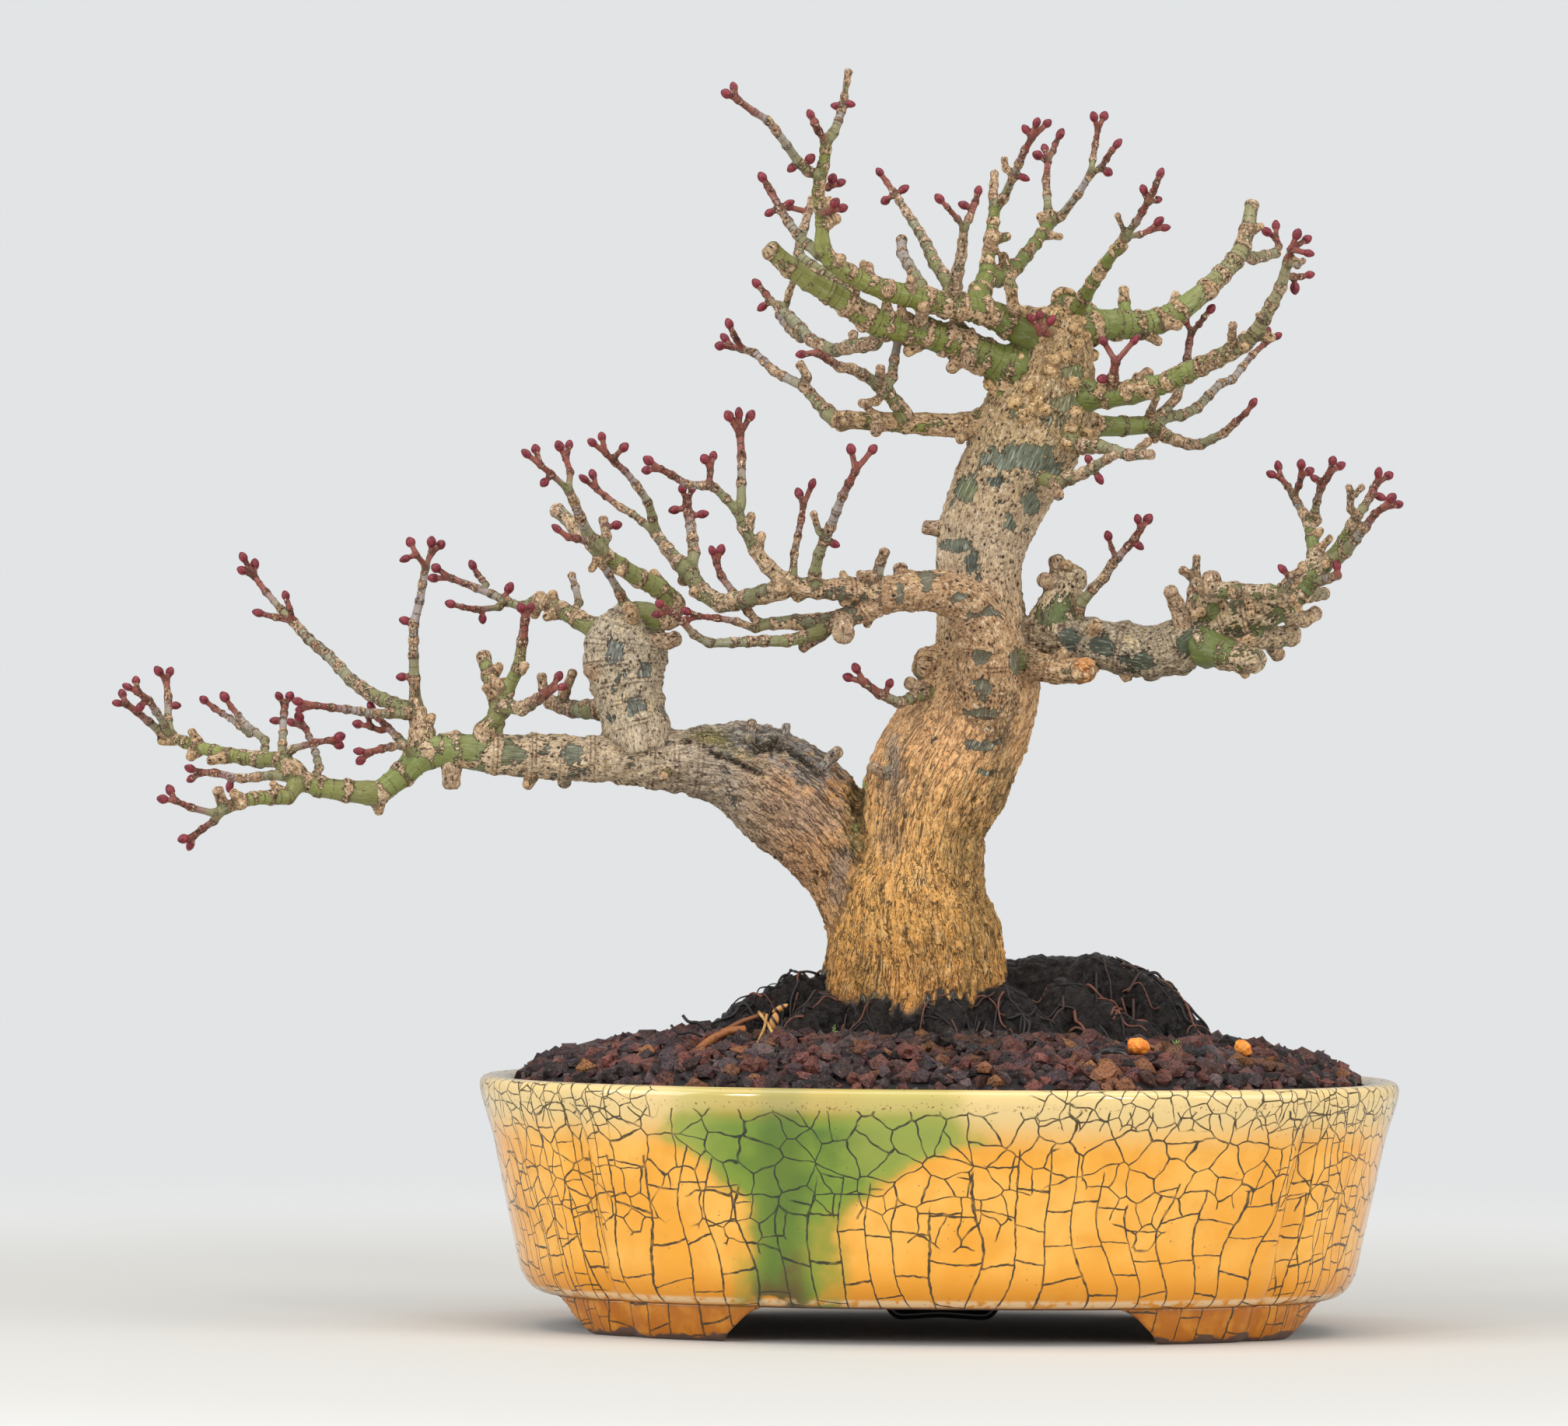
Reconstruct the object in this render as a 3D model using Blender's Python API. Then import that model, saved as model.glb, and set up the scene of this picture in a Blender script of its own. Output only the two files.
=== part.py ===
"""Shishigashira Japanese maple bonsai in winter, in a lobed pot with a crackle glaze.

Metres, +Z up. X runs along the pot's long side and -Y is the front. The pot stands on z = 0.
Limb routes are written in millimetres as seen from the front, with a depth for each limb's end.
"""

import bisect
import math

import bmesh
import bpy
from mathutils import Matrix, Vector, noise
from mathutils.bvhtree import BVHTree

# Driving dimensions of the pot
POT_X = 0.04765
RIM_HALF_LENGTH = 0.1182
LENGTH_LESS_DEPTH = 0.0312
RIM_HEIGHT = 0.0646
OUTLINE_POWER = 2.3
GROOVE_ANGLE = math.radians(38.8)
GROOVE_DEPTH = 0.0034
GROOVE_WIDTH = 0.0038
FLOOR_UNDERSIDE = 0.0085
FLOOR_TOP = 0.0142
FOOT_TOP = 0.0101
INNER_WALL = [(0.1098, 0.0612), (0.1070, 0.0450), (0.1020, 0.0200), (0.0960, FLOOR_TOP)]
DRAIN_RADIUS = 0.0125
WIRE_HOLE_RADIUS = 0.0021

# Driving dimensions of what fills the pot
TOUCH_GAP = 0.0003
SOIL_CROWN = 0.0760
SOIL_AT_RIM = 0.0617
GRIT_RELIEF = 0.0019
GRAIN = 0.0042
ROOT_BOTTOM = 0.0580
ROOT_MIDDLE_X = 0.0060
ROOT_HALF_LENGTH = 0.0665
ROOT_HALF_DEPTH = 0.0350
HOLE_SPARE = 0.0009
WALL_SPARE = 0.0006
ANCHOR_WIRE_RADIUS = 0.00125
CLIP_WIRE_RADIUS = 0.0008

# The viewpoint that the front view's routes are taken from
EYE_X = -40.6
EYE_HEIGHT = 158.0
EYE_DISTANCE = 2500.0

MM = 0.001
BUD_RADIUS = 1.25
FULL_TURN = 2 * math.pi

for old in list(bpy.data.objects):
    bpy.data.objects.remove(old, do_unlink=True)


def material(name, colour, roughness, metallic=0.0):
    """A Principled material; the colour is linear."""
    made = bpy.data.materials.new(name)
    made.use_nodes = True
    shader = made.node_tree.nodes["Principled BSDF"]
    shader.inputs["Base Color"].default_value = (*colour, 1.0)
    shader.inputs["Roughness"].default_value = roughness
    shader.inputs["Metallic"].default_value = metallic
    return made


def add_object(name, mesh, look=None):
    made = bpy.data.objects.new(name, mesh)
    bpy.context.scene.collection.objects.link(made)
    if look:
        mesh.materials.append(look)
    return made


def mesh_of_rings(name, rings):
    """One closed skin through rings of points that all have the same count."""
    bm = bmesh.new()
    loops = [[bm.verts.new(point) for point in ring] for ring in rings]
    count = len(loops[0])
    for low, high in zip(loops, loops[1:]):
        for i in range(count):
            j = (i + 1) % count
            bm.faces.new((low[i], low[j], high[j], high[i]))
    bm.faces.new(tuple(reversed(loops[0])))
    bm.faces.new(tuple(loops[-1]))
    bmesh.ops.recalc_face_normals(bm, faces=bm.faces)
    mesh = bpy.data.meshes.new(name)
    bm.to_mesh(mesh)
    bm.free()
    return mesh


def tube_mesh(name, stations, sides):
    """A round tube through (centre, radius) stations; a zero radius ends it in a point."""
    points = [Vector(centre) for centre, _ in stations]
    bm = bmesh.new()
    loops = []
    side = None
    for i, (_, radius) in enumerate(stations):
        ahead = points[min(i + 1, len(points) - 1)] - points[max(i - 1, 0)]
        ahead.normalize()
        if side is None:
            side = ahead.orthogonal()
        side = (side - ahead * side.dot(ahead)).normalized()
        up = ahead.cross(side)
        if radius == 0:
            loops.append([bm.verts.new(points[i])])
            continue
        ring = []
        for k in range(sides):
            turn = FULL_TURN * k / sides
            offset = side * math.cos(turn) + up * math.sin(turn)
            ring.append(bm.verts.new(points[i] + offset * radius))
        loops.append(ring)
    for low, high in zip(loops, loops[1:]):
        for k in range(sides):
            n = (k + 1) % sides
            if len(high) == 1:
                bm.faces.new((low[k], low[n], high[0]))
            else:
                bm.faces.new((low[k], low[n], high[n], high[k]))
    bm.faces.new(tuple(reversed(loops[0])))
    if len(loops[-1]) > 1:
        bm.faces.new(tuple(loops[-1]))
    bmesh.ops.recalc_face_normals(bm, faces=bm.faces)
    mesh = bpy.data.meshes.new(name)
    bm.to_mesh(mesh)
    bm.free()
    return mesh


def box(name, middle, size):
    bm = bmesh.new()
    bmesh.ops.create_cube(bm, size=1.0)
    bmesh.ops.scale(bm, verts=bm.verts, vec=size)
    bmesh.ops.translate(bm, verts=bm.verts, vec=middle)
    mesh = bpy.data.meshes.new(name)
    bm.to_mesh(mesh)
    bm.free()
    return add_object(name, mesh)


def cylinder(name, middle, radius, depth, sides=20):
    bm = bmesh.new()
    bmesh.ops.create_cone(
        bm, cap_ends=True, segments=sides, radius1=radius, radius2=radius, depth=depth
    )
    bmesh.ops.translate(bm, verts=bm.verts, vec=middle)
    mesh = bpy.data.meshes.new(name)
    bm.to_mesh(mesh)
    bm.free()
    return add_object(name, mesh)


def apply_modifiers(body):
    bpy.context.view_layer.update()
    graph = bpy.context.evaluated_depsgraph_get()
    result = bpy.data.meshes.new_from_object(body.evaluated_get(graph))
    body.modifiers.clear()
    old = body.data
    body.data = result
    bpy.data.meshes.remove(old)


def combine(body, others, operation, solver="EXACT"):
    """One Boolean with a collection of shapes, applied, and the shapes removed."""
    group = bpy.data.collections.new(body.name + "_shapes")
    bpy.context.scene.collection.children.link(group)
    for other in others:
        bpy.context.scene.collection.objects.unlink(other)
        group.objects.link(other)
    step = body.modifiers.new("combine", "BOOLEAN")
    step.operand_type = "COLLECTION"
    step.collection = group
    step.operation = operation
    step.solver = solver
    apply_modifiers(body)
    for other in others:
        bpy.data.objects.remove(other, do_unlink=True)
    bpy.data.collections.remove(group)


def round_off(body, angle=40):
    body.data.shade_smooth()
    body.data.set_sharp_from_angle(angle=math.radians(angle))


def outline_point(half_length, half_depth, angle):
    """A point of the pot's soft oblong outline."""
    c = math.cos(angle)
    s = math.sin(angle)
    power = 2 / OUTLINE_POWER
    x = half_length * math.copysign(abs(c) ** power, c)
    y = half_depth * math.copysign(abs(s) ** power, s)
    return x, y


def pot_angles():
    """Angles round the pot, closer together at the four grooves."""
    quarter = [0, 6, 14, 24, 33.5, 37.1, 38.8, 40.5, 44, 54, 66, 78, 90]
    angles = []
    for turn in range(4):
        for value in quarter:
            step = value if turn % 2 == 0 else 90 - value
            angles.append(math.radians(90 * turn + step))
    return sorted({round(angle % FULL_TURN, 6) for angle in angles})


def pot_ring(half_length, z, groove):
    """One level of the pot's skin; the four grooves run down it."""
    half_depth = half_length - LENGTH_LESS_DEPTH
    ring = []
    for angle in pot_angles():
        x, y = outline_point(half_length, half_depth, angle)
        corner = math.atan2(abs(math.sin(angle)), abs(math.cos(angle)))
        away = abs(corner - GROOVE_ANGLE) * math.hypot(x, y)
        dent = groove * GROOVE_DEPTH * math.exp(-((away / GROOVE_WIDTH) ** 2))
        inwards = Vector((x, y, 0)).normalized() * dent
        ring.append((POT_X + x - inwards.x, y - inwards.y, z))
    return ring


def foot_ring(name, levels):
    """A closed ring of the pot's outline through (half length, z) levels."""
    rings = [pot_ring(half, z, 0.6) for half, z in levels]
    return add_object(name, mesh_of_rings(name, rings))


def foot_gap(name, half_top, half_bottom, along_x):
    """A cutter with slanted ends that opens the foot ring between two feet."""
    reach = 0.2
    top = FLOOR_UNDERSIDE + 0.0001
    levels = [
        (-0.002, half_bottom),
        (0.0016, half_bottom - 0.0007),
        (0.0046, half_bottom - 0.0034),
        (0.0072, half_top + 0.0012),
        (top, half_top),
    ]
    rings = []
    for z, half in levels:
        corners = [(-half, -reach), (half, -reach), (half, reach), (-half, reach)]
        if not along_x:
            corners = [(y, -x) for x, y in corners]
        rings.append([(POT_X + x, y, z) for x, y in corners])
    return add_object(name, mesh_of_rings(name, rings))


def pot():
    """The glazed stoneware pot: wall, rolled rim, floor with holes, and four corner feet."""
    skin = [
        (0.0900, FLOOR_UNDERSIDE, 0.3),
        (0.0990, FLOOR_UNDERSIDE + 0.0004, 0.6),
        (0.1042, 0.0104, 0.9),
        (0.1064, 0.0124, 1.0),
        (0.1090, 0.0230, 1.0),
        (0.1116, 0.0350, 1.0),
        (0.1144, 0.0490, 0.9),
        (0.1168, 0.0570, 0.55),
        (RIM_HALF_LENGTH, 0.0632, 0.1),
        (0.1172, RIM_HEIGHT, 0.05),
        (0.1130, RIM_HEIGHT, 0.0),
        (0.1106, 0.0634, 0.0),
        *[(half, z, 0.0) for half, z in INNER_WALL],
    ]
    rings = [pot_ring(half, z, groove) for half, z, groove in skin]
    body = add_object("pot", mesh_of_rings("pot", rings), POT_LOOK)
    feet = foot_ring(
        "feet", [(0.0974, 0.0), (0.0988, 0.0014), (0.0999, 0.0046), (0.1012, FOOT_TOP)]
    )
    hollow = foot_ring("hollow", [(0.0830, -0.001), (0.0830, FLOOR_UNDERSIDE + 0.0001)])
    front_gap = foot_gap("front_gap", 0.0480, 0.0545, True)
    side_gap = foot_gap("side_gap", 0.0270, 0.0330, False)
    combine(feet, [hollow, front_gap, side_gap], "DIFFERENCE")
    combine(body, [feet], "UNION")
    middle = (FLOOR_UNDERSIDE + FLOOR_TOP) / 2
    holes = [cylinder("drain", (POT_X, 0, middle), DRAIN_RADIUS, 0.03, 24)]
    for x, y in WIRE_HOLES:
        holes.append(cylinder("wire_hole", (x, y, middle), WIRE_HOLE_RADIUS, 0.03, 10))
    combine(body, holes, "DIFFERENCE")
    round_off(body, 35)
    return body


def wall_ring(half_length, z, spare, angles):
    """A level just inside the pot's faceted wall; x is from the pot's middle."""
    wall = pot_ring(half_length, z, 0.0)
    corners = [*pot_angles(), FULL_TURN]
    wall.append(wall[0])
    ring = []
    for angle in angles:
        i = bisect.bisect(corners, angle) - 1
        share = (angle - corners[i]) / (corners[i + 1] - corners[i])
        here = Vector(wall[i]).lerp(Vector(wall[i + 1]), share) - Vector((POT_X, 0, 0))
        flat = Vector((here.x, here.y, 0))
        ring.append(here - flat.normalized() * spare)
    return ring


def root_radius(angle, swell=0.0):
    """Half-size of the root base in plan, lobed by its main roots."""
    lobes = 1 + 0.050 * math.sin(5 * angle + 0.7) + 0.020 * math.sin(8 * angle + 2.1)
    x = (ROOT_HALF_LENGTH * lobes + swell) * math.cos(angle)
    y = (ROOT_HALF_DEPTH * lobes + swell) * math.sin(angle)
    return x, y


def soil_height(x, y):
    """Mound of grit: level near the rim, rising to the root base. x is from the pot's middle."""
    half_length = INNER_WALL[0][0]
    half_depth = half_length - LENGTH_LESS_DEPTH
    across = abs(x / half_length) ** OUTLINE_POWER + abs(y / half_depth) ** OUTLINE_POWER
    out = min(1.0, across ** (1 / OUTLINE_POWER))
    return SOIL_AT_RIM + (SOIL_CROWN - SOIL_AT_RIM) * (1 - out**3.2) ** 0.8


def grit(x, y):
    """Height of the grains above the mound: rounded cells a grain apart."""
    cell = Vector((x / GRAIN, y / GRAIN, 0.37))
    distances, _ = noise.voronoi(cell)
    plain = 1.0
    for px, py, half in PELLETS:
        away = math.hypot(x - px, y - py)
        plain *= min(1.0, max(0.0, (away - 1.3 * half) / half))
    return GRIT_RELIEF * plain * (1.1 - 1.5 * min(1.0, distances[0]))


def soil():
    """Lava grit that fills the pot, with a plain hole that the root base stands in."""
    floor = FLOOR_TOP + TOUCH_GAP
    count = 96
    angles = [FULL_TURN * i / count for i in range(count)]
    hole = [root_radius(angle, HOLE_SPARE) for angle in angles]
    hole = [(x + ROOT_MIDDLE_X, y) for x, y in hole]
    top, *lower_walls = INNER_WALL
    edge = wall_ring(top[0], SOIL_AT_RIM, WALL_SPARE, angles)
    edge = [(point.x, point.y) for point in edge]
    bottom = ROOT_BOTTOM - TOUCH_GAP
    rings = [
        [(x * 0.5 + 0.003, y * 0.5, bottom) for x, y in hole],
        [(x, y, bottom) for x, y in hole],
    ]
    steps = 9
    for step in range(steps + 1):
        part = step / steps
        ring = []
        for (hx, hy), (ex, ey) in zip(hole, edge):
            wander = 0.25 / steps if 0 < step < steps else 0.0
            share = part + wander * noise.noise(Vector((hx * 900, hy * 900, step)))
            x = hx + (ex - hx) * share
            y = hy + (ey - hy) * share
            relief = 0.0 if step in (0, steps) else grit(x, y)
            ring.append((x, y, soil_height(x, y) + relief))
        rings.append(ring)
    for half, z in lower_walls:
        rings.append(wall_ring(half, max(z, floor), WALL_SPARE, angles))
    ring = [outline_point(0.03, 0.02, angle) for angle in angles]
    rings.append([(x, y, floor) for x, y in ring])
    rings = [[(POT_X + x, y, z) for x, y, z in ring] for ring in rings]
    body = add_object("soil", mesh_of_rings("soil", rings), SOIL_LOOK)
    room = [
        box("mesh_room", (POT_X, 0, floor), (0.0432, 0.0382, 0.0026)),
        box("clip_room", (POT_X, 0, floor), (0.0200, 0.0030, 0.0076)),
    ]
    for leg in (ANCHOR_ROUTE[:5], ANCHOR_ROUTE[12:]):
        spare = ANCHOR_WIRE_RADIUS + 0.0005
        stations = [(point, spare) for point in lengthened(leg, 0.0008)]
        room.append(add_object("wire_room", tube_mesh("wire_room", stations, 8)))
    combine(body, room, "DIFFERENCE")
    return body


def smooth_route(points, per_span):
    """Points on a Catmull-Rom curve through the given ones."""
    points = [Vector(point) for point in points]
    padded = [2 * points[0] - points[1], *points, 2 * points[-1] - points[-2]]
    made = []
    for i in range(1, len(padded) - 2):
        p0, p1, p2, p3 = padded[i - 1 : i + 3]
        for k in range(per_span):
            t = k / per_span
            made.append(
                0.5
                * (
                    2 * p1
                    + (p2 - p0) * t
                    + (2 * p0 - 5 * p1 + 4 * p2 - p3) * t**2
                    + (3 * p1 - p0 - 3 * p2 + p3) * t**3
                )
            )
    return [*made, points[-1]]


def lengthened(route, extra):
    """The route with both ends drawn out straight."""
    first = route[0] + (route[0] - route[1]).normalized() * extra
    last = route[-1] + (route[-1] - route[-2]).normalized() * extra
    return [first, *route[1:-1], last]


def wire(name, route, radius, look):
    stations = [(point, radius) for point in route]
    body = add_object(name, tube_mesh(name, stations, 6), look)
    round_off(body, 60)
    return body


def drain_mesh():
    """Plastic netting that lies over the drain hole under the soil."""
    low = FLOOR_TOP + TOUCH_GAP
    high = low + 0.0008
    body = box("drain_mesh", (POT_X, 0, (low + high) / 2), (0.0420, 0.0370, high - low))
    body.data.materials.append(NETTING_LOOK)
    openings = []
    for i in range(-2, 3):
        for j in range(-2, 3):
            spot = (POT_X + i * 0.0070, j * 0.0062, low)
            openings.append(box("opening", spot, (0.0048, 0.0042, 0.004)))
    combine(body, openings, "DIFFERENCE")
    return body


def skin_of(body):
    points = [vertex.co for vertex in body.data.vertices]
    return points, BVHTree.FromPolygons(points, [face.vertices for face in body.data.polygons])


def drop(body, ground):
    """Lowers a piece on to the ground, with the gap that touching pieces keep."""
    points, skin = skin_of(body)
    ground_points, ground_skin = skin_of(ground)
    down = Vector((0, 0, -1))
    falls = [ground_skin.ray_cast(point, down)[3] for point in points]
    falls += [skin.ray_cast(point, -down)[3] for point in ground_points]
    fall = min(fall for fall in falls if fall is not None) - TOUCH_GAP
    body.data.transform(Matrix.Translation(down * fall))


def pellet(name, x, y, half, ground):
    """A fertiliser pellet that lies on the grit."""
    bm = bmesh.new()
    bmesh.ops.create_icosphere(bm, subdivisions=2, radius=1.0)
    bmesh.ops.scale(bm, verts=bm.verts, vec=(half, half * 0.86, half * 0.74))
    bmesh.ops.translate(bm, verts=bm.verts, vec=(POT_X + x, y, SOIL_CROWN + 2 * half))
    mesh = bpy.data.meshes.new(name)
    bm.to_mesh(mesh)
    bm.free()
    body = add_object(name, mesh, PELLET_LOOK)
    drop(body, ground)
    round_off(body)
    return body


class Tree:
    """Collects the limbs and buds, then joins them into the one living piece."""

    def __init__(self):
        self.limbs = {}
        self.shapes = []

    def place(self, x, z, depth):
        """A front-view point moved along its line of sight to a depth."""
        far = (EYE_DISTANCE + depth) / EYE_DISTANCE
        seen_x = EYE_X + (x - EYE_X) * far
        seen_z = EYE_HEIGHT + (z - EYE_HEIGHT) * far
        return Vector((POT_X + seen_x * MM, depth * MM, seen_z * MM))

    def tube(self, stations, sides):
        name = f"limb_{len(self.shapes)}"
        self.shapes.append(add_object(name, tube_mesh(name, stations, sides)))

    def nearest(self, parent, x, z):
        """The parent's centre point, as seen from the front, that lies nearest."""
        route = self.limbs[parent]
        best = None
        for (ax, az, ad, ar), (bx, bz, bd, br) in zip(route, route[1:]):
            span = (bx - ax) ** 2 + (bz - az) ** 2
            t = ((x - ax) * (bx - ax) + (z - az) * (bz - az)) / span if span else 0.0
            t = min(1.0, max(0.0, t))
            spot = (ax + (bx - ax) * t, az + (bz - az) * t, ad + (bd - ad) * t)
            away = math.hypot(spot[0] - x, spot[1] - z)
            if best is None or away < best[0]:
                best = (away, spot, ar + (br - ar) * t)
        return best[1], best[2]

    def stem(self, name, stations):
        """A stem with its own width at each (x, z, radius, depth)."""
        self.limbs[name] = [(x, z, depth, radius) for x, z, radius, depth in stations]
        made = [(self.place(x, z, depth), r * MM) for x, z, r, depth in stations]
        widest = max(radius for _, _, radius, _ in stations)
        self.tube(made, 12 if widest > 12 else 9)

    def limb(self, name, parent, depth, girth, route, buds=(), side=()):
        """A limb that starts in its parent's middle and tapers along its route."""
        start, parent_radius = self.nearest(parent, *route[0])
        points = [(start[0], start[1]), *route]
        lengths = [0.0]
        for (ax, az), (bx, bz) in zip(points, points[1:]):
            lengths.append(lengths[-1] + math.hypot(bx - ax, bz - az))
        lengths[-1] = max(lengths[-1], 0.1)
        rows = []
        for (x, z), along in zip(points, lengths):
            share = along / lengths[-1]
            radius = girth[0] + (girth[1] - girth[0]) * share
            rows.append((x, z, start[2] + (depth - start[2]) * share, radius))
        rows[0] = (*rows[0][:3], min(girth[0], parent_radius) * 0.8)
        kept = thinned(rows)
        self.limbs[name] = kept
        sides = SIDES[bisect.bisect(SIDE_STEPS, girth[0])]
        self.tube([(self.place(x, z, d), r * MM) for x, z, d, r in kept], sides)
        for number, (x, z) in enumerate(buds):
            self.bud(rows[-1], x, z, (1.4 if number % 2 else -1.4) if len(buds) > 1 else 0.0)
        for x, z in side:
            spot, _ = self.nearest(name, x, z)
            self.bud((*spot, girth[1]), x, z, 0.0)

    def bud(self, base, x, z, sideways):
        """A pointed bud on a short stalk, from a limb's middle to its tip."""
        bx, bz, depth, radius = base
        start = self.place(bx, bz, depth)
        middle = self.place(x, z, depth + sideways)
        ahead = (middle - start).normalized()
        stalk = min(radius * 0.8, BUD_RADIUS * 0.7) * MM
        stations = [(start, stalk), (middle - ahead * 0.2 * MM, BUD_RADIUS * MM)]
        stations.append((middle + ahead * 1.5 * MM, 0.0))
        self.tube(stations, 3)

    def root_base(self):
        """The flared roots above the soil, on a plain plug that stands in the soil's hole."""
        levels = [
            (ROOT_BOTTOM, 1.0, 1.0, 0.0),
            (0.0735, 1.0, 1.0, 0.0),
            (0.0770, 0.955, 0.93, 0.0008),
            (0.0810, 0.875, 0.80, 0.0016),
            (0.0850, 0.775, 0.64, 0.0030),
            (0.0890, 0.650, 0.50, 0.0060),
            (0.0925, 0.470, 0.36, 0.0110),
            (0.0950, 0.270, 0.22, 0.0180),
        ]
        count = 36
        rings = []
        for z, length, depth, shift in levels:
            ring = []
            for i in range(count):
                x, y = root_radius(FULL_TURN * i / count)
                lump = noise.noise(Vector((x * 60, y * 60, z * 90)))
                swell = 0.0 if length == 1.0 else 0.0022 * lump
                ring.append(
                    (POT_X + ROOT_MIDDLE_X + shift + x * length, y * depth, z + swell)
                )
            rings.append(ring)
        self.shapes.append(add_object("root_base", mesh_of_rings("root_base", rings)))

    def join(self):
        body = self.shapes[0]
        body.name = "tree"
        body.data.materials.append(BARK_LOOK)
        combine(body, self.shapes[1:], "UNION", "MANIFOLD")
        round_off(body, 50)
        return body


def thinned(rows):
    """Leaves out route points that lie almost straight between their neighbours."""
    kept = [rows[0]]
    for here, after in zip(rows[1:], rows[2:]):
        x0, z0 = kept[-1][:2]
        run = math.hypot(after[0] - x0, after[1] - z0)
        off = abs((after[0] - x0) * (here[1] - z0) - (after[1] - z0) * (here[0] - x0))
        if run and off / run > BEND_KEPT:
            kept.append(here)
    kept.append(rows[-1])
    return kept


# Sides of a limb's tube for a start radius under each step, in millimetres
SIDE_STEPS = [1.45, 2.15, 3.4, 4.8]
SIDES = [3, 4, 5, 6, 8]
BEND_KEPT = 1.5


def trunks(tree):
    """The main trunk, the left stem and the stump-like sub-trunk on it."""
    tree.stem(
        "trunk",
        [
            (-6, 70, 27, 0), (-6.3, 84, 25, 0), (-6.3, 100, 22.3, 0), (-8, 110, 20.3, 0),
            (-6, 120, 16.8, 0), (-5.5, 130, 15.8, 0), (-1.8, 140, 18.4, 0),
            (3.3, 150, 17.2, 1), (8.6, 160, 15.9, 2), (11.4, 168, 15, 3),
            (10.6, 176, 12, 4), (9.6, 185, 10.4, 4), (9.1, 195, 10.6, 4),
            (10, 205, 11.9, 4), (13, 212, 12.2, 3), (17, 220, 13, 2), (21.5, 230, 14.4, 1),
            (25.5, 238, 13.4, 0), (28, 246, 11, 0), (29.5, 254, 9, 0), (30.2, 260, 6.5, 0),
            (31, 264, 3.4, 0),
        ],
    )
    tree.stem(
        "left",
        [
            (-15, 92, 10.5, 0), (-19.2, 110, 11.3, 1), (-24, 121.5, 13, 3),
            (-33.3, 132, 14.3, 5), (-40.5, 137.4, 14.8, 5), (-50.6, 144, 12.4, 3),
            (-63.5, 145.5, 8.4, 0), (-75, 145.5, 6.3, -2), (-90, 146, 5.3, -3),
            (-105, 146.7, 5.4, -4), (-115, 146.6, 4.7, -5), (-125, 147.5, 4.6, -6),
            (-133, 148, 4.1, -7), (-138.5, 141, 3.1, -8), (-145, 136.5, 2.9, -10),
        ],
    )
    tree.stem(
        "sub",
        [
            (-77, 147, 8, -2), (-78.5, 154, 8.4, -1), (-80.5, 160, 7.6, 0),
            (-80.8, 165, 8.2, 0), (-82, 170, 10.6, 1), (-82, 175, 11.4, 1),
            (-80.5, 180, 9.2, 1), (-79.5, 183, 5, 1),
        ],
    )


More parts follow.
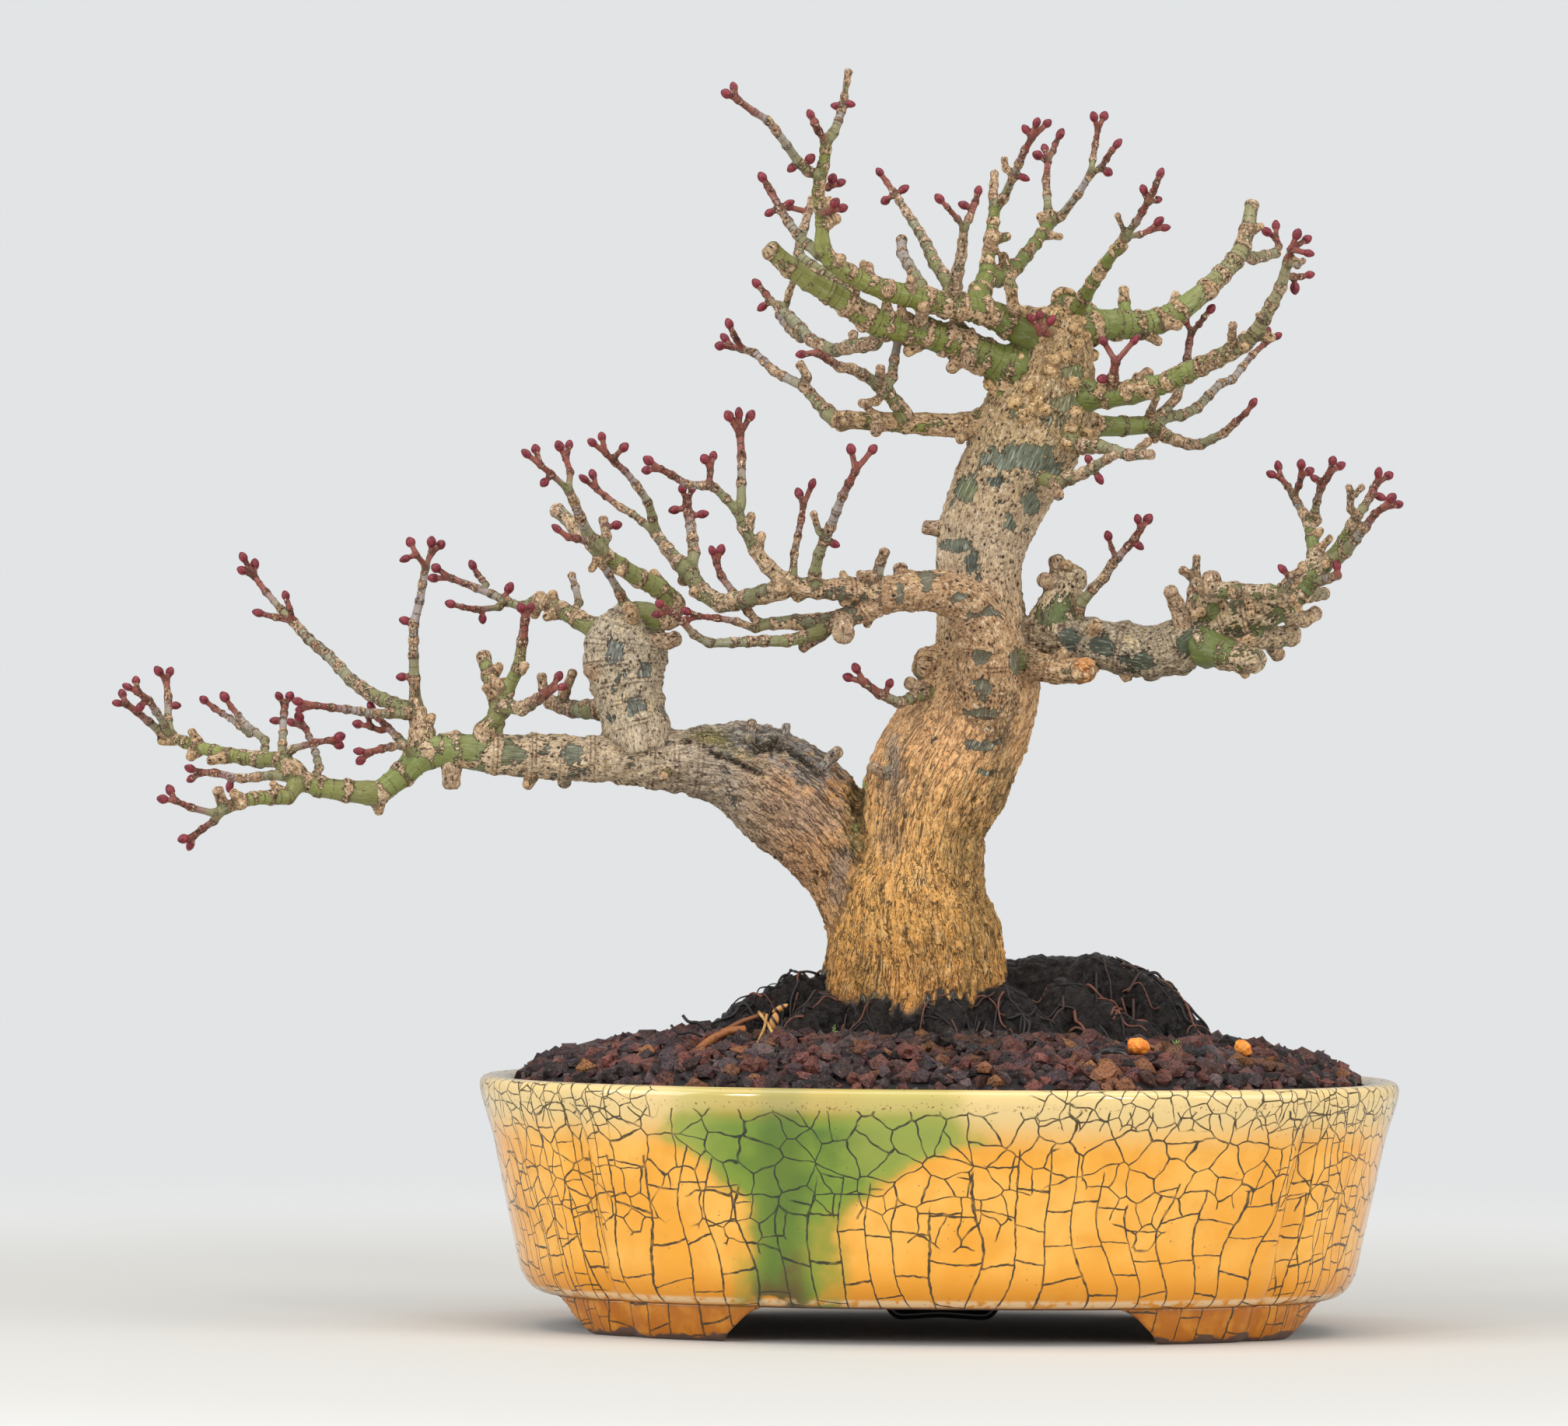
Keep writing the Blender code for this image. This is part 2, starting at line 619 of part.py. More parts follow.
def left_tips(tree):
    """The long left stem's end, where it divides into fine red-budded twigs."""
    grow = tree.limb
    grow("tip", "left", -14, (2.9, 2.5), [(-153, 137), (-160, 138), (-165, 140)])
    grow("tip_low", "tip", -28, (2.1, 1.5), [(-168, 135.3), (-177, 135), (-184, 132.5)])
    grow("tl_a", "tip_low", -38, (1.1, 0.8), [(-187, 131), (-193, 132.5), (-197, 134.2)],
         [(-200.2, 134.6), (-198.3, 136.9)])
    grow("tl_b", "tip_low", -22, (1.1, 0.8), [(-187, 129), (-190, 127), (-192, 125.3)],
         [(-194.8, 124.4), (-193, 122.8)])
    grow("tl_c", "tip_low", -30, (1.2, 1.3), [(-185, 134), (-186, 137)])
    grow("tip_high", "tip", 12, (2.4, 1.4), [(-167, 142.5), (-170, 145), (-176, 145),
         (-183, 146), (-191, 148), (-198, 150.5)])
    grow("th_a", "tip_high", 4, (1.2, 0.9), [(-201, 152), (-207, 157), (-209.8, 159)],
         [(-212.1, 159.2), (-210.8, 161.6)])
    grow("th_b", "tip_high", 24, (1.2, 0.9), [(-199, 155), (-199, 161), (-199.5, 165)],
         [(-201.5, 167.5), (-198.6, 167.4)], [(-197, 158.7)])
    grow("th_c", "tip_high", -4, (1.1, 0.9), [(-200, 154), (-204, 160), (-207, 162.2)],
         [(-209.5, 163.4), (-207.3, 165)], [(-206.2, 158.2)])
    grow("tip_mid", "tip", -4, (1.4, 0.9), [(-172, 141), (-180, 140), (-187, 141.5),
         (-190.5, 141.5)], [(-193.2, 142.5), (-192.9, 139.9)], [(-183, 138)])
    grow("th_d", "tip_high", 30, (1.2, 0.8), [(-174, 150), (-179, 154), (-182.8, 158.5)],
         [(-184.5, 161)])
    grow("th_e", "th_d", 40, (0.9, 0.8), [(-178, 151.5), (-183, 155.5), (-187, 158)],
         [(-189.8, 160.2)])
    grow("th_f", "tip_high", 20, (1.2, 0.9), [(-169.5, 149), (-169.3, 155), (-169, 158.8)],
         [(-170.5, 161.3), (-167.7, 161.3)], [(-171.4, 155)])
    grow("th_g", "tip_high", -16, (1.1, 0.8), [(-167, 147.8), (-161, 149.5), (-157.5, 150)],
         [(-154.8, 151), (-155, 148.9)])
    grow("tip_up", "tip", 22, (1.2, 0.8), [(-160, 143), (-161, 147), (-163.5, 153)],
         [(-165.3, 156), (-167.3, 154.6)])
    grow("rise", "left", -4, (3, 2.2), [(-134, 153), (-135, 158)])
    grow("sweep", "rise", 30, (2, 1.2), [(-141, 159.5), (-147, 162), (-152, 165.5),
         (-158, 172), (-163, 176), (-167, 180.5)], [], [(-176, 182.7)])
    grow("sw_a", "sweep", 38, (1.1, 0.8), [(-170, 183.5), (-174, 188), (-177, 192)],
         [(-180.3, 193.6), (-177, 195.2), (-180, 197)])
    grow("sw_b", "sweep", 26, (0.9, 0.8), [(-168, 184)], [(-169, 187.2)])
    grow("ri_a", "rise", -24, (1.4, 0.9), [(-138, 157), (-146, 157), (-153, 158),
         (-161, 159)], [(-165.7, 160), (-165, 158)])
    grow("ri_b", "left", 8, (1.2, 0.9), [(-140, 151), (-145, 156)], [(-146.8, 158.8)])
    grow("ri_c", "ri_b", 2, (0.9, 0.8), [(-144, 152.5), (-147, 153.7)],
         [(-147.6, 156.8), (-150.2, 154.3)])
    grow("ri_d", "left", -26, (1.2, 0.9), [(-139, 149), (-144, 148), (-147, 147)],
         [(-149.8, 147.3), (-149.4, 144.9)])
    grow("pole", "rise", -8, (1.5, 1.0), [(-135.5, 161), (-136, 172), (-136, 180),
         (-134.5, 186), (-133, 195)], [], [(-139, 166.5), (-138.3, 181)])
    grow("po_a", "pole", -14, (0.9, 0.8), [(-135.5, 198)], [(-138.3, 196.9), (-137, 201.2)])
    grow("po_b", "pole", -2, (0.9, 0.8), [(-131.7, 198.3)], [(-131.6, 201.3), (-129.2, 200.6)])
    grow("le_a", "left", -14, (2.6, 1.1), [(-117.5, 153), (-113, 158), (-112, 163),
         (-109, 169), (-108, 176), (-107.3, 182)], [(-108.4, 184.5), (-106, 184.5)])
    grow("le_b", "left", 18, (2.6, 1.8), [(-115, 155), (-114, 160), (-116.5, 167), (-118, 172)])
    grow("le_c", "le_a", -30, (2.2, 1.1), [(-108, 158.5), (-104, 161), (-100.5, 163.7)],
         [(-97.6, 164.3), (-98.6, 167)])
    grow("le_d", "left", -8, (2.3, 2.0), [(-126, 142), (-126, 139)])
    grow("le_e", "left", 16, (2, 1.6), [(-96, 141.8), (-97, 139.8)])


def sub_branches(tree):
    """Branches of the sub-trunk."""
    grow = tree.limb
    grow("su_a", "sub", 16, (3, 1.8), [(-88, 158.5), (-95, 158.5), (-101, 160.5)])
    grow("su_b", "su_a", 20, (1.2, 1.2), [(-102.5, 163.5), (-103, 167)])
    grow("su_c", "su_a", 8, (1.4, 1.1), [(-97, 163), (-95, 168)])
    grow("b1", "sub", 20, (2.7, 2), [(-90, 179.5), (-98, 184), (-104, 186.8)])
    grow("b1_a", "b1", 30, (1.3, 0.9), [(-108, 184.8), (-112, 186), (-116, 188),
         (-120, 189.5), (-126.5, 192)], [(-130.4, 194.6), (-131, 192)], [(-111.5, 189.6)])
    grow("b1_b", "b1_a", 38, (0.9, 0.8), [(-117.5, 190.5), (-119.6, 192.8)], [(-121, 195.4)])
    grow("b1_c", "b1_a", 14, (0.9, 0.8), [(-114, 184.6), (-120, 184), (-123.6, 184.6)],
         [(-126.6, 185.4)], [(-118.3, 181.6)])
    grow("b1_d", "b1", 30, (1.2, 0.9), [(-93.5, 186), (-94.5, 190), (-95.5, 193)])
    grow("b2", "sub", -10, (1.4, 0.9), [(-81, 184), (-83, 188.5), (-86, 193.5), (-88.5, 196.5)])
    grow("b3", "sub", -24, (3.2, 2), [(-70, 182), (-69, 186), (-73, 190), (-78, 192.3),
         (-83, 195.5), (-88, 199)])
    grow("b3_a", "b3", -36, (1.7, 1.1), [(-91, 203), (-93.5, 208), (-95, 212), (-96.5, 215)])
    grow("b3_b", "b3_a", -46, (1.0, 0.8), [(-101, 219), (-103.8, 221.3)],
         [(-107.4, 224.2), (-105, 225.4)], [(-102.7, 216.8)])
    grow("b3_c", "b3_a", -28, (1.0, 0.8), [(-96, 219.5), (-97.2, 223)],
         [(-98.9, 226.2), (-96.4, 226.5)])
    grow("b3_d", "b3", -12, (2, 1.8), [(-90, 201.5), (-95, 205.8), (-99.5, 209.8)])
    grow("b3_e", "b3", -42, (1.0, 0.9), [(-92, 202), (-96.5, 202.8)], [(-99.4, 205)])
    grow("b3_f", "b3", -16, (1.3, 1.1), [(-86.5, 203), (-87.5, 207.5)], [], [(-84, 206)])


def front_branch(tree):
    """The ringed branch that leaves the trunk's front and arches to the left."""
    grow = tree.limb
    tree.stem(
        "arch",
        [
            (9, 148, 6, 0), (10.5, 156, 7.2, -7), (11.3, 166, 7.6, -12), (12, 177, 7.4, -15),
            (8, 186, 6.4, -18), (0.5, 190, 5.2, -21), (-9, 189.8, 4.6, -24),
            (-15, 188.6, 4.4, -26),
        ],
    )
    grow("up", "arch", -40, (3, 1.3), [(-20, 190), (-28, 189.8), (-36, 190.2), (-41, 192),
         (-45, 195.5), (-48.5, 200), (-51, 205.5), (-53, 210)])
    grow("up_l", "up", -54, (1.2, 0.9), [(-56, 213), (-59, 216), (-62, 216.3), (-66, 216.5),
         (-70, 219), (-73, 220.6)], [(-76, 222.7), (-76.4, 220.2)])
    grow("up_m", "up_l", -46, (0.9, 0.8), [(-60, 220.5)], [(-61.5, 223.2), (-59.3, 224)])
    grow("up_r", "up", -34, (1.3, 1.0), [(-52, 212), (-52, 217), (-52, 224), (-52.5, 229.5)],
         [(-55.4, 234.3), (-49.8, 234.4), (-52.8, 235)])
    grow("back", "up", -8, (2.4, 2.2), [(-42, 189.6), (-50, 187.5), (-57, 185.8),
         (-62, 189), (-65, 193.5)])
    grow("b4", "back", 4, (2.1, 1.4), [(-68, 196.5), (-71, 200), (-74, 204)])
    grow("b4_a", "b4", 16, (1.1, 0.8), [(-80, 209), (-83, 210.5), (-87, 213.5), (-89, 215)],
         [(-92.5, 217.8), (-90.3, 219)])
    grow("b4_b", "b4", -8, (1.3, 0.8), [(-74.8, 208), (-76, 212), (-79, 216.3), (-82, 220),
         (-84.5, 222), (-87, 224.5)], [(-90.5, 227.2), (-88, 228.7)], [(-82.3, 226)])
    grow("b5", "back", 10, (1.7, 1.1), [(-64, 199), (-65, 206), (-66, 212)],
         [(-67.2, 215.4), (-64.6, 215.6)], [(-69.2, 210), (-61.9, 209)])
    grow("low", "arch", -24, (3.2, 1.6), [(-20, 184.8), (-26, 182), (-32, 181.3),
         (-38, 181.5), (-44, 181)])
    grow("lo_a", "low", -14, (1.2, 0.9), [(-47.5, 181), (-50, 184), (-54, 189), (-57, 193),
         (-58.3, 196.5)], [(-59.4, 199.6), (-57.2, 199.8)])
    grow("lo_b", "low", -32, (1.1, 0.8), [(-48, 179.5), (-53, 181.5), (-58, 182.3),
         (-62.8, 182.7)], [(-66, 184), (-66, 181.6)])
    grow("lo_c", "low", -58, (1.8, 0.9), [(-30, 179.5), (-36, 177.5), (-40, 176.5),
         (-46, 176.5), (-54, 176), (-60, 175.8), (-64, 178), (-67, 181.5), (-70, 184)],
         [(-72.8, 185.8), (-73.4, 183.2)])
    grow("lo_d", "low", -36, (2.7, 2.5), [(-25.5, 178.7)])
    grow("lo_e", "low", -30, (1.4, 1.2), [(-31, 178), (-36, 174.8)])
    grow("ar_a", "up", -26, (1.1, 0.8), [(-38.5, 194), (-38.3, 199), (-36.5, 208),
         (-36, 211.5)], [(-33.8, 217), (-37.2, 214.5)])
    grow("ar_b", "up", -54, (1.6, 1.0), [(-33, 194), (-32, 199), (-29, 206), (-26, 214),
         (-22.7, 220.5)], [(-23.9, 226), (-18.3, 226)], [(-28, 201.6)])
    grow("ar_c", "ar_b", -44, (0.9, 0.8), [(-32, 204.5), (-33.5, 209.5)])
    grow("ar_d", "arch", -32, (1.6, 1.2), [(-17, 193), (-16, 197), (-15, 199.8)])
    grow("ar_e", "ar_d", -34, (1.2, 1), [(-19, 193.6), (-21.4, 193.8)])
    grow("ar_f", "arch", -22, (1.7, 1.5), [(-10.5, 192), (-11, 195.7)])


def trunk_spurs(tree):
    """Short growth and cut stubs on the main trunk."""
    grow = tree.limb
    grow("tr_a", "trunk", -26, (2, 1.1), [(5, 164), (-5, 163.3), (-11, 160.8), (-16, 163),
         (-20, 166)], [(-22.2, 169.7), (-24.2, 167.3)], [(-13.5, 165.8)])
    grow("tr_b", "trunk", -2, (5.4, 3.6), [(0, 170.5), (-4.8, 171)])
    grow("tr_c", "trunk", -16, (3.8, 3.1), [(22, 171), (29, 169.6), (35.5, 169.3)])
    grow("tr_d", "trunk", 4, (2.6, 1.6), [(-4.5, 206)])
    grow("tr_e", "trunk", -14, (3, 2.5), [(16.5, 172)])


def right_branch(tree):
    """The heavy right branch with its knobs and turned-up tips."""
    grow = tree.limb
    tree.stem(
        "right",
        [
            (14, 177, 5.6, 4), (24, 178, 5.4, 2), (31, 177.6, 5.8, 0), (38, 177, 6, 0),
            (46, 175.6, 6.2, -2), (54, 173.8, 6.5, -3), (60, 175.5, 6.4, -4),
            (66, 179, 6, -5), (72, 182, 5, -6), (78, 184, 4.3, -7), (84, 184.5, 4, -8),
            (88, 187, 3.6, -9), (92, 190, 3, -10), (95, 193.5, 2.4, -10),
        ],
    )
    grow("stub", "right", 6, (5.2, 4.4), [(29, 184), (31, 190), (32.5, 194)])
    grow("st_a", "stub", 4, (2.1, 1.6), [(30, 195.5), (29, 198)])
    grow("st_b", "stub", 0, (2.1, 1.7), [(28, 192), (25.8, 192.8)])
    grow("ri_t", "right", -10, (1.7, 0.9), [(35, 186), (38.5, 190.5), (41.5, 193.5),
         (43.5, 197), (45, 198.8), (47.5, 201.5), (49.5, 204), (50.8, 206)],
         [(50, 208.6), (52.6, 208.6)], [(50.3, 201.8)])
    grow("ri_u", "ri_t", -2, (0.8, 0.7), [(44.3, 199), (43.2, 201.3)], [(42.4, 204.2)])
    grow("ri_e", "right", -18, (4.6, 3), [(68, 176), (73, 174), (77, 173), (80.5, 172.3)])
    grow("ri_f", "right", 4, (3.2, 2.6), [(80, 178.3), (85, 178.5), (90, 179)])
    grow("ri_g", "ri_f", 4, (1.8, 1.6), [(85, 175.5), (86.5, 173.8)])
    grow("ri_h", "right", -14, (2.6, 1.7), [(62, 182), (60, 187), (58.5, 190.2)])
    grow("ri_i", "right", 4, (2.2, 0.9), [(64, 184), (64.3, 190), (65, 194), (65.2, 199)])
    grow("ri_j", "ri_i", 4, (1.2, 1), [(64, 194), (61.5, 195.6)])
    grow("ri_k", "right", -26, (2.8, 1.7), [(68, 186), (68.8, 190), (75, 190.5),
         (79, 189.8), (84, 190.3), (89, 189.5)])
    grow("ri_l", "ri_k", -14, (2.4, 1.8), [(69, 191), (69, 194)])
    grow("ri_m", "ri_k", -32, (1.3, 1.1), [(88, 192), (90.5, 194.5), (93, 196.5)],
         [], [(87.3, 196)])
    grow("ri_n", "right", 2, (2.4, 1.7), [(90, 183.5), (93, 183), (96, 184.8)])
    grow("ri_o", "right", 10, (2.1, 1.5), [(94, 189.5), (98, 189.8)])
    grow("ri_p", "right", -20, (1.5, 1.1), [(97, 193), (101.5, 194.6)], [], [(101.3, 197)])
    grow("e1", "right", 6, (2.1, 1.5), [(95, 197), (95.5, 200), (94.8, 204), (94, 208)])
    grow("e1_a", "e1", 14, (1.3, 1.0), [(92.5, 210.5), (91, 213), (90, 215)])
    grow("e1_b", "e1_a", 22, (1.0, 0.8), [(88.5, 217.3), (86.7, 219.4)],
         [(84.2, 220.4), (86, 222.5)])
    grow("e1_c", "e1_a", 6, (1.0, 0.8), [(91.3, 217.5), (91.9, 220)],
         [(91.9, 223), (94, 221.2)])
    grow("e1_d", "e1", -2, (1.1, 0.9), [(95.5, 210.5), (96, 213.5), (97, 217), (98.5, 219.5),
         (99.2, 221)], [(100, 224), (102, 222.7)], [(95.4, 219.4)])
    grow("e2", "right", -24, (2.2, 1.3), [(97, 195.5), (100, 199), (103, 203.5),
         (105, 207.5), (106.5, 210)])
    grow("e2_a", "e2", -14, (1.2, 0.9), [(108, 212), (109.5, 214.5), (110.5, 217),
         (111.4, 218.3)], [(111.8, 221), (114.4, 220.3)], [(112.3, 214.8)])
    grow("e2_b", "e2", -34, (1.0, 0.8), [(104.6, 211.5), (104.7, 214.5), (104.2, 217.3)])
    grow("e2_c", "e2_b", -38, (0.8, 0.8), [(105.8, 215.4), (107.5, 217.2)])
    grow("e3", "e2", -36, (1.7, 0.9), [(101, 198.8), (103.5, 200.5), (106, 203.8),
         (108.5, 207), (111, 210.5), (113, 212)], [(115.2, 214.5), (117, 212.9)])


def crown_left(tree):
    """The crown's left side: two long green branches over a corky one."""
    grow = tree.limb
    grow("c1", "trunk", -34, (4.3, 2.1), [(22, 256), (16, 259), (10, 261.8), (4, 263),
         (0, 263.4), (-5, 264.8), (-10, 265.7), (-15, 266.9), (-20, 268.8), (-25, 271.2),
         (-29.5, 274), (-31.5, 277.3)])
    grow("c1_s", "c1", -42, (1.7, 1.4), [(-31.8, 280), (-31.8, 284), (-32.3, 288),
         (-33, 292), (-32.5, 295), (-31.5, 299), (-31, 303), (-31, 305.3)])
    grow("c1_a", "c1_s", -38, (1.3, 0.9), [(-29, 307.3), (-27.8, 310.5), (-27, 313),
         (-26.3, 317)], [], [(-28.3, 314.2), (-25, 314.8)])
    grow("c1_b", "c1_a", -37, (0.6, 0.9), [(-25.7, 320.5), (-25.3, 323.2)])
    grow("c1_c", "c1_s", -50, (1.0, 1.0), [(-33, 307.8), (-34, 310)], [(-35, 312)])
    grow("c1_d", "c1_s", -60, (1.3, 0.9), [(-35.5, 297.3), (-38, 299.7), (-41, 304),
         (-44, 308), (-46, 310.5), (-49.5, 312.5), (-54, 315.8)],
         [(-56.7, 317.2), (-54.8, 318.9)], [(-39.6, 298.3), (-35, 300.6)])
    grow("c1_e", "c1_s", -34, (0.9, 0.8), [(-30.3, 293.2)], [(-29.2, 295.6), (-27.2, 294.5)])
    grow("c1_f", "c1_s", -46, (1.0, 0.8), [(-30.1, 286.9)], [(-28.5, 289.3), (-26.6, 288)])
    grow("c1_g", "c1", -22, (1.5, 0.9), [(-32, 276), (-35.5, 278.5), (-38, 281),
         (-40.5, 284.3), (-42.5, 287.5), (-45, 292), (-46, 293.6)], [(-47.3, 295.8)],
         [(-45.4, 286.6), (-40.4, 289)])
    grow("c1_h", "c1", -26, (1.6, 1.4), [(-20.2, 270), (-20.3, 273.2)])
    grow("c2", "trunk", -26, (5.2, 2.4), [(24, 243.5), (15, 247.8), (10, 250.6), (5, 253),
         (0, 254.6), (-5, 256.2), (-10, 257), (-15, 257.5), (-20, 259.8), (-25, 263.6),
         (-30, 266.4), (-35, 269.3), (-40, 272.6), (-45, 277.2)])
    grow("c2_a", "c2", -6, (1.8, 0.9), [(-25, 266.8), (-28, 268.8), (-31, 271),
         (-34.5, 273.3), (-38, 275.8), (-37.3, 279), (-36.3, 283), (-35.3, 287),
         (-34.4, 290.5)], [], [(-40.6, 288.2)])
    grow("c2_b", "c2", -20, (1.7, 1.5), [(-6, 259), (-6, 261.8)])
    grow("c2_c", "c2", -2, (1.9, 1.6), [(3, 256), (3, 259.3)])
    grow("c2_d", "c2", -16, (1.7, 1.4), [(6.5, 250), (6, 248)])
    grow("c3", "c2", 24, (2, 1.3), [(-18, 253.3), (-21, 252.8), (-25, 252.2), (-28, 251.3),
         (-32, 252.7), (-34.5, 254), (-37, 257), (-40, 260), (-43, 262.8)])
    grow("c3_a", "c3", 34, (1.1, 0.9), [(-45, 264), (-46.1, 265.8)], [(-48.5, 268.4)],
         [(-47, 262.4)])
    grow("c3_b", "c3", 16, (0.9, 0.8), [(-40.8, 263.3), (-40.2, 266), (-39, 269.3),
         (-38, 272)])
    grow("c3_c", "c3", 2, (1.3, 1.1), [(-23.6, 255.6)])
    grow("c3_d", "c3", 34, (1.3, 1.2), [(-37, 254.6), (-40, 257), (-42.5, 260.5)])
    grow("c4", "trunk", -8, (3.5, 2.1), [(14, 232.5), (5, 232.2), (-5, 232.6), (-10, 233),
         (-17, 233.1), (-25, 233.6), (-28.5, 233.8)])
    grow("c4_a", "c4", 14, (1.7, 0.9), [(-30.3, 235.8), (-32.5, 237.8), (-34.5, 240.3),
         (-36, 242), (-41.5, 244.6), (-44, 246), (-46.5, 248.5), (-49, 250.7), (-52, 251.4)])
    grow("c4_b", "c4_a", 18, (0.9, 0.8), [(-54.5, 252)], [(-57.9, 252.3), (-56.6, 254.3)])
    grow("c4_c", "c4_a", 10, (0.9, 0.8), [(-53.5, 253.8), (-54.4, 255.4)], [(-55.5, 258)])
    grow("c4_d", "c4_a", 2, (1.0, 1.1), [(-35.2, 244.5), (-37.3, 247.9)])
    grow("c4_e", "c4", -14, (1.6, 1.3), [(-17.5, 230.6)])
    grow("c4_f", "c4", -28, (2, 1), [(-10.5, 235.5), (-14.5, 240.5), (-17, 242.6),
         (-21, 245.3), (-24, 246.8), (-27, 247), (-30, 249.3), (-33, 250.8)],
         [(-36.9, 250.3)])
    grow("c4_g", "c4_f", -28, (1.3, 1.1), [(-16.6, 244), (-16.5, 246.7)])
    grow("c4_h", "c4_f", -22, (1.2, 1), [(-17.5, 238.3), (-21.3, 237.8)])
    grow("c4_i", "c4_f", -2, (1.5, 0.9), [(-13.5, 244.5), (-13, 249), (-12, 254),
         (-10.5, 260)], [(-11.2, 262.6)])


def crown_top(tree):
    """Upright shoots along the crown's top."""
    grow = tree.limb
    grow("c5", "c1", 2, (3.2, 2.4), [(9, 267), (10.5, 270)])
    grow("c5_a", "c1", 28, (2, 0.8), [(1.5, 267.5), (-0.5, 271), (-2.8, 274), (-5, 279),
         (-6.8, 282), (-10, 287), (-12, 290), (-15.3, 294.8)], [(-17.1, 297.3)],
         [(-15.6, 290), (-10.9, 293)])
    grow("c5_b", "c1", 12, (1.7, 1.3), [(-6.3, 268.5), (-8, 271), (-11.2, 276.5),
         (-11.3, 280)])
    grow("c5_c", "c1", -34, (1.9, 1.1), [(2.5, 268), (3.2, 272), (4.1, 276), (4.7, 283.2)])
    grow("c5_d", "c5_c", -44, (0.9, 0.7), [(3, 285.5), (0.2, 288.6)], [(-1.7, 290.6)])
    grow("c5_e", "c5_c", -28, (1.0, 0.9), [(6, 285.5), (7.6, 289.8)], [(8.3, 292.7)],
         [(4.6, 289)])
    grow("c5_f", "c5", 16, (1.9, 1.5), [(10.8, 274), (11.8, 281), (12.6, 288.5)])
    grow("c5_g", "c5_f", 24, (1.2, 1.0), [(12.1, 291.5), (12.3, 294.3), (12.5, 297.3)])
    grow("c5_h", "c5_f", 2, (1.3, 0.9), [(14.8, 290.8), (17.2, 296.3), (20.2, 303.3),
         (22, 306.5)], [(23.2, 310.4), (25.9, 310.2)], [(20, 296.2), (20.4, 308.6)])
    grow("c5_i", "c5_h", 12, (0.9, 0.8), [(15.3, 298.3), (14.9, 301)])
    grow("c5_j", "c5", 38, (2.2, 1.5), [(13.5, 270.3), (16, 270.8), (18.3, 273.3),
         (23, 279.3), (26.5, 284.3)])
    grow("c5_k", "c5_j", 52, (1.2, 0.9), [(26.3, 288), (25.7, 295.5), (26.2, 300.6)],
         [(23.5, 302), (25.3, 303.8)])
    grow("c5_l", "c5_k", 60, (0.8, 0.8), [(27.4, 303), (28, 304.9)], [(29.3, 307.5)])
    grow("c5_m", "c5_j", 32, (1.2, 1.0), [(29.5, 286.2), (34, 292), (37.3, 297.6)])
    grow("c5_n", "c5_m", 40, (0.9, 0.8), [(37.7, 301), (38.9, 308.7)],
         [(37.9, 312), (40.5, 312.2)])
    grow("c5_o", "c5_m", 20, (0.9, 0.8), [(39.7, 298.8), (42.6, 303.4)], [(44, 305.1)],
         [(41.6, 297.8)])
    grow("c6", "trunk", -34, (2.1, 1.4), [(34, 262.5), (38, 269.5), (41, 274), (46.3, 281.3)])
    grow("c6_a", "c6", -40, (0.8, 0.7), [(44.1, 286.7)])
    grow("c6_b", "c6", -48, (1.1, 0.9), [(49, 285), (52, 290.3)], [(50.8, 293.4), (54.4, 290.8)])
    grow("c6_c", "c6_b", -54, (0.9, 0.8), [(53.3, 292.8), (54.1, 295)], [(55.1, 297.5)])
    grow("c6_d", "c6", -24, (0.9, 0.8), [(50, 281.7), (52.6, 283)], [(54.8, 285.2), (56.4, 283.6)])
    grow("head", "trunk", 8, (2.6, 1.6), [(31, 264), (30, 266.5)])
    grow("he_a", "trunk", -14, (2.2, 1.4), [(17.5, 262), (17, 267.3)])
    grow("he_b", "trunk", -16, (1.3, 1), [(24.5, 256.5)], [(22.3, 260), (24.4, 260.8), (27.3, 259.6)])
    grow("he_c", "trunk", -6, (3.4, 2.4), [(18, 241), (14.8, 241.5)])


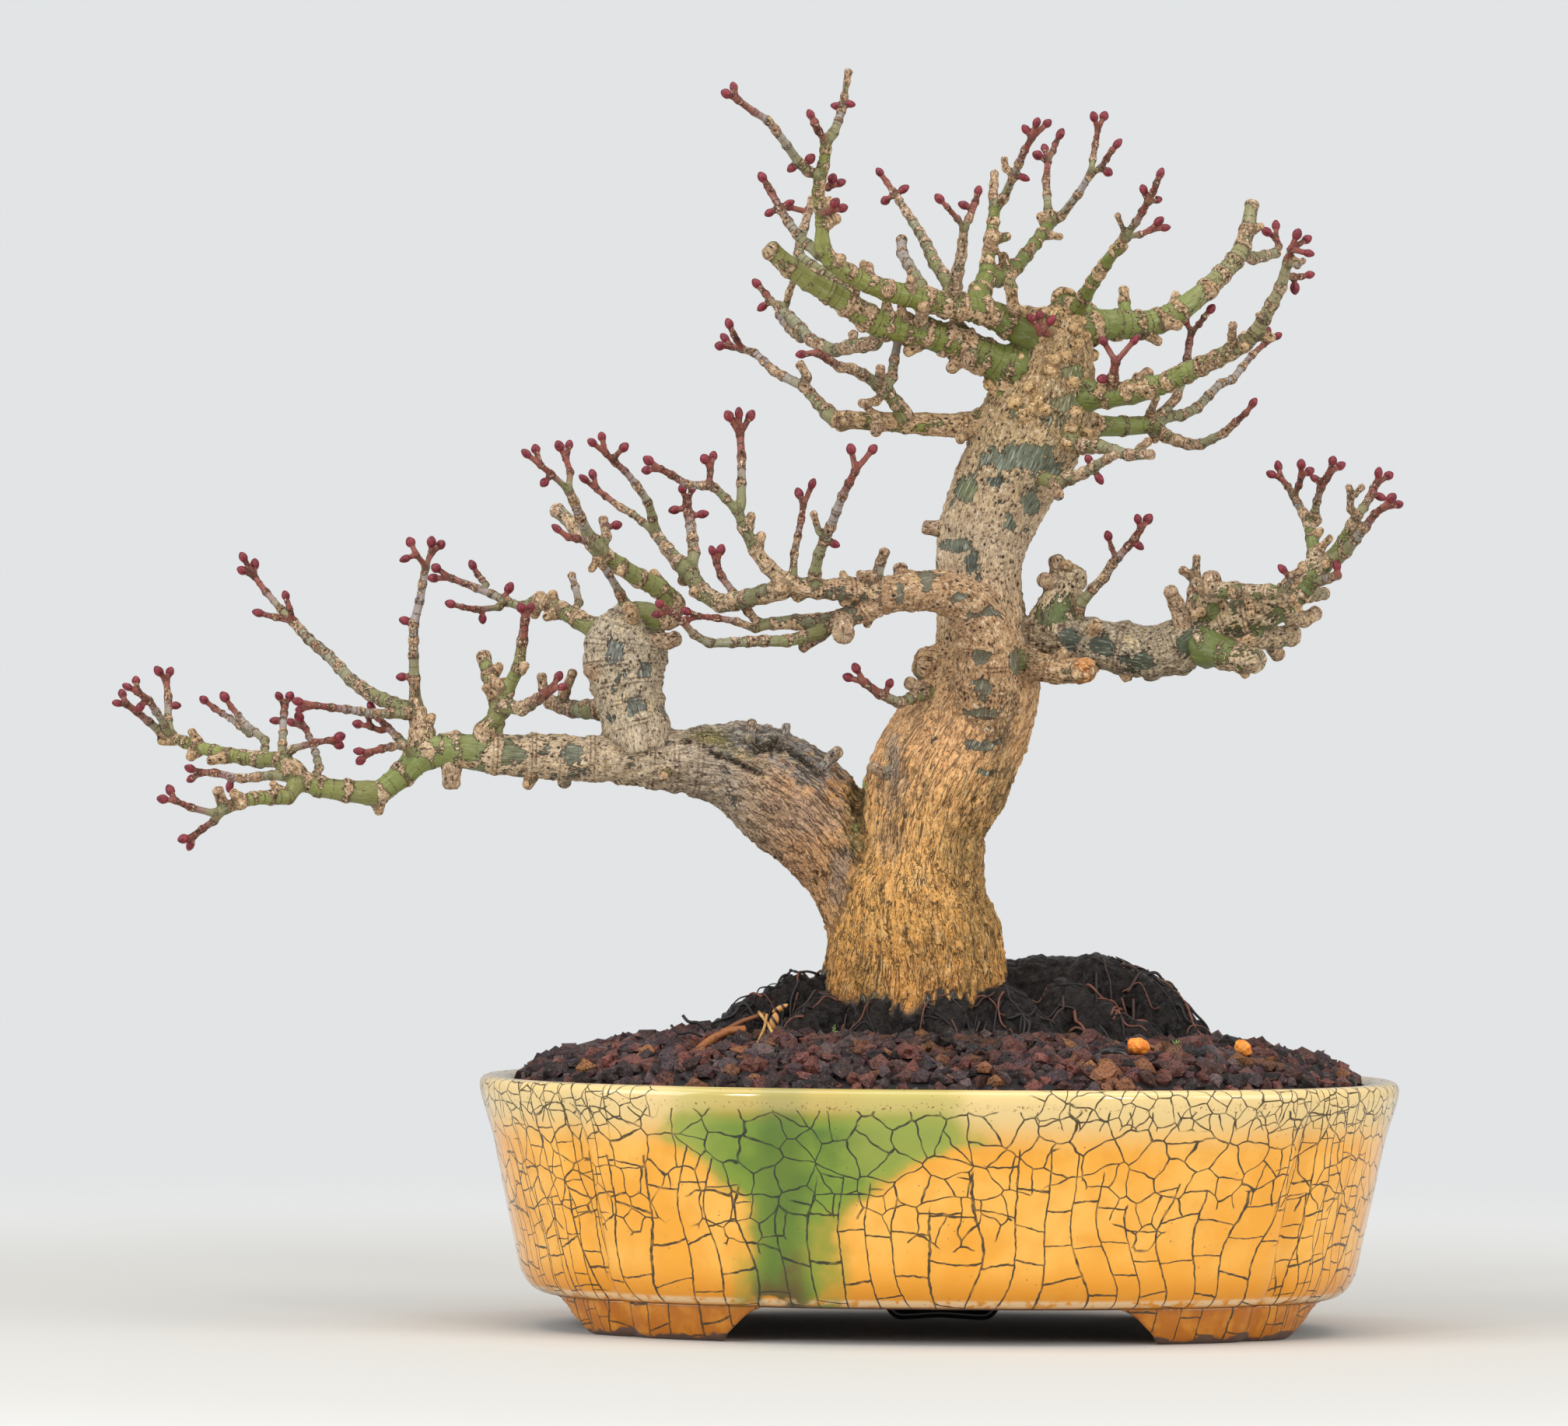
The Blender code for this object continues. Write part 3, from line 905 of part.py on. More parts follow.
def crown_right(tree):
    """The crown's right side, from the thick upper branch down to the thin lowest one."""
    grow = tree.limb
    grow("c7", "trunk", 26, (4.3, 1.7), [(32, 258), (38, 258.3), (50, 258.6), (55, 259.6),
         (60, 262), (67.5, 268), (74.5, 275.3), (76.5, 279), (77.5, 283), (78.7, 289.8)])
    grow("c7_a", "c7", 14, (1.9, 1.2), [(46.2, 262), (45.9, 267.6)])
    grow("c7_b", "c7", 38, (1.8, 1.3), [(79, 275.9), (82, 276.5), (85, 277.4)])
    grow("c7_c", "c7_b", 46, (1.0, 0.8), [(85.8, 279), (85, 281)], [(82.5, 282.8), (84.9, 284.4)])
    grow("c8", "trunk", -42, (3.7, 1.3), [(34, 240.5), (42, 240.3), (48, 240.9), (58, 244),
         (62, 246.3), (70, 250), (77, 253.7), (80, 256.7), (82, 260.3), (86.3, 268.5),
         (88.2, 275.5)])
    grow("c8_a", "c8", -48, (1.2, 0.9), [(88.8, 278.3)],
         [(90.4, 282.2), (92.9, 280.9), (93.4, 277.3)])
    grow("c8_b", "c8", -32, (1.0, 0.8), [(89.5, 271.2), (91.4, 271.3)], [(93.7, 271.8)],
         [(89.9, 268.3)])
    grow("c8_c", "c8", -56, (0.8, 0.7), [(90.5, 274), (92, 275.4)])
    grow("c8_d", "c8", -16, (1.5, 1.1), [(43.3, 245), (44, 249)], [(40.8, 254.3), (48.8, 254.6)],
         [(40.6, 244.6)])
    grow("c8_e", "c8", -12, (1.7, 1.3), [(50.5, 244.5), (52.5, 246.4)])
    grow("c8_f", "c8", -36, (1.1, 1), [(73.7, 253.3), (74, 258.7)])
    grow("c8_g", "c8", -44, (0.9, 0.7), [(80.6, 261.3)])
    grow("c9", "trunk", 16, (3.3, 2.3), [(38, 232.5), (46, 232.4), (54, 233)])
    grow("c9_a", "c9", 52, (1.6, 0.8), [(58, 235.3), (61, 235.3), (65, 237.3), (71, 243.7),
         (74, 244.6), (79, 251), (82.3, 254)], [(83, 257), (85.6, 256)])
    grow("c9_b", "c9", -10, (1.8, 0.8), [(57, 229.9), (63, 227.9), (66, 227.9), (72, 230.9),
         (75, 233.8), (77.7, 236.2)], [(79.4, 238.7)])
    grow("c9_c", "c9", 26, (1.3, 0.9), [(56, 235.8), (59.8, 240), (61.8, 246), (62.9, 254),
         (63.4, 256.8)], [(61.7, 259.8)])
    grow("c9_d", "c9_c", 18, (0.8, 0.8), [(65.3, 258.8), (66.6, 260.6)], [(68.4, 262.8)])
    grow("c9_e", "c9", 10, (1.1, 0.9), [(53, 236), (54.6, 240)])
    grow("c10", "trunk", -30, (2.5, 1.2), [(36, 227.2), (40, 227.3), (47.5, 225),
         (53.3, 225.2)])
    grow("c10_a", "c10", -22, (1.1, 1), [(50.5, 226.8), (52.5, 228.6)])
    grow("c11", "trunk", -38, (2.3, 1.1), [(29, 217.5), (36, 220.3), (42, 224), (44, 225.2)],
         [], [(37.2, 223.9), (40, 218.9)])
    grow("c11_a", "c11", -22, (1.6, 1.3), [(29.5, 214.5)])


BARK_LOOK = material("maple_bark", (0.42, 0.25, 0.13), 0.8)
POT_LOOK = material("crackle_glaze", (0.80, 0.42, 0.07), 0.15)
SOIL_LOOK = material("lava_grit", (0.045, 0.022, 0.018), 0.9)
WIRE_LOOK = material("black_wire", (0.01, 0.01, 0.01), 0.35, 1.0)
NETTING_LOOK = material("plastic_netting", (0.015, 0.02, 0.015), 0.5)
PELLET_LOOK = material("fertiliser_pellet", (0.85, 0.30, 0.03), 0.5)

# Fertiliser pellets on the grit: x and y from the pot's middle, and half their length
PELLETS = [(0.0494, -0.0500, 0.0029), (0.0765, -0.0330, 0.0026)]

# The anchor wire runs under the floor, up through two holes and over the roots' right end
WIRE_HOLES = [(POT_X - 0.0140, -0.0350), (POT_X + 0.0155, -0.0350)]
UNDER_Z = 0.0055
ANCHOR_ROUTE = smooth_route(
    [
        (WIRE_HOLES[0][0], -0.0350, 0.0480),
        (WIRE_HOLES[0][0], -0.0350, 0.0240),
        (WIRE_HOLES[0][0], -0.0350, 0.0100),
        (WIRE_HOLES[0][0] + 0.0030, -0.0350, UNDER_Z),
        (POT_X, -0.0350, UNDER_Z + 0.0008),
        (WIRE_HOLES[1][0] - 0.0030, -0.0350, UNDER_Z),
        (WIRE_HOLES[1][0], -0.0350, 0.0100),
        (WIRE_HOLES[1][0], -0.0350, 0.0240),
        (WIRE_HOLES[1][0] + 0.0060, -0.0420, 0.0450),
        (WIRE_HOLES[1][0] + 0.0180, -0.0505, 0.0640),
        (POT_X + 0.0390, -0.0535, 0.0722),
        (POT_X + 0.0450, -0.0525, 0.0722),
        (POT_X + 0.0495, -0.0480, 0.0650),
    ],
    2,
)

# The clip that holds the netting: over it, down through the drain hole and out under the floor
CLIP_ROUTE = smooth_route(
    [
        (POT_X - 0.0170, 0, 0.0071),
        (POT_X - 0.0118, 0, 0.0070),
        (POT_X - 0.0084, 0, 0.0092),
        (POT_X - 0.0082, 0, 0.0146),
        (POT_X - 0.0062, 0, 0.0166),
        (POT_X + 0.0062, 0, 0.0166),
        (POT_X + 0.0082, 0, 0.0146),
        (POT_X + 0.0084, 0, 0.0092),
        (POT_X + 0.0118, 0, 0.0070),
        (POT_X + 0.0170, 0, 0.0071),
    ],
    2,
)

pot()
grit_bed = soil()
drain_mesh()
wire("mesh_clip", CLIP_ROUTE, CLIP_WIRE_RADIUS, WIRE_LOOK)
wire("anchor_wire", ANCHOR_ROUTE, ANCHOR_WIRE_RADIUS, WIRE_LOOK)
for number, (pellet_x, pellet_y, pellet_half) in enumerate(PELLETS, 1):
    pellet(f"fertiliser_pellet_{number}", pellet_x, pellet_y, pellet_half, grit_bed)

maple = Tree()
trunks(maple)
maple.root_base()
left_tips(maple)
sub_branches(maple)
front_branch(maple)
trunk_spurs(maple)
right_branch(maple)
crown_left(maple)
crown_top(maple)
crown_right(maple)
maple.join()
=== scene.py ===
import math
import random

import bmesh
import bpy
import numpy as np
from mathutils import Matrix, Vector, kdtree, noise
from mathutils.bvhtree import BVHTree


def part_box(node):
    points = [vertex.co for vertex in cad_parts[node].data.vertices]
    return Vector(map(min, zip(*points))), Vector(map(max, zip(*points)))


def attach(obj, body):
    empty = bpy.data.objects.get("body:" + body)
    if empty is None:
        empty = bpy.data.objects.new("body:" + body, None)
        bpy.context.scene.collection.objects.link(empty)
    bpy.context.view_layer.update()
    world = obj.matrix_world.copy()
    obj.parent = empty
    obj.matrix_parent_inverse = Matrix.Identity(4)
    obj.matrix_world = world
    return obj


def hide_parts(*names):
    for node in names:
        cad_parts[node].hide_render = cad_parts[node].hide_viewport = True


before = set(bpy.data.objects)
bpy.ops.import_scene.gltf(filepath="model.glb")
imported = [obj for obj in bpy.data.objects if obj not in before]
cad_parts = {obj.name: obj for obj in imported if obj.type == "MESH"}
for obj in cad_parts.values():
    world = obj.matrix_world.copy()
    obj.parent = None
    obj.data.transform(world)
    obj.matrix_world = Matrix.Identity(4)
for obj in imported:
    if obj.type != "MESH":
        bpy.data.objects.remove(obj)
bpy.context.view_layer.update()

# Viewpoint. The photographer's long lens stands level with the middle of the tree. The tree's
# routes below are what it sees, in millimetres from the pot's middle, so the camera comes first.
MM = 0.001
pot_low, pot_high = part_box("pot")
POT_X = (pot_low.x + pot_high.x) / 2 / MM
EYE_X, EYE_HEIGHT, EYE_DISTANCE = -40.6, 158.0, 2500.0
camera = bpy.data.objects.new("camera", bpy.data.cameras.new("camera"))
bpy.context.scene.collection.objects.link(camera)
camera.data.lens = 223.2
camera.data.clip_end = 30
camera.location = Vector((POT_X + EYE_X, -EYE_DISTANCE, EYE_HEIGHT)) * MM
camera.rotation_euler = (math.pi / 2, math.radians(-0.45), 0)
bpy.context.scene.camera = camera
bpy.context.scene.view_settings.view_transform = "Standard"


# Pot. Oval stoneware with four fluted corners, thrown thick, dipped in an amber glaze and fired so
# that the glaze crazed; dark stain was rubbed into the cracks. A copper green ran down the front.
def colour(hexed):
    """An sRGB hex colour as linear values."""
    parts = [int(hexed[i : i + 2], 16) / 255 for i in (1, 3, 5)]
    return (*[v / 12.92 if v <= 0.04045 else ((v + 0.055) / 1.055) ** 2.4 for v in parts], 1.0)


MODES = {"Math": "operation", "VectorMath": "operation", "MapRange": "interpolation_type",
         "Mix": "data_type", "TexVoronoi": "feature"}
USUAL_MODES = {"MapRange": "SMOOTHSTEP", "Mix": "RGBA"}


def add(kind, *inputs, out=None, **settings):
    """Adds a node to the tree in hand, shade, and returns its first output or the one named.

    A kind may end in its mode, as in Math.MULTIPLY. Inputs are values or sockets, in the order
    that the node shows them or by a name with a capital; other settings are the node's own.
    """
    kind, _, mode = kind.partition(".")
    made = shade.nodes.new("ShaderNode" + kind)
    if kind in MODES:
        settings[MODES[kind]] = mode or USUAL_MODES[kind]
    for name, value in settings.items():
        if name[0].islower():
            setattr(made, name, value)
    given = list(zip([socket for socket in made.inputs if socket.enabled], inputs))
    by_name = [name for name in settings if name[0].isupper()]
    given += [(made.inputs[name.replace("_", " ")], settings[name]) for name in by_name]
    for socket, value in given:
        if isinstance(value, bpy.types.NodeSocket):
            shade.links.new(value, socket)
        else:
            socket.default_value = value
    return made.outputs[out] if out else next(socket for socket in made.outputs if socket.enabled)


def new_look(name, **values):
    """A material with the Principled shader's fixed values set; returns it, its tree and shader."""
    look = bpy.data.materials.new(name)
    look.use_nodes = True
    shader = look.node_tree.nodes["Principled BSDF"]
    for socket, value in values.items():
        shader.inputs[socket.replace("_", " ")].default_value = value
    return look, look.node_tree, shader


def in_millimetres():
    """The place on the object, in millimetres, for a pattern's real sizes."""
    return add("VectorMath.MULTIPLY", add("TexCoord", out="Object"), (1000, 1000, 1000))


def piece(name, mesh, look, slot, *nodes):
    """Links a finished mesh, in millimetres, as a piece that stands for CAD nodes."""
    mesh.transform(Matrix.Scale(MM, 4))
    mesh.materials.clear()
    mesh.materials.append(look)
    mesh.shade_smooth()
    made = bpy.data.objects.new(name, mesh)
    bpy.context.scene.collection.objects.link(made)
    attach(made, "root")
    if nodes:
        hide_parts(*nodes)
    return made


def to_mesh(name, bm):
    mesh = bpy.data.meshes.new(name)
    bm.to_mesh(mesh)
    bm.free()
    return mesh


def baked(mesh, *modifiers):
    """A mesh or curve with modifiers applied, each given as its kind and its settings."""
    body = bpy.data.objects.new(mesh.name, mesh)
    bpy.context.scene.collection.objects.link(body)
    for kind, settings in modifiers:
        step = body.modifiers.new(kind, kind)
        for name, value in settings.items():
            setattr(step, name, value)
    bpy.context.view_layer.update()
    graph = bpy.context.evaluated_depsgraph_get()
    result = bpy.data.meshes.new_from_object(body.evaluated_get(graph))
    bpy.data.objects.remove(body)
    return result


def without(mesh, cutters, *after):
    """The mesh with each cutter taken out of it, then with any further modifiers applied."""
    holes = []
    for cutter in cutters:
        hole = bpy.data.objects.new("hole", cutter)
        bpy.context.scene.collection.objects.link(hole)
        holes.append(hole)
    cuts = [("BOOLEAN", {"operation": "DIFFERENCE", "object": hole, "solver": "EXACT"}) for hole in holes]
    result = baked(mesh, *cuts, *after)
    for hole in holes:
        bpy.data.objects.remove(hole)
    return result


def even_steps(rows, spacing, passes):
    """Rows of numbers at even steps along a route, with their corners rounded."""
    rows = np.array(rows, float)
    gaps = np.linalg.norm(np.diff(rows[:, :3], axis=0), axis=1)
    along = np.concatenate([[0], np.cumsum(gaps)])
    steps = np.linspace(0, along[-1], max(3, int(round(along[-1] / spacing)) + 1))
    made = np.stack([np.interp(steps, along, column) for column in rows.T], axis=1)
    for _ in range(passes):
        made[1:-1] = (made[:-2] + 2 * made[1:-1] + made[2:]) / 4
    return made, steps


POT_HALF = (pot_high.x - pot_low.x) / 2 / MM
LENGTH_LESS_DEPTH = POT_HALF - (pot_high.y - pot_low.y) / 2 / MM
OUTLINE_POWER = 2.3
GROOVE_ANGLE = math.radians(38.8)
GROOVE_DEPTH = 3.4
GROOVE_WIDTH = 3.8
POT_SEGMENTS = 300
GIRTH_STEPS = 720
FOOT_HEIGHT = 8.5
# The two wire holes in the floor, from the pot's middle.
LEFT_HOLE, RIGHT_HOLE, WIRE_Y = -14.0, 15.5, -35.0


def pot_point(angle, half, z, groove):
    """A point of the pot's outline, with the flute pressed in at each corner."""
    c, s = math.cos(angle), math.sin(angle)
    power = 2 / OUTLINE_POWER
    x = half * math.copysign(abs(c) ** power, c)
    y = (half - LENGTH_LESS_DEPTH) * math.copysign(abs(s) ** power, s)
    out = math.hypot(x, y)
    away = abs(math.atan2(abs(s), abs(c)) - GROOVE_ANGLE) * out
    kept = 1 - groove * GROOVE_DEPTH * math.exp(-((away / GROOVE_WIDTH) ** 2)) / out
    return Vector((POT_X + x * kept, y * kept, z))


def angle_of(x, y, half):
    """The outline angle whose point lies in the same direction as x and y."""
    power = OUTLINE_POWER / 2
    across = math.copysign(abs(x / half) ** power, x)
    deep = math.copysign(abs(y / (half - LENGTH_LESS_DEPTH)) ** power, y)
    return math.atan2(deep, across)


SEAM_ANGLE = math.pi - GROOVE_ANGLE
round_pot = [
    pot_point(SEAM_ANGLE + math.tau * i / GIRTH_STEPS, 114, 0, 1) for i in range(GIRTH_STEPS + 1)
]
girth_steps = [0.0]
for here, after in zip(round_pot, round_pot[1:]):
    girth_steps.append(girth_steps[-1] + (after - here).length)


def girth_at(angle):
    """How far round the pot an angle is, in millimetres from the back left flute."""
    turn = ((angle - SEAM_ANGLE) % math.tau) / math.tau * GIRTH_STEPS
    return float(np.interp(turn, range(GIRTH_STEPS + 1), girth_steps))


def unrolled(bm, place_of):
    """Gives each face corner its place on the unrolled glaze, in decimetres."""
    layer = bm.loops.layers.uv.new("glaze")
    for face in bm.faces:
        spots = [place_of(loop.vert) for loop in face.loops]
        far = max(s for s, _ in spots)
        for loop, (s, h) in zip(face.loops, spots):
            if far - s > girth_steps[-1] / 2:
                s += girth_steps[-1]
            loop[layer].uv = (s / 100, h / 100)


def stacked_rings(levels):
    """A skin of pot outlines, one for each (half length, height, flute) level, closed at both ends."""
    bm = bmesh.new()
    bmesh.ops.create_circle(bm, segments=POT_SEGMENTS, radius=1.0)
    top = bm.edges[:]
    for _ in levels[1:]:
        made = bmesh.ops.extrude_edge_only(bm, edges=top)["geom"]
        verts = [part for part in made if isinstance(part, bmesh.types.BMVert)]
        bmesh.ops.translate(bm, verts=verts, vec=(0, 0, 1))
        new = set(verts)
        top = [part for part in made if isinstance(part, bmesh.types.BMEdge)]
        top = [edge for edge in top if edge.verts[0] in new and edge.verts[1] in new]
    bmesh.ops.holes_fill(bm, edges=bm.edges[:], sides=0)
    places = {}
    for vert in bm.verts:
        angle = math.atan2(vert.co.y, vert.co.x)
        places[vert] = (angle, round(vert.co.z))
        vert.co = pot_point(angle, *levels[round(vert.co.z)])
    bmesh.ops.recalc_face_normals(bm, faces=bm.faces[:])
    return bm, places


wall = [
    (99.0, 8.9, 0.6), (102.4, 9.3, 0.7), (104.3, 10.4, 0.9), (106.2, 12.6, 1.0), (107.7, 16, 1.0),
    (109, 23, 1.0), (111.6, 35, 1.0), (114.4, 49, 0.9), (116.2, 55, 0.65), (117.3, 58.5, 0.4),
    (118.1, 61.6, 0.2), (118.2, 63.4, 0.1), (117.5, 64.5, 0.05), (115.4, 64.7, 0.0),
    (112.8, 64.6, 0.0), (111.2, 64.0, 0.0), (110.4, 62.6, 0.0), (109.8, 60.4, 0.0),
]
wall, _ = even_steps(wall, 1.15, 2)
levels = [(50, FOOT_HEIGHT, 0), (75, FOOT_HEIGHT, 0), (92, FOOT_HEIGHT, 0.4), *wall]
levels += [(107.4, 48, 0), (102.4, 22, 0), (96.6, 14.6, 0), (75, 14.2, 0), (50, 14.2, 0)]
climbed = [0.0]
for (h0, z0, _), (h1, z1, _) in zip(levels, levels[1:]):
    climbed.append(climbed[-1] + math.hypot(h1 - h0, z1 - z0))
FOOT_OF_WALL = climbed[3]
RIM_CLIMB = climbed[max(range(len(levels)), key=lambda i: levels[i][1])] - FOOT_OF_WALL
bm, places = stacked_rings(levels)
unrolled(bm, lambda vert: (girth_at(places[vert][0]), climbed[places[vert][1]] - FOOT_OF_WALL))
cutters = []
for x, y, radius in ((0, 0, 12.5), (LEFT_HOLE, WIRE_Y, 2.1), (RIGHT_HOLE, WIRE_Y, 2.1)):
    cutter = bmesh.new()
    bmesh.ops.create_cone(
        cutter, cap_ends=True, segments=40, radius1=radius, radius2=radius, depth=30,
        matrix=Matrix.Translation((POT_X + x, y, 11)),
    )
    cutters.append(to_mesh("hole", cutter))
pot_mesh = without(to_mesh("pot_body", bm), cutters)

# The feet are one low ring of the same clay, cut away between the corners while it was soft, so
# that a bracket is left at each corner. Glaze stops short of their worn undersides.
levels = [(97.2, 0, 0.6), (98.6, 1.2, 0.6), (99.9, 4.6, 0.6), (101.2, 9.2, 0.6), (99, 11.5, 0.6)]
bm, places = stacked_rings(levels)
ring = to_mesh("pot_feet", bm)
bm, _ = stacked_rings([(82.5, -1, 0), (82.5, 12.5, 0)])
cutters = [to_mesh("inside", bm)]
for half_top, half_bottom, turn in ((48.0, 54.5, 0), (27.0, 33.0, math.pi / 2)):
    bm = bmesh.new()
    side = [(half_bottom, -2), (half_bottom - 0.8, 1.8), (half_bottom - 3.6, 4.8)]
    side += [(half_top + 1.0, 6.9), (half_top - 1.5, 8.4), (half_top - 5, 9.6), (half_top - 5, 13)]
    outline = side + [(-x, z) for x, z in reversed(side)]
    face = bm.faces.new([bm.verts.new((x, -200, z)) for x, z in outline])
    away = bmesh.ops.extrude_face_region(bm, geom=[face])["geom"]
    away = [part for part in away if isinstance(part, bmesh.types.BMVert)]
    bmesh.ops.translate(bm, verts=away, vec=(0, 400, 0))
    bmesh.ops.recalc_face_normals(bm, faces=bm.faces[:])
    bmesh.ops.rotate(bm, verts=bm.verts[:], cent=(0, 0, 0), matrix=Matrix.Rotation(turn, 3, "Z"))
    bmesh.ops.translate(bm, verts=bm.verts[:], vec=(POT_X, 0, 0))
    cutters.append(to_mesh("gap", bm))
feet_mesh = without(
    ring, cutters, ("REMESH", {"mode": "VOXEL", "voxel_size": 0.75}),
    ("SMOOTH", {"factor": 0.5, "iterations": 4}),
)
bm = bmesh.new()
bm.from_mesh(feet_mesh)
unrolled(bm, lambda vert: (girth_at(angle_of(vert.co.x - POT_X, vert.co.y, 99.9)), vert.co.z - 12))
layer = bm.verts.layers.float.new("inside")
for vert in bm.verts:
    outer = pot_point(angle_of(vert.co.x - POT_X, vert.co.y, 99.9), 99.9, 0, 0.6)
    vert[layer] = min(1.0, max(0.0, ((outer - vert.co).xy.length - 2.6) / 2.0))
feet_mesh = to_mesh("pot_feet", bm)

# Crazed amber glaze over stoneware: glassy and deep, honey where it is thick, cream where it
# thinned over the lip. Long cracks came first, and short ones cross between them like rungs, all
# rubbed with dark stain. A copper green ran down from the rim at the front.
glaze, shade, shader = new_look("crazed_amber_glaze", IOR=1.5, Coat_Weight=0.3, Coat_Roughness=0.04)
flat = add("VectorMath.MULTIPLY", add("UVMap", uv_map="glaze"), (100, 100, 100))
spot = add("VectorMath.SUBTRACT", in_millimetres(), (POT_X, 0, 0))
across, behind, height = [add("SeparateXYZ", spot, out=axis) for axis in "XYZ"]


def wander(scale, reach, seed):
    """A slow sideways drift of the unrolled glaze, so that straight cracks become long curves."""
    shifted = add("VectorMath.ADD", flat, (seed, seed * 0.7, seed))
    made = add("TexNoise", shifted, scale, 1.0, out="Color")
    made = add("VectorMath.SUBTRACT", made, (0.5, 0.5, 0.5))
    return add("VectorMath.MULTIPLY", made, (reach, reach, 0))


jitter = wander(0.5, 0.8, 3)
rim_zone = add("MapRange", height, 51, 58)
end_zone = add("MapRange", add("Math.ABSOLUTE", across), 78, 90)
end_zone = add("Math.MULTIPLY", end_zone, add("MapRange", add("Math.ABSOLUTE", across), 112, 104))
patch = add("TexNoise", flat, 0.03, 1.0)
border = add("Math.ADD", height, add("MapRange", patch, 0.3, 0.7, -9, 9))
below_rim = add("Math.MULTIPLY", add("MapRange", border, 28, 36), add("MapRange", height, 61, 57.5))
sideways = add("MapRange", add("Math.ABSOLUTE", add("Math.ADD", across, 25)), 34, 60)
rim_sides = add("Math.MULTIPLY", rim_zone, sideways)
crack = None
for spacing, drift, reach, thick, seed, zone in (
    (7.0, 0.05, 9.0, 0.42, 13, below_rim), (4.6, 0.09, 4.0, 0.34, 37, rim_sides),
):
    moved = add("VectorMath.ADD", flat, wander(drift, reach, seed))
    moved = add("VectorMath.ADD", moved, wander(0.22, 2.2, seed + 3))
    edge = add(
        "TexVoronoi.DISTANCE_TO_EDGE", moved, 1 / spacing, Randomness=0.95, voronoi_dimensions="2D",
    )
    line = add("MapRange", edge, thick / spacing * 0.68, thick / spacing * 0.36)
    line = add("Math.MULTIPLY", line, add("MapRange", zone, 0.4, 0.6))
    crack = line if crack is None else add("Math.MAXIMUM", crack, line)
for turn, spacing, rung, drift, reach, thick, seed, zone in (
    (90, 8.6, 11.5, 0.024, 26, 0.62, 5, add("Math.SUBTRACT", 1.0, add("MapRange", border, 38, 44))),
    (86, 5.2, 9.5, 0.035, 12, 0.40, 23, end_zone),
):
    moved = add("VectorMath.ADD", flat, wander(drift, reach, seed))
    moved = add("VectorMath.ADD", moved, jitter)
    turned = add("Mapping", moved, Rotation=(0, 0, math.radians(turn)))
    line = add(
        "TexBrick", turned, Scale=1.0, Mortar_Size=thick / 2, Mortar_Smooth=0.35, Brick_Width=rung,
        Row_Height=spacing, offset=0.42, squash=1.3, squash_frequency=3, out="Fac",
    )
    line = add("Math.MULTIPLY", line, add("MapRange", zone, 0.35, 0.6))
    crack = add("Math.MAXIMUM", crack, line)
strength = add("MapRange", add("TexNoise", flat, 0.35, 3.0), 0.30, 0.55, 0.62, 1.0)

cloud = add("TexNoise", flat, 0.05, 3.0)
honey = add("Mix", add("MapRange", cloud, 0.35, 0.65), colour("#F1A62C"), colour("#F8B950"))
honey = add("Mix", add("MapRange", height, 23, 12), honey, colour("#E39411"))
honey = add("Mix", add("MapRange", height, 9.6, 8.6), honey, colour("#B46800"))
honey = add(
    "Mix", add("MapRange", add("TexNoise", flat, 0.16, 4.0), 0.42, 0.70, 0.0, 0.5), honey,
    colour("#E8A030"),
)
honey = add("Mix", add("MapRange", height, 48, 59), honey, colour("#E9CC8C"))
thin_edge = add("MapRange", add("Math.ABSOLUTE", add("Math.SUBTRACT", height, 10.6)), 1.3, 0.4)
thin_edge = add("Math.MULTIPLY", thin_edge, add("MapRange", add("TexNoise", flat, 0.3), 0.35, 0.5))
honey = add("Mix", add("Math.MULTIPLY", thin_edge, 0.7), honey, colour("#F6DFB4"))
side = add("Math.ABSOLUTE", add("Math.ADD", across, 40.5))
ragged = add("MapRange", add("TexNoise", spot, 0.09, 3.0), 0.25, 0.75, -5, 5)
opening = add("Math.POWER", add("Math.MAXIMUM", add("Math.SUBTRACT", height, 28), 0.01), 2.0)
opening = add("Math.MINIMUM", add("Math.ADD", add("Math.MULTIPLY", opening, 0.040), 11.0), 33.0)
right_half = add("MapRange", across, -46, -20, 0.95, 1.55)
reach = add("Math.ADD", add("Math.MULTIPLY", opening, right_half), add("Math.MULTIPLY", ragged, 0.6))
green = add("MapRange", add("Math.SUBTRACT", reach, side), -4, 12)
green = add("Math.MULTIPLY", green, add("MapRange", behind, 0, -20))
green = add("Math.MULTIPLY", green, add("MapRange", height, 60.5, 53, 0.34, 1.0))
green = add("Math.MULTIPLY", green, add("MapRange", add("Math.ADD", height, ragged), 7, 13))
copper = add("Mix", add("MapRange", green, 0.3, 0.9), colour("#A8962E"), colour("#6C9028"))
deep = add(
    "Math.MULTIPLY", add("MapRange", green, 0.8, 1.0),
    add("MapRange", add("TexNoise", spot, 0.10, 3.0), 0.35, 0.7),
)
copper = add("Mix", add("Math.MULTIPLY", deep, 0.8), copper, colour("#39701E"))
copper = add("Mix", add("MapRange", side, 9, 2, 0.0, 0.7), copper, colour("#3C6A18"))
arms = add("Math.MULTIPLY", add("MapRange", side, 10, 24), add("MapRange", height, 36, 50))
copper = add("Mix", add("Math.MULTIPLY", arms, 0.6), copper, colour("#A3AE4C"))
ending = add(
    "Math.MULTIPLY", add("MapRange", side, 10, 3),
    add("MapRange", add("Math.ADD", height, ragged), 23, 14),
)
copper = add("Mix", add("Math.MULTIPLY", ending, 0.9), copper, colour("#54461E"))
honey = add("Mix", add("Math.MULTIPLY", add("MapRange", green, 0.0, 0.6), 0.95), honey, copper)
specks = add("TexVoronoi.F1", spot, 0.42)
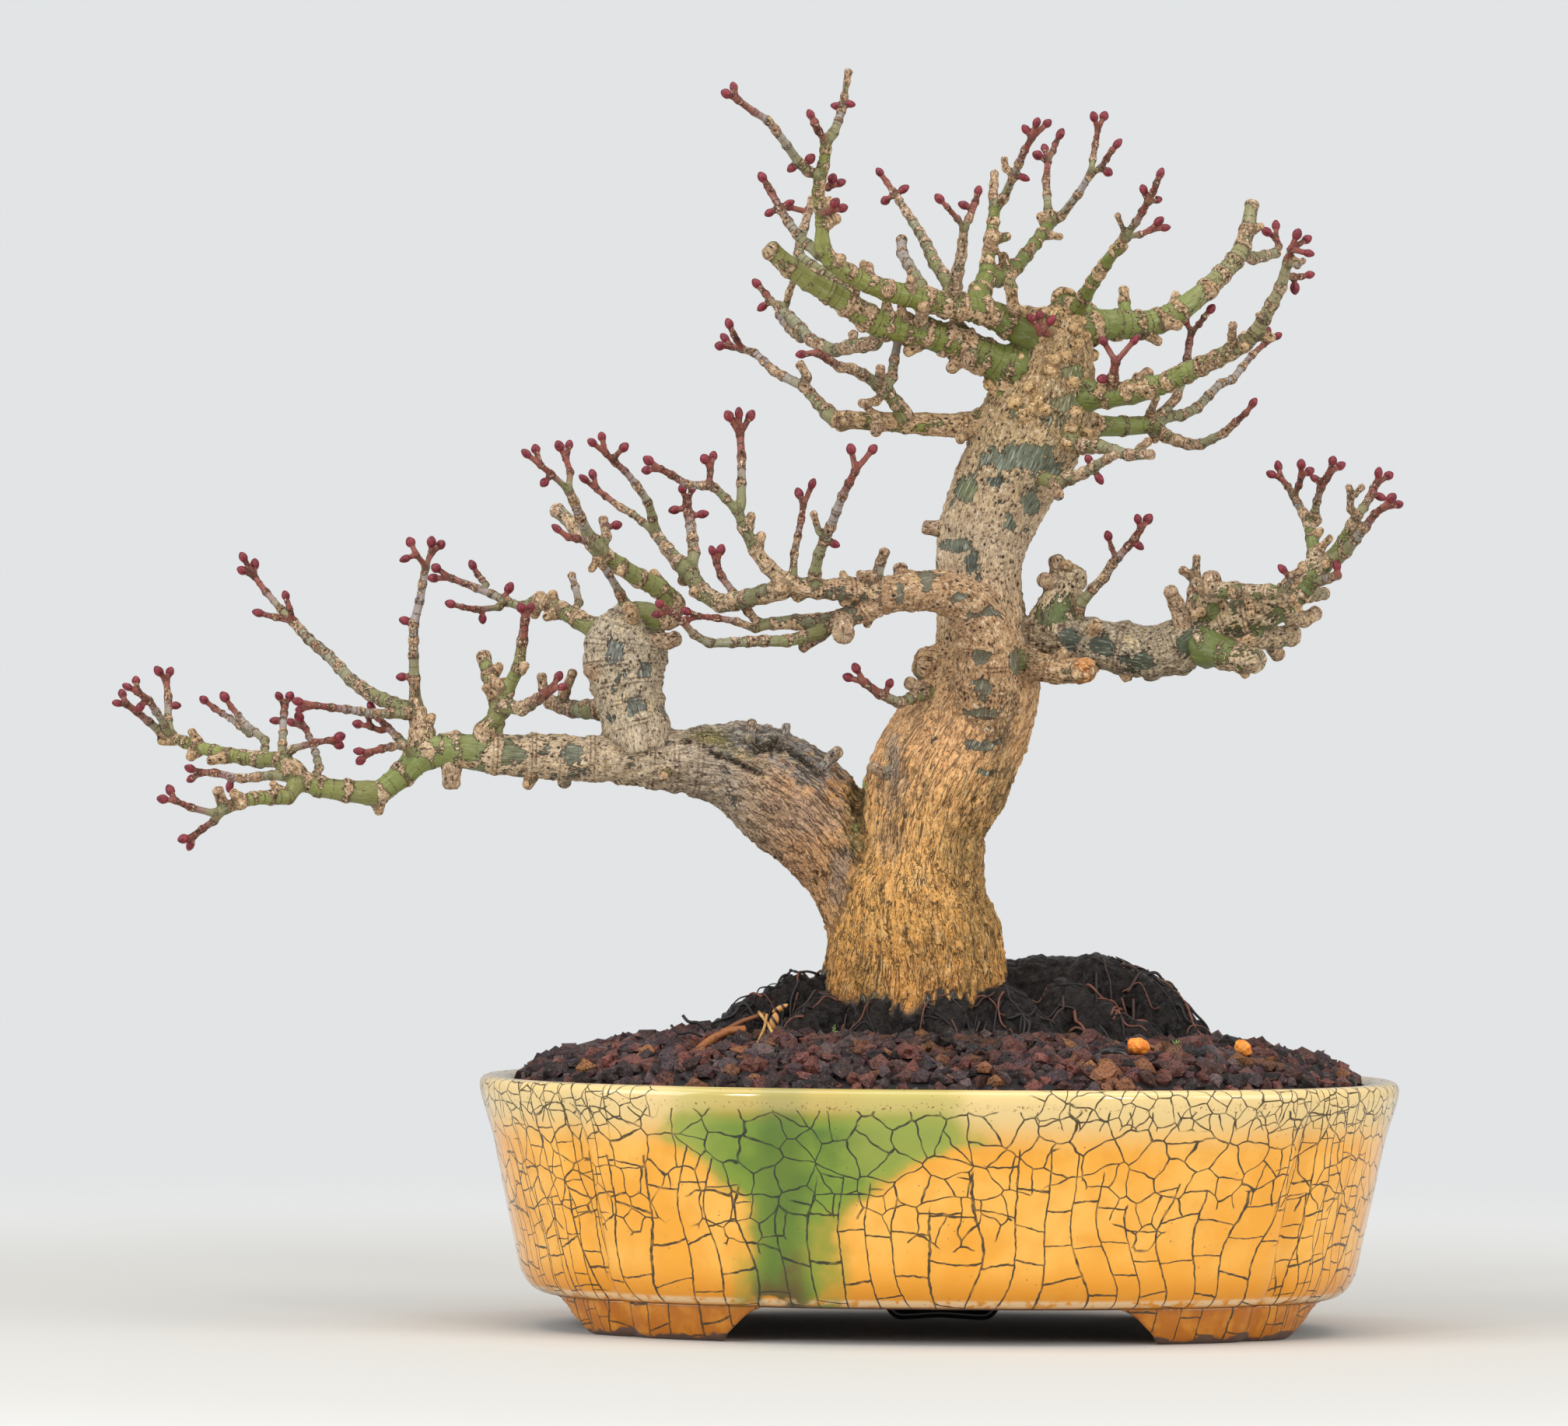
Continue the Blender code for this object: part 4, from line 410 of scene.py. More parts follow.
dot = add(
    "Math.MULTIPLY", add("MapRange", specks, 0.12, 0.06),
    add("MapRange", add("TexNoise", flat, 0.2), 0.45, 0.6),
)
lip = add("MapRange", add("Math.ABSOLUTE", add("Math.SUBTRACT", height, 60.3)), 1.6, 0.5)
rust = add("Math.MULTIPLY", lip, add("MapRange", add("TexNoise", spot, 1.1, 3.0, 0.7), 0.58, 0.66))
dot = add("Math.MAXIMUM", add("Math.MULTIPLY", dot, 0.7), add("Math.MULTIPLY", rust, 0.9))
honey = add("Mix", dot, honey, colour("#7A4318"))
inner = add("MapRange", add("Math.SUBTRACT", add("SeparateXYZ", flat, out="Y"), RIM_CLIMB), 0, 5)
honey = add("Mix", add("Math.MULTIPLY", inner, 0.75), honey, colour("#A9A98C"))
ink = add("Mix", green, colour("#40300F"), colour("#1F2A14"))
glassy = add("Mix", add("Math.MULTIPLY", crack, strength), honey, ink)

# Bare clay shows under the floor, inside the feet and on the worn undersides.
facing = add("SeparateXYZ", add("NewGeometry", out="Normal"), out="Z")
under = add("Math.MULTIPLY", add("MapRange", facing, -0.75, -0.92), add("MapRange", height, 9.8, 9.2))
uneven = add("MapRange", add("TexNoise", spot, 0.12, 3.0), 0.3, 0.7, -1.1, 1.1)
worn = add("MapRange", add("Math.ADD", height, uneven), 1.9, 1.3)
inside = add("MapRange", add("Attribute", attribute_name="inside", out="Fac"), 0.3, 0.7)
bare = add("Math.MAXIMUM", add("Math.MAXIMUM", under, worn), inside)
clay = add("Mix", add("TexNoise", spot, 0.5, 4.0), colour("#4A3328"), colour("#6E5140"))
clay = add("Mix", inside, clay, colour("#A97F62"))
shade.links.new(add("Mix", bare, glassy, clay), shader.inputs["Base Color"])
gloss = add("Math.ADD", add("Math.MULTIPLY", bare, 0.62), 0.09)
shade.links.new(add("Math.ADD", gloss, add("Math.MULTIPLY", crack, 0.25)), shader.inputs["Roughness"])
swell = add("Math.SUBTRACT", add("TexNoise", flat, 0.08, 1.0), add("Math.MULTIPLY", crack, 0.12))
bump = add("Bump", Strength=0.5, Distance=0.0006, Height=swell)
shade.links.new(bump, shader.inputs["Normal"])
piece("pot_body", pot_mesh, glaze, "crackle_glaze", "pot")
piece("pot_feet", feet_mesh, glaze, "crackle_glaze", "pot")


# Tree. One living maple: two stems from one wide foot, thick old branches with corky rings, and
# fine twigs that end in pairs of red buds. Its limbs are routes in the photographer's view: x and
# height in millimetres, then radius and depth, which grows away from the front.
limbs = {}
buds = []


def seen_at(x, z, depth):
    """The point, in millimetres, that the camera sees at x and z when it lies at a depth."""
    far = (EYE_DISTANCE + depth) / EYE_DISTANCE
    return (POT_X + EYE_X + (x - EYE_X) * far, depth, EYE_HEIGHT + (z - EYE_HEIGHT) * far)


def placed(rows):
    return [(*seen_at(x, z, depth), radius) for x, z, depth, radius in rows]


def directions(points):
    """The way ahead at each point of a route, and two ways across it that don't twist."""
    ahead = np.gradient(points, axis=0)
    ahead /= np.linalg.norm(ahead, axis=1)[:, None]
    side = np.cross(ahead[0], (0.1, 1.0, 0.15))
    sides = []
    for way in ahead:
        side = side - way * np.dot(side, way)
        side /= np.linalg.norm(side)
        sides.append(side)
    return ahead, np.array(sides), np.cross(ahead, np.array(sides))


class Strand:
    """A limb's middle line at even steps, with its width, ring scars and kind of bark."""

    def __init__(self, rows, look, part, first_scar=0.0, hidden=0.0, budded=False, step=0.6):
        width = float(np.mean([row[3] for row in rows]))
        passes = int(0.5 * (min(width, 9) / step) ** 2) + 1
        table, self.along = even_steps(rows, step, passes)
        self.points, self.radius = table[:, :3], table[:, 3]
        self.look, self.part, self.budded, self.hidden = look, part, budded, hidden
        self.ahead, self.side, self.over = directions(self.points)
        corners = np.array([row[:3] for row in rows])
        marks = np.cumsum(np.linalg.norm(np.diff(corners, axis=0), axis=1))
        self.scars = []
        last = max(hidden, first_scar)
        longest = 8.0 if width < 2.5 else 11.0
        for mark in marks[marks > max(hidden + 1.2, first_scar)]:
            parts = int((mark - last) // longest)
            for k in range(parts):
                self.scars.append(last + (mark - last) * (k + 1) / (parts + 1))
            self.scars.append(mark)
            last = mark
        near = np.full(len(self.along), 50.0)
        for mark in self.scars:
            gap = self.along - mark
            near = np.where(np.abs(gap) < np.abs(near), gap, near)
        self.near_scar = near
        if part != "roots":
            tall = 0.16 + 0.07 * np.minimum(self.radius, 6)
            wide = 0.55 + 0.16 * np.minimum(self.radius, 6)
            self.radius = self.radius + tall * np.exp(-((near / wide) ** 2))
        if hidden:
            out = np.maximum(self.along - hidden * 0.92, 0)
            self.radius = self.radius * (1 + 0.42 * np.exp(-out / (0.7 * width + 0.5)))


strands = []
NO_RINGS = 999


def stem(name, rows, look, first_scar=0.0):
    """A stem with its own width at each (x, z, radius, depth)."""
    limbs[name] = [(x, z, depth, radius) for x, z, radius, depth in rows]
    strands.append(Strand(placed(limbs[name]), look, "thick", first_scar, step=0.9))


def nearest(parent, x, z):
    """The parent's middle, as seen from the front, that lies nearest, and its width there."""
    best = None
    for (ax, az, ad, ar), (bx, bz, bd, br) in zip(limbs[parent], limbs[parent][1:]):
        span = (bx - ax) ** 2 + (bz - az) ** 2
        t = ((x - ax) * (bx - ax) + (z - az) * (bz - az)) / span if span else 0.0
        t = min(1.0, max(0.0, t))
        spot = (ax + (bx - ax) * t, az + (bz - az) * t, ad + (bd - ad) * t)
        away = math.hypot(spot[0] - x, spot[1] - z)
        if best is None or away < best[0]:
            best = (away, spot, ar + (br - ar) * t)
    return best[1], best[2]


def grow(name, parent, depth, girth, route, tips=(), side=()):
    """A limb from its parent's middle, tapering along its route, with buds at its tip and side."""
    start, parent_radius = nearest(parent, *route[0])
    points = [(start[0], start[1]), *route]
    lengths = [0.0]
    for (ax, az), (bx, bz) in zip(points, points[1:]):
        lengths.append(lengths[-1] + math.hypot(bx - ax, bz - az))
    lengths[-1] = max(lengths[-1], 0.1)
    rows = []
    for (x, z), along in zip(points, lengths):
        share = along / lengths[-1]
        radius = girth[0] + (girth[1] - girth[0]) * share
        rows.append((x, z, start[2] + (depth - start[2]) * share, radius))
    rows[0] = (*rows[0][:3], min(girth[0], parent_radius) * 0.8)
    limbs[name] = rows
    look = looks_of_limbs.get(name, "twig" if girth[0] < 1.75 else "branch")
    budded = bool(tips)
    strands.append(Strand(placed(rows), look, region, 0.0, parent_radius, budded))
    for number, (x, z) in enumerate(tips):
        bud(rows[-1], x, z, (1.4 if number % 2 else -1.4) if len(tips) > 1 else 0.0)
    for x, z in side:
        spot, _ = nearest(name, x, z)
        bud((*spot, girth[1]), x, z, 0.0)


def bud(base, x, z, sideways):
    """A bud's place and way ahead; its short red stalk is part of the twig."""
    bx, bz, depth, radius = base
    width = min(radius, 0.85)
    rows = [(bx, bz, depth, width), (x, z, depth + sideways, width * 0.92)]
    strands.append(Strand(placed(rows), "stalk", region, 0.0, 0.0, True, 0.4))
    ahead = (Vector(seen_at(x, z, depth + sideways)) - Vector(seen_at(bx, bz, depth))).normalized()
    buds.append((Vector(seen_at(x, z, depth + sideways)), ahead))


looks_of_limbs = {
    "tip": "fawn", "tip_low": "fawn", "tip_high": "fawn", "rise": "fawn",
    "le_a": "fawn", "le_b": "fawn", "b3": "fawn", "b1": "fawn",
    "c1": "olive", "c2": "olive", "c7": "olive", "c8": "olive", "c9": "olive", "c5": "olive",
    "c5_f": "olive", "c5_j": "olive", "c6": "olive", "c7_a": "olive", "c4": "cork_olive",
    "tr_b": "cork", "tr_c": "cork", "ri_e": "slate", "ri_f": "slate", "ri_k": "slate",
    "e1": "slate", "e2": "slate", "stub": "slate", "up": "lens", "back": "lens", "low": "lens",
    "kn_c": "cut", "c1_s": "olive", "head": "cork_olive", "he_a": "cork_olive", "he_c": "cork_olive",
}
# The main trunk, the left stem and the stump-like sub-trunk on it.
stem(
    "trunk",
    [
        (-6, 70, 27, 0), (-6.3, 84, 25, 0), (-6.3, 100, 22.3, 0), (-8, 110, 20.3, 0),
        (-6, 120, 16.8, 0), (-5.5, 130, 15.8, 0), (-1.8, 140, 18.4, 0),
        (3.3, 150, 17.2, 1), (8.6, 160, 15.9, 2), (11.4, 168, 15, 3),
        (10.6, 176, 12, 4), (9.6, 185, 10.4, 4), (9.1, 195, 10.6, 4),
        (10, 205, 11.9, 4), (13, 212, 12.2, 3), (17, 220, 13, 2), (21.5, 230, 14.4, 1),
        (25.5, 238, 13.4, 0), (28, 246, 11, 0), (29.5, 254, 9, 0), (30.2, 260, 6.5, 0),
        (31, 264, 3.4, 0),
    ],
    "trunk",
    NO_RINGS,
)
stem(
    "left",
    [
        (-15, 92, 10.5, 0), (-19.2, 110, 11.3, 1), (-24, 121.5, 13, 3),
        (-33.3, 132, 14.3, 5), (-40.5, 137.4, 14.8, 5), (-50.6, 144, 12.4, 3),
        (-63.5, 145.5, 8.4, 0), (-75, 145.5, 6.3, -2), (-90, 146, 5.3, -3),
        (-105, 146.7, 5.4, -4), (-115, 146.6, 4.7, -5), (-125, 147.5, 4.6, -6),
        (-133, 148, 4.1, -7), (-138.5, 141, 3.1, -8), (-145, 136.5, 2.9, -10),
    ],
    "left",
    72,
)
stem(
    "sub",
    [
        (-77, 147, 8, -2), (-78.5, 154, 8.4, -1), (-80.5, 160, 7.6, 0),
        (-80.8, 165, 8.2, 0), (-82, 170, 10.6, 1), (-82, 175, 11.4, 1),
        (-80.5, 180, 9.2, 1), (-79.5, 183, 5, 1),
    ],
    "sub",
)

# The long left stem's end, where it divides into fine red-budded twigs.
region = "left"
grow("tip", "left", -14, (2.9, 2.5), [(-153, 137), (-160, 138), (-165, 140)])
grow("tip_low", "tip", -28, (2.1, 1.5), [(-168, 135.3), (-177, 135), (-184, 132.5)])
grow("tl_a", "tip_low", -38, (1.1, 0.8), [(-187, 131), (-193, 132.5), (-197, 134.2)],
     [(-200.2, 134.6), (-198.3, 136.9)])
grow("tl_b", "tip_low", -22, (1.1, 0.8), [(-187, 129), (-190, 127), (-192, 125.3)],
     [(-194.8, 124.4), (-193, 122.8)])
grow("tl_c", "tip_low", -30, (1.2, 1.3), [(-185, 134), (-186, 137)])
grow("tip_high", "tip", 12, (2.4, 1.4), [(-167, 142.5), (-170, 145), (-176, 145),
     (-183, 146), (-191, 148), (-198, 150.5)])
grow("th_a", "tip_high", 4, (1.2, 0.9), [(-201, 152), (-207, 157), (-209.8, 159)],
     [(-212.1, 159.2), (-210.8, 161.6)])
grow("th_b", "tip_high", 24, (1.2, 0.9), [(-199, 155), (-199, 161), (-199.5, 165)],
     [(-201.5, 167.5), (-198.6, 167.4)], [(-197, 158.7)])
grow("th_c", "tip_high", -4, (1.1, 0.9), [(-200, 154), (-204, 160), (-207, 162.2)],
     [(-209.5, 163.4), (-207.3, 165)], [(-206.2, 158.2)])
grow("tip_mid", "tip", -4, (1.4, 0.9), [(-172, 141), (-180, 140), (-187, 141.5),
     (-190.5, 141.5)], [(-193.2, 142.5), (-192.9, 139.9)], [(-183, 138)])
grow("th_d", "tip_high", 30, (1.2, 0.8), [(-174, 150), (-179, 154), (-182.8, 158.5)],
     [(-184.5, 161)])
grow("th_e", "th_d", 40, (0.9, 0.8), [(-178, 151.5), (-183, 155.5), (-187, 158)],
     [(-189.8, 160.2)])
grow("th_f", "tip_high", 20, (1.2, 0.9), [(-169.5, 149), (-169.3, 155), (-169, 158.8)],
     [(-170.5, 161.3), (-167.7, 161.3)], [(-171.4, 155)])
grow("th_g", "tip_high", -16, (1.1, 0.8), [(-167, 147.8), (-161, 149.5), (-157.5, 150)],
     [(-154.8, 151), (-155, 148.9)])
grow("tip_up", "tip", 22, (1.2, 0.8), [(-160, 143), (-161, 147), (-163.5, 153)],
     [(-165.3, 156), (-167.3, 154.6)])
grow("rise", "left", -4, (3, 2.2), [(-134, 153), (-135, 158)])
grow("sweep", "rise", 30, (2, 1.2), [(-141, 159.5), (-147, 162), (-152, 165.5),
     (-158, 172), (-163, 176), (-167, 180.5)], [], [(-176, 182.7)])
grow("sw_a", "sweep", 38, (1.1, 0.8), [(-170, 183.5), (-174, 188), (-177, 192)],
     [(-180.3, 193.6), (-177, 195.2), (-180, 197)])
grow("sw_b", "sweep", 26, (0.9, 0.8), [(-168, 184)], [(-169, 187.2)])
grow("ri_a", "rise", -24, (1.4, 0.9), [(-138, 157), (-146, 157), (-153, 158),
     (-161, 159)], [(-165.7, 160), (-165, 158)])
grow("ri_b", "left", 8, (1.2, 0.9), [(-140, 151), (-145, 156)], [(-146.8, 158.8)])
grow("ri_c", "ri_b", 2, (0.9, 0.8), [(-144, 152.5), (-147, 153.7)],
     [(-147.6, 156.8), (-150.2, 154.3)])
grow("ri_d", "left", -26, (1.2, 0.9), [(-139, 149), (-144, 148), (-147, 147)],
     [(-149.8, 147.3), (-149.4, 144.9)])
grow("pole", "rise", -8, (1.5, 1.0), [(-135.5, 161), (-136, 172), (-136, 180),
     (-134.5, 186), (-133, 195)], [], [(-139, 166.5), (-138.3, 181)])
grow("po_a", "pole", -14, (0.9, 0.8), [(-135.5, 198)], [(-138.3, 196.9), (-137, 201.2)])
grow("po_b", "pole", -2, (0.9, 0.8), [(-131.7, 198.3)], [(-131.6, 201.3), (-129.2, 200.6)])
grow("le_a", "left", -14, (2.6, 1.1), [(-117.5, 153), (-113, 158), (-112, 163),
     (-109, 169), (-108, 176), (-107.3, 182)], [(-108.4, 184.5), (-106, 184.5)])
grow("le_b", "left", 18, (2.6, 1.8), [(-115, 155), (-114, 160), (-116.5, 167), (-118, 172)])
grow("le_c", "le_a", -30, (2.2, 1.1), [(-108, 158.5), (-104, 161), (-100.5, 163.7)],
     [(-97.6, 164.3), (-98.6, 167)])
grow("le_d", "left", -8, (2.3, 2.0), [(-126, 142), (-126, 139)])
grow("le_e", "left", 16, (2, 1.6), [(-96, 141.8), (-97, 139.8)])

# Branches of the sub-trunk.
grow("su_a", "sub", 16, (3, 1.8), [(-88, 158.5), (-95, 158.5), (-101, 160.5)])
grow("su_b", "su_a", 20, (1.2, 1.2), [(-102.5, 163.5), (-103, 167)])
grow("su_c", "su_a", 8, (1.4, 1.1), [(-97, 163), (-95, 168)])
grow("b1", "sub", 20, (2.7, 2), [(-90, 179.5), (-98, 184), (-104, 186.8)])
grow("b1_a", "b1", 30, (1.3, 0.9), [(-108, 184.8), (-112, 186), (-116, 188),
     (-120, 189.5), (-126.5, 192)], [(-130.4, 194.6), (-131, 192)], [(-111.5, 189.6)])
grow("b1_b", "b1_a", 38, (0.9, 0.8), [(-117.5, 190.5), (-119.6, 192.8)], [(-121, 195.4)])
grow("b1_c", "b1_a", 14, (0.9, 0.8), [(-114, 184.6), (-120, 184), (-123.6, 184.6)],
     [(-126.6, 185.4)], [(-118.3, 181.6)])
grow("b1_d", "b1", 30, (1.2, 0.9), [(-93.5, 186), (-94.5, 190), (-95.5, 193)])
grow("b2", "sub", -10, (1.4, 0.9), [(-81, 184), (-83, 188.5), (-86, 193.5), (-88.5, 196.5)])
grow("b3", "sub", -24, (3.2, 2), [(-70, 182), (-69, 186), (-73, 190), (-78, 192.3),
     (-83, 195.5), (-88, 199)])
grow("b3_a", "b3", -36, (1.7, 1.1), [(-91, 203), (-93.5, 208), (-95, 212), (-96.5, 215)])
grow("b3_b", "b3_a", -46, (1.0, 0.8), [(-101, 219), (-103.8, 221.3)],
     [(-107.4, 224.2), (-105, 225.4)], [(-102.7, 216.8)])
grow("b3_c", "b3_a", -28, (1.0, 0.8), [(-96, 219.5), (-97.2, 223)],
     [(-98.9, 226.2), (-96.4, 226.5)])
grow("b3_d", "b3", -12, (2, 1.8), [(-90, 201.5), (-95, 205.8), (-99.5, 209.8)])
grow("b3_e", "b3", -42, (1.0, 0.9), [(-92, 202), (-96.5, 202.8)], [(-99.4, 205)])
grow("b3_f", "b3", -16, (1.3, 1.1), [(-86.5, 203), (-87.5, 207.5)], [], [(-84, 206)])

# The ringed branch that leaves the trunk's front and arches to the left.
region = "front"
stem(
    "arch",
    [
        (9, 148, 6, 0), (10.5, 156, 7.2, -7), (11.3, 166, 7.6, -12), (12, 177, 7.4, -15),
        (8, 186, 6.4, -18), (0.5, 190, 5.2, -21), (-9, 189.8, 4.6, -24),
        (-15, 188.6, 4.4, -26),
    ],
    "arch",
)
grow("up", "arch", -40, (3, 1.3), [(-20, 190), (-28, 189.8), (-36, 190.2), (-41, 192),
     (-45, 195.5), (-48.5, 200), (-51, 205.5), (-53, 210)])
grow("up_l", "up", -54, (1.2, 0.9), [(-56, 213), (-59, 216), (-62, 216.3), (-66, 216.5),
     (-70, 219), (-73, 220.6)], [(-76, 222.7), (-76.4, 220.2)])
grow("up_m", "up_l", -46, (0.9, 0.8), [(-60, 220.5)], [(-61.5, 223.2), (-59.3, 224)])
grow("up_r", "up", -34, (1.3, 1.0), [(-52, 212), (-52, 217), (-52, 224), (-52.5, 229.5)],
     [(-55.4, 234.3), (-49.8, 234.4), (-52.8, 235)])
grow("back", "up", -8, (2.4, 2.2), [(-42, 189.6), (-50, 187.5), (-57, 185.8),
     (-62, 189), (-65, 193.5)])
grow("b4", "back", 4, (2.1, 1.4), [(-68, 196.5), (-71, 200), (-74, 204)])
grow("b4_a", "b4", 16, (1.1, 0.8), [(-80, 209), (-83, 210.5), (-87, 213.5), (-89, 215)],
     [(-92.5, 217.8), (-90.3, 219)])
grow("b4_b", "b4", -8, (1.3, 0.8), [(-74.8, 208), (-76, 212), (-79, 216.3), (-82, 220),
     (-84.5, 222), (-87, 224.5)], [(-90.5, 227.2), (-88, 228.7)], [(-82.3, 226)])
grow("b5", "back", 10, (1.7, 1.1), [(-64, 199), (-65, 206), (-66, 212)],
     [(-67.2, 215.4), (-64.6, 215.6)], [(-69.2, 210), (-61.9, 209)])
grow("low", "arch", -24, (3.2, 1.6), [(-20, 184.8), (-26, 182), (-32, 181.3),
     (-38, 181.5), (-44, 181)])
grow("lo_a", "low", -14, (1.2, 0.9), [(-47.5, 181), (-50, 184), (-54, 189), (-57, 193),
     (-58.3, 196.5)], [(-59.4, 199.6), (-57.2, 199.8)])
grow("lo_b", "low", -32, (1.1, 0.8), [(-48, 179.5), (-53, 181.5), (-58, 182.3),
     (-62.8, 182.7)], [(-66, 184), (-66, 181.6)])
grow("lo_c", "low", -58, (1.8, 0.9), [(-30, 179.5), (-36, 177.5), (-40, 176.5),
     (-46, 176.5), (-54, 176), (-60, 175.8), (-64, 178), (-67, 181.5), (-70, 184)],
     [(-72.8, 185.8), (-73.4, 183.2)])
grow("lo_d", "low", -36, (2.7, 2.5), [(-25.5, 178.7)])
grow("lo_e", "low", -30, (1.4, 1.2), [(-31, 178), (-36, 174.8)])
grow("ar_a", "up", -26, (1.1, 0.8), [(-38.5, 194), (-38.3, 199), (-36.5, 208),
     (-36, 211.5)], [(-33.8, 217), (-37.2, 214.5)])
grow("ar_b", "up", -54, (1.6, 1.0), [(-33, 194), (-32, 199), (-29, 206), (-26, 214),
     (-22.7, 220.5)], [(-23.9, 226), (-18.3, 226)], [(-28, 201.6)])
grow("ar_c", "ar_b", -44, (0.9, 0.8), [(-32, 204.5), (-33.5, 209.5)])
grow("ar_d", "arch", -32, (1.6, 1.2), [(-17, 193), (-16, 197), (-15, 199.8)])
grow("ar_e", "ar_d", -34, (1.2, 1), [(-19, 193.6), (-21.4, 193.8)])
grow("ar_f", "arch", -22, (1.7, 1.5), [(-10.5, 192), (-11, 195.7)])

# Short growth and cut stubs on the main trunk.
grow("tr_a", "trunk", -26, (2, 1.1), [(5, 164), (-5, 163.3), (-11, 160.8), (-16, 163),
     (-20, 166)], [(-22.2, 169.7), (-24.2, 167.3)], [(-13.5, 165.8)])
grow("tr_b", "trunk", -2, (5.4, 3.6), [(0, 170.5), (-4.8, 171)])
grow("tr_c", "trunk", -16, (3.8, 3.1), [(22, 171), (29, 169.6), (35.5, 169.3)])
grow("tr_d", "trunk", 4, (2.6, 1.6), [(-4.5, 206)])
grow("tr_e", "trunk", -14, (3, 2.5), [(16.5, 172)])

# The heavy right branch with its knobs and turned-up tips.
stem(
    "right",
    [
        (14, 177, 5.6, 4), (24, 178, 5.4, 2), (31, 177.6, 5.8, 0), (38, 177, 6, 0),
        (46, 175.6, 6.2, -2), (54, 173.8, 6.5, -3), (60, 175.5, 6.4, -4),
        (66, 179, 6, -5), (72, 182, 5, -6), (78, 184, 4.3, -7), (84, 184.5, 4, -8),
        (88, 187, 3.6, -9), (92, 190, 3, -10), (95, 193.5, 2.4, -10),
    ],
    "right",
)
grow("stub", "right", 6, (5.2, 4.4), [(29, 184), (31, 190), (32.5, 194)])
grow("st_a", "stub", 4, (2.1, 1.6), [(30, 195.5), (29, 198)])
grow("st_b", "stub", 0, (2.1, 1.7), [(28, 192), (25.8, 192.8)])
grow("ri_t", "right", -10, (1.7, 0.9), [(35, 186), (38.5, 190.5), (41.5, 193.5),
     (43.5, 197), (45, 198.8), (47.5, 201.5), (49.5, 204), (50.8, 206)],
     [(50, 208.6), (52.6, 208.6)], [(50.3, 201.8)])
grow("ri_u", "ri_t", -2, (0.8, 0.7), [(44.3, 199), (43.2, 201.3)], [(42.4, 204.2)])
grow("ri_e", "right", -18, (4.6, 3), [(68, 176), (73, 174), (77, 173), (80.5, 172.3)])
grow("ri_f", "right", 4, (3.2, 2.6), [(80, 178.3), (85, 178.5), (90, 179)])
grow("ri_g", "ri_f", 4, (1.8, 1.6), [(85, 175.5), (86.5, 173.8)])
grow("ri_h", "right", -14, (2.6, 1.7), [(62, 182), (60, 187), (58.5, 190.2)])
grow("ri_i", "right", 4, (2.2, 0.9), [(64, 184), (64.3, 190), (65, 194), (65.2, 199)])
grow("ri_j", "ri_i", 4, (1.2, 1), [(64, 194), (61.5, 195.6)])
grow("ri_k", "right", -26, (2.8, 1.7), [(68, 186), (68.8, 190), (75, 190.5),
     (79, 189.8), (84, 190.3), (89, 189.5)])
grow("ri_l", "ri_k", -14, (2.4, 1.8), [(69, 191), (69, 194)])
grow("ri_m", "ri_k", -32, (1.3, 1.1), [(88, 192), (90.5, 194.5), (93, 196.5)],
     [], [(87.3, 196)])
grow("ri_n", "right", 2, (2.4, 1.7), [(90, 183.5), (93, 183), (96, 184.8)])
grow("ri_o", "right", 10, (2.1, 1.5), [(94, 189.5), (98, 189.8)])
grow("ri_p", "right", -20, (1.5, 1.1), [(97, 193), (101.5, 194.6)], [], [(101.3, 197)])
grow("e1", "right", 6, (2.1, 1.5), [(95, 197), (95.5, 200), (94.8, 204), (94, 208)])
grow("e1_a", "e1", 14, (1.3, 1.0), [(92.5, 210.5), (91, 213), (90, 215)])
grow("e1_b", "e1_a", 22, (1.0, 0.8), [(88.5, 217.3), (86.7, 219.4)],
     [(84.2, 220.4), (86, 222.5)])
grow("e1_c", "e1_a", 6, (1.0, 0.8), [(91.3, 217.5), (91.9, 220)],
     [(91.9, 223), (94, 221.2)])
grow("e1_d", "e1", -2, (1.1, 0.9), [(95.5, 210.5), (96, 213.5), (97, 217), (98.5, 219.5),
     (99.2, 221)], [(100, 224), (102, 222.7)], [(95.4, 219.4)])
grow("e2", "right", -24, (2.2, 1.3), [(97, 195.5), (100, 199), (103, 203.5),
     (105, 207.5), (106.5, 210)])
grow("e2_a", "e2", -14, (1.2, 0.9), [(108, 212), (109.5, 214.5), (110.5, 217),
     (111.4, 218.3)], [(111.8, 221), (114.4, 220.3)], [(112.3, 214.8)])
grow("e2_b", "e2", -34, (1.0, 0.8), [(104.6, 211.5), (104.7, 214.5), (104.2, 217.3)])
grow("e2_c", "e2_b", -38, (0.8, 0.8), [(105.8, 215.4), (107.5, 217.2)])
grow("e3", "e2", -36, (1.7, 0.9), [(101, 198.8), (103.5, 200.5), (106, 203.8),
     (108.5, 207), (111, 210.5), (113, 212)], [(115.2, 214.5), (117, 212.9)])

# The crown's left side: two long green branches over a corky one.
region = "crown_left"
grow("c1", "trunk", -34, (4.3, 2.1), [(22, 256), (16, 259), (10, 261.8), (4, 263),
     (0, 263.4), (-5, 264.8), (-10, 265.7), (-15, 266.9), (-20, 268.8), (-25, 271.2),
     (-29.5, 274), (-31.5, 277.3)])
grow("c1_s", "c1", -42, (1.7, 1.4), [(-31.8, 280), (-31.8, 284), (-32.3, 288),
     (-33, 292), (-32.5, 295), (-31.5, 299), (-31, 303), (-31, 305.3)])
grow("c1_a", "c1_s", -38, (1.3, 0.9), [(-29, 307.3), (-27.8, 310.5), (-27, 313),
     (-26.3, 317)], [], [(-28.3, 314.2), (-25, 314.8)])
grow("c1_b", "c1_a", -37, (0.6, 0.9), [(-25.7, 320.5), (-25.3, 323.2)])
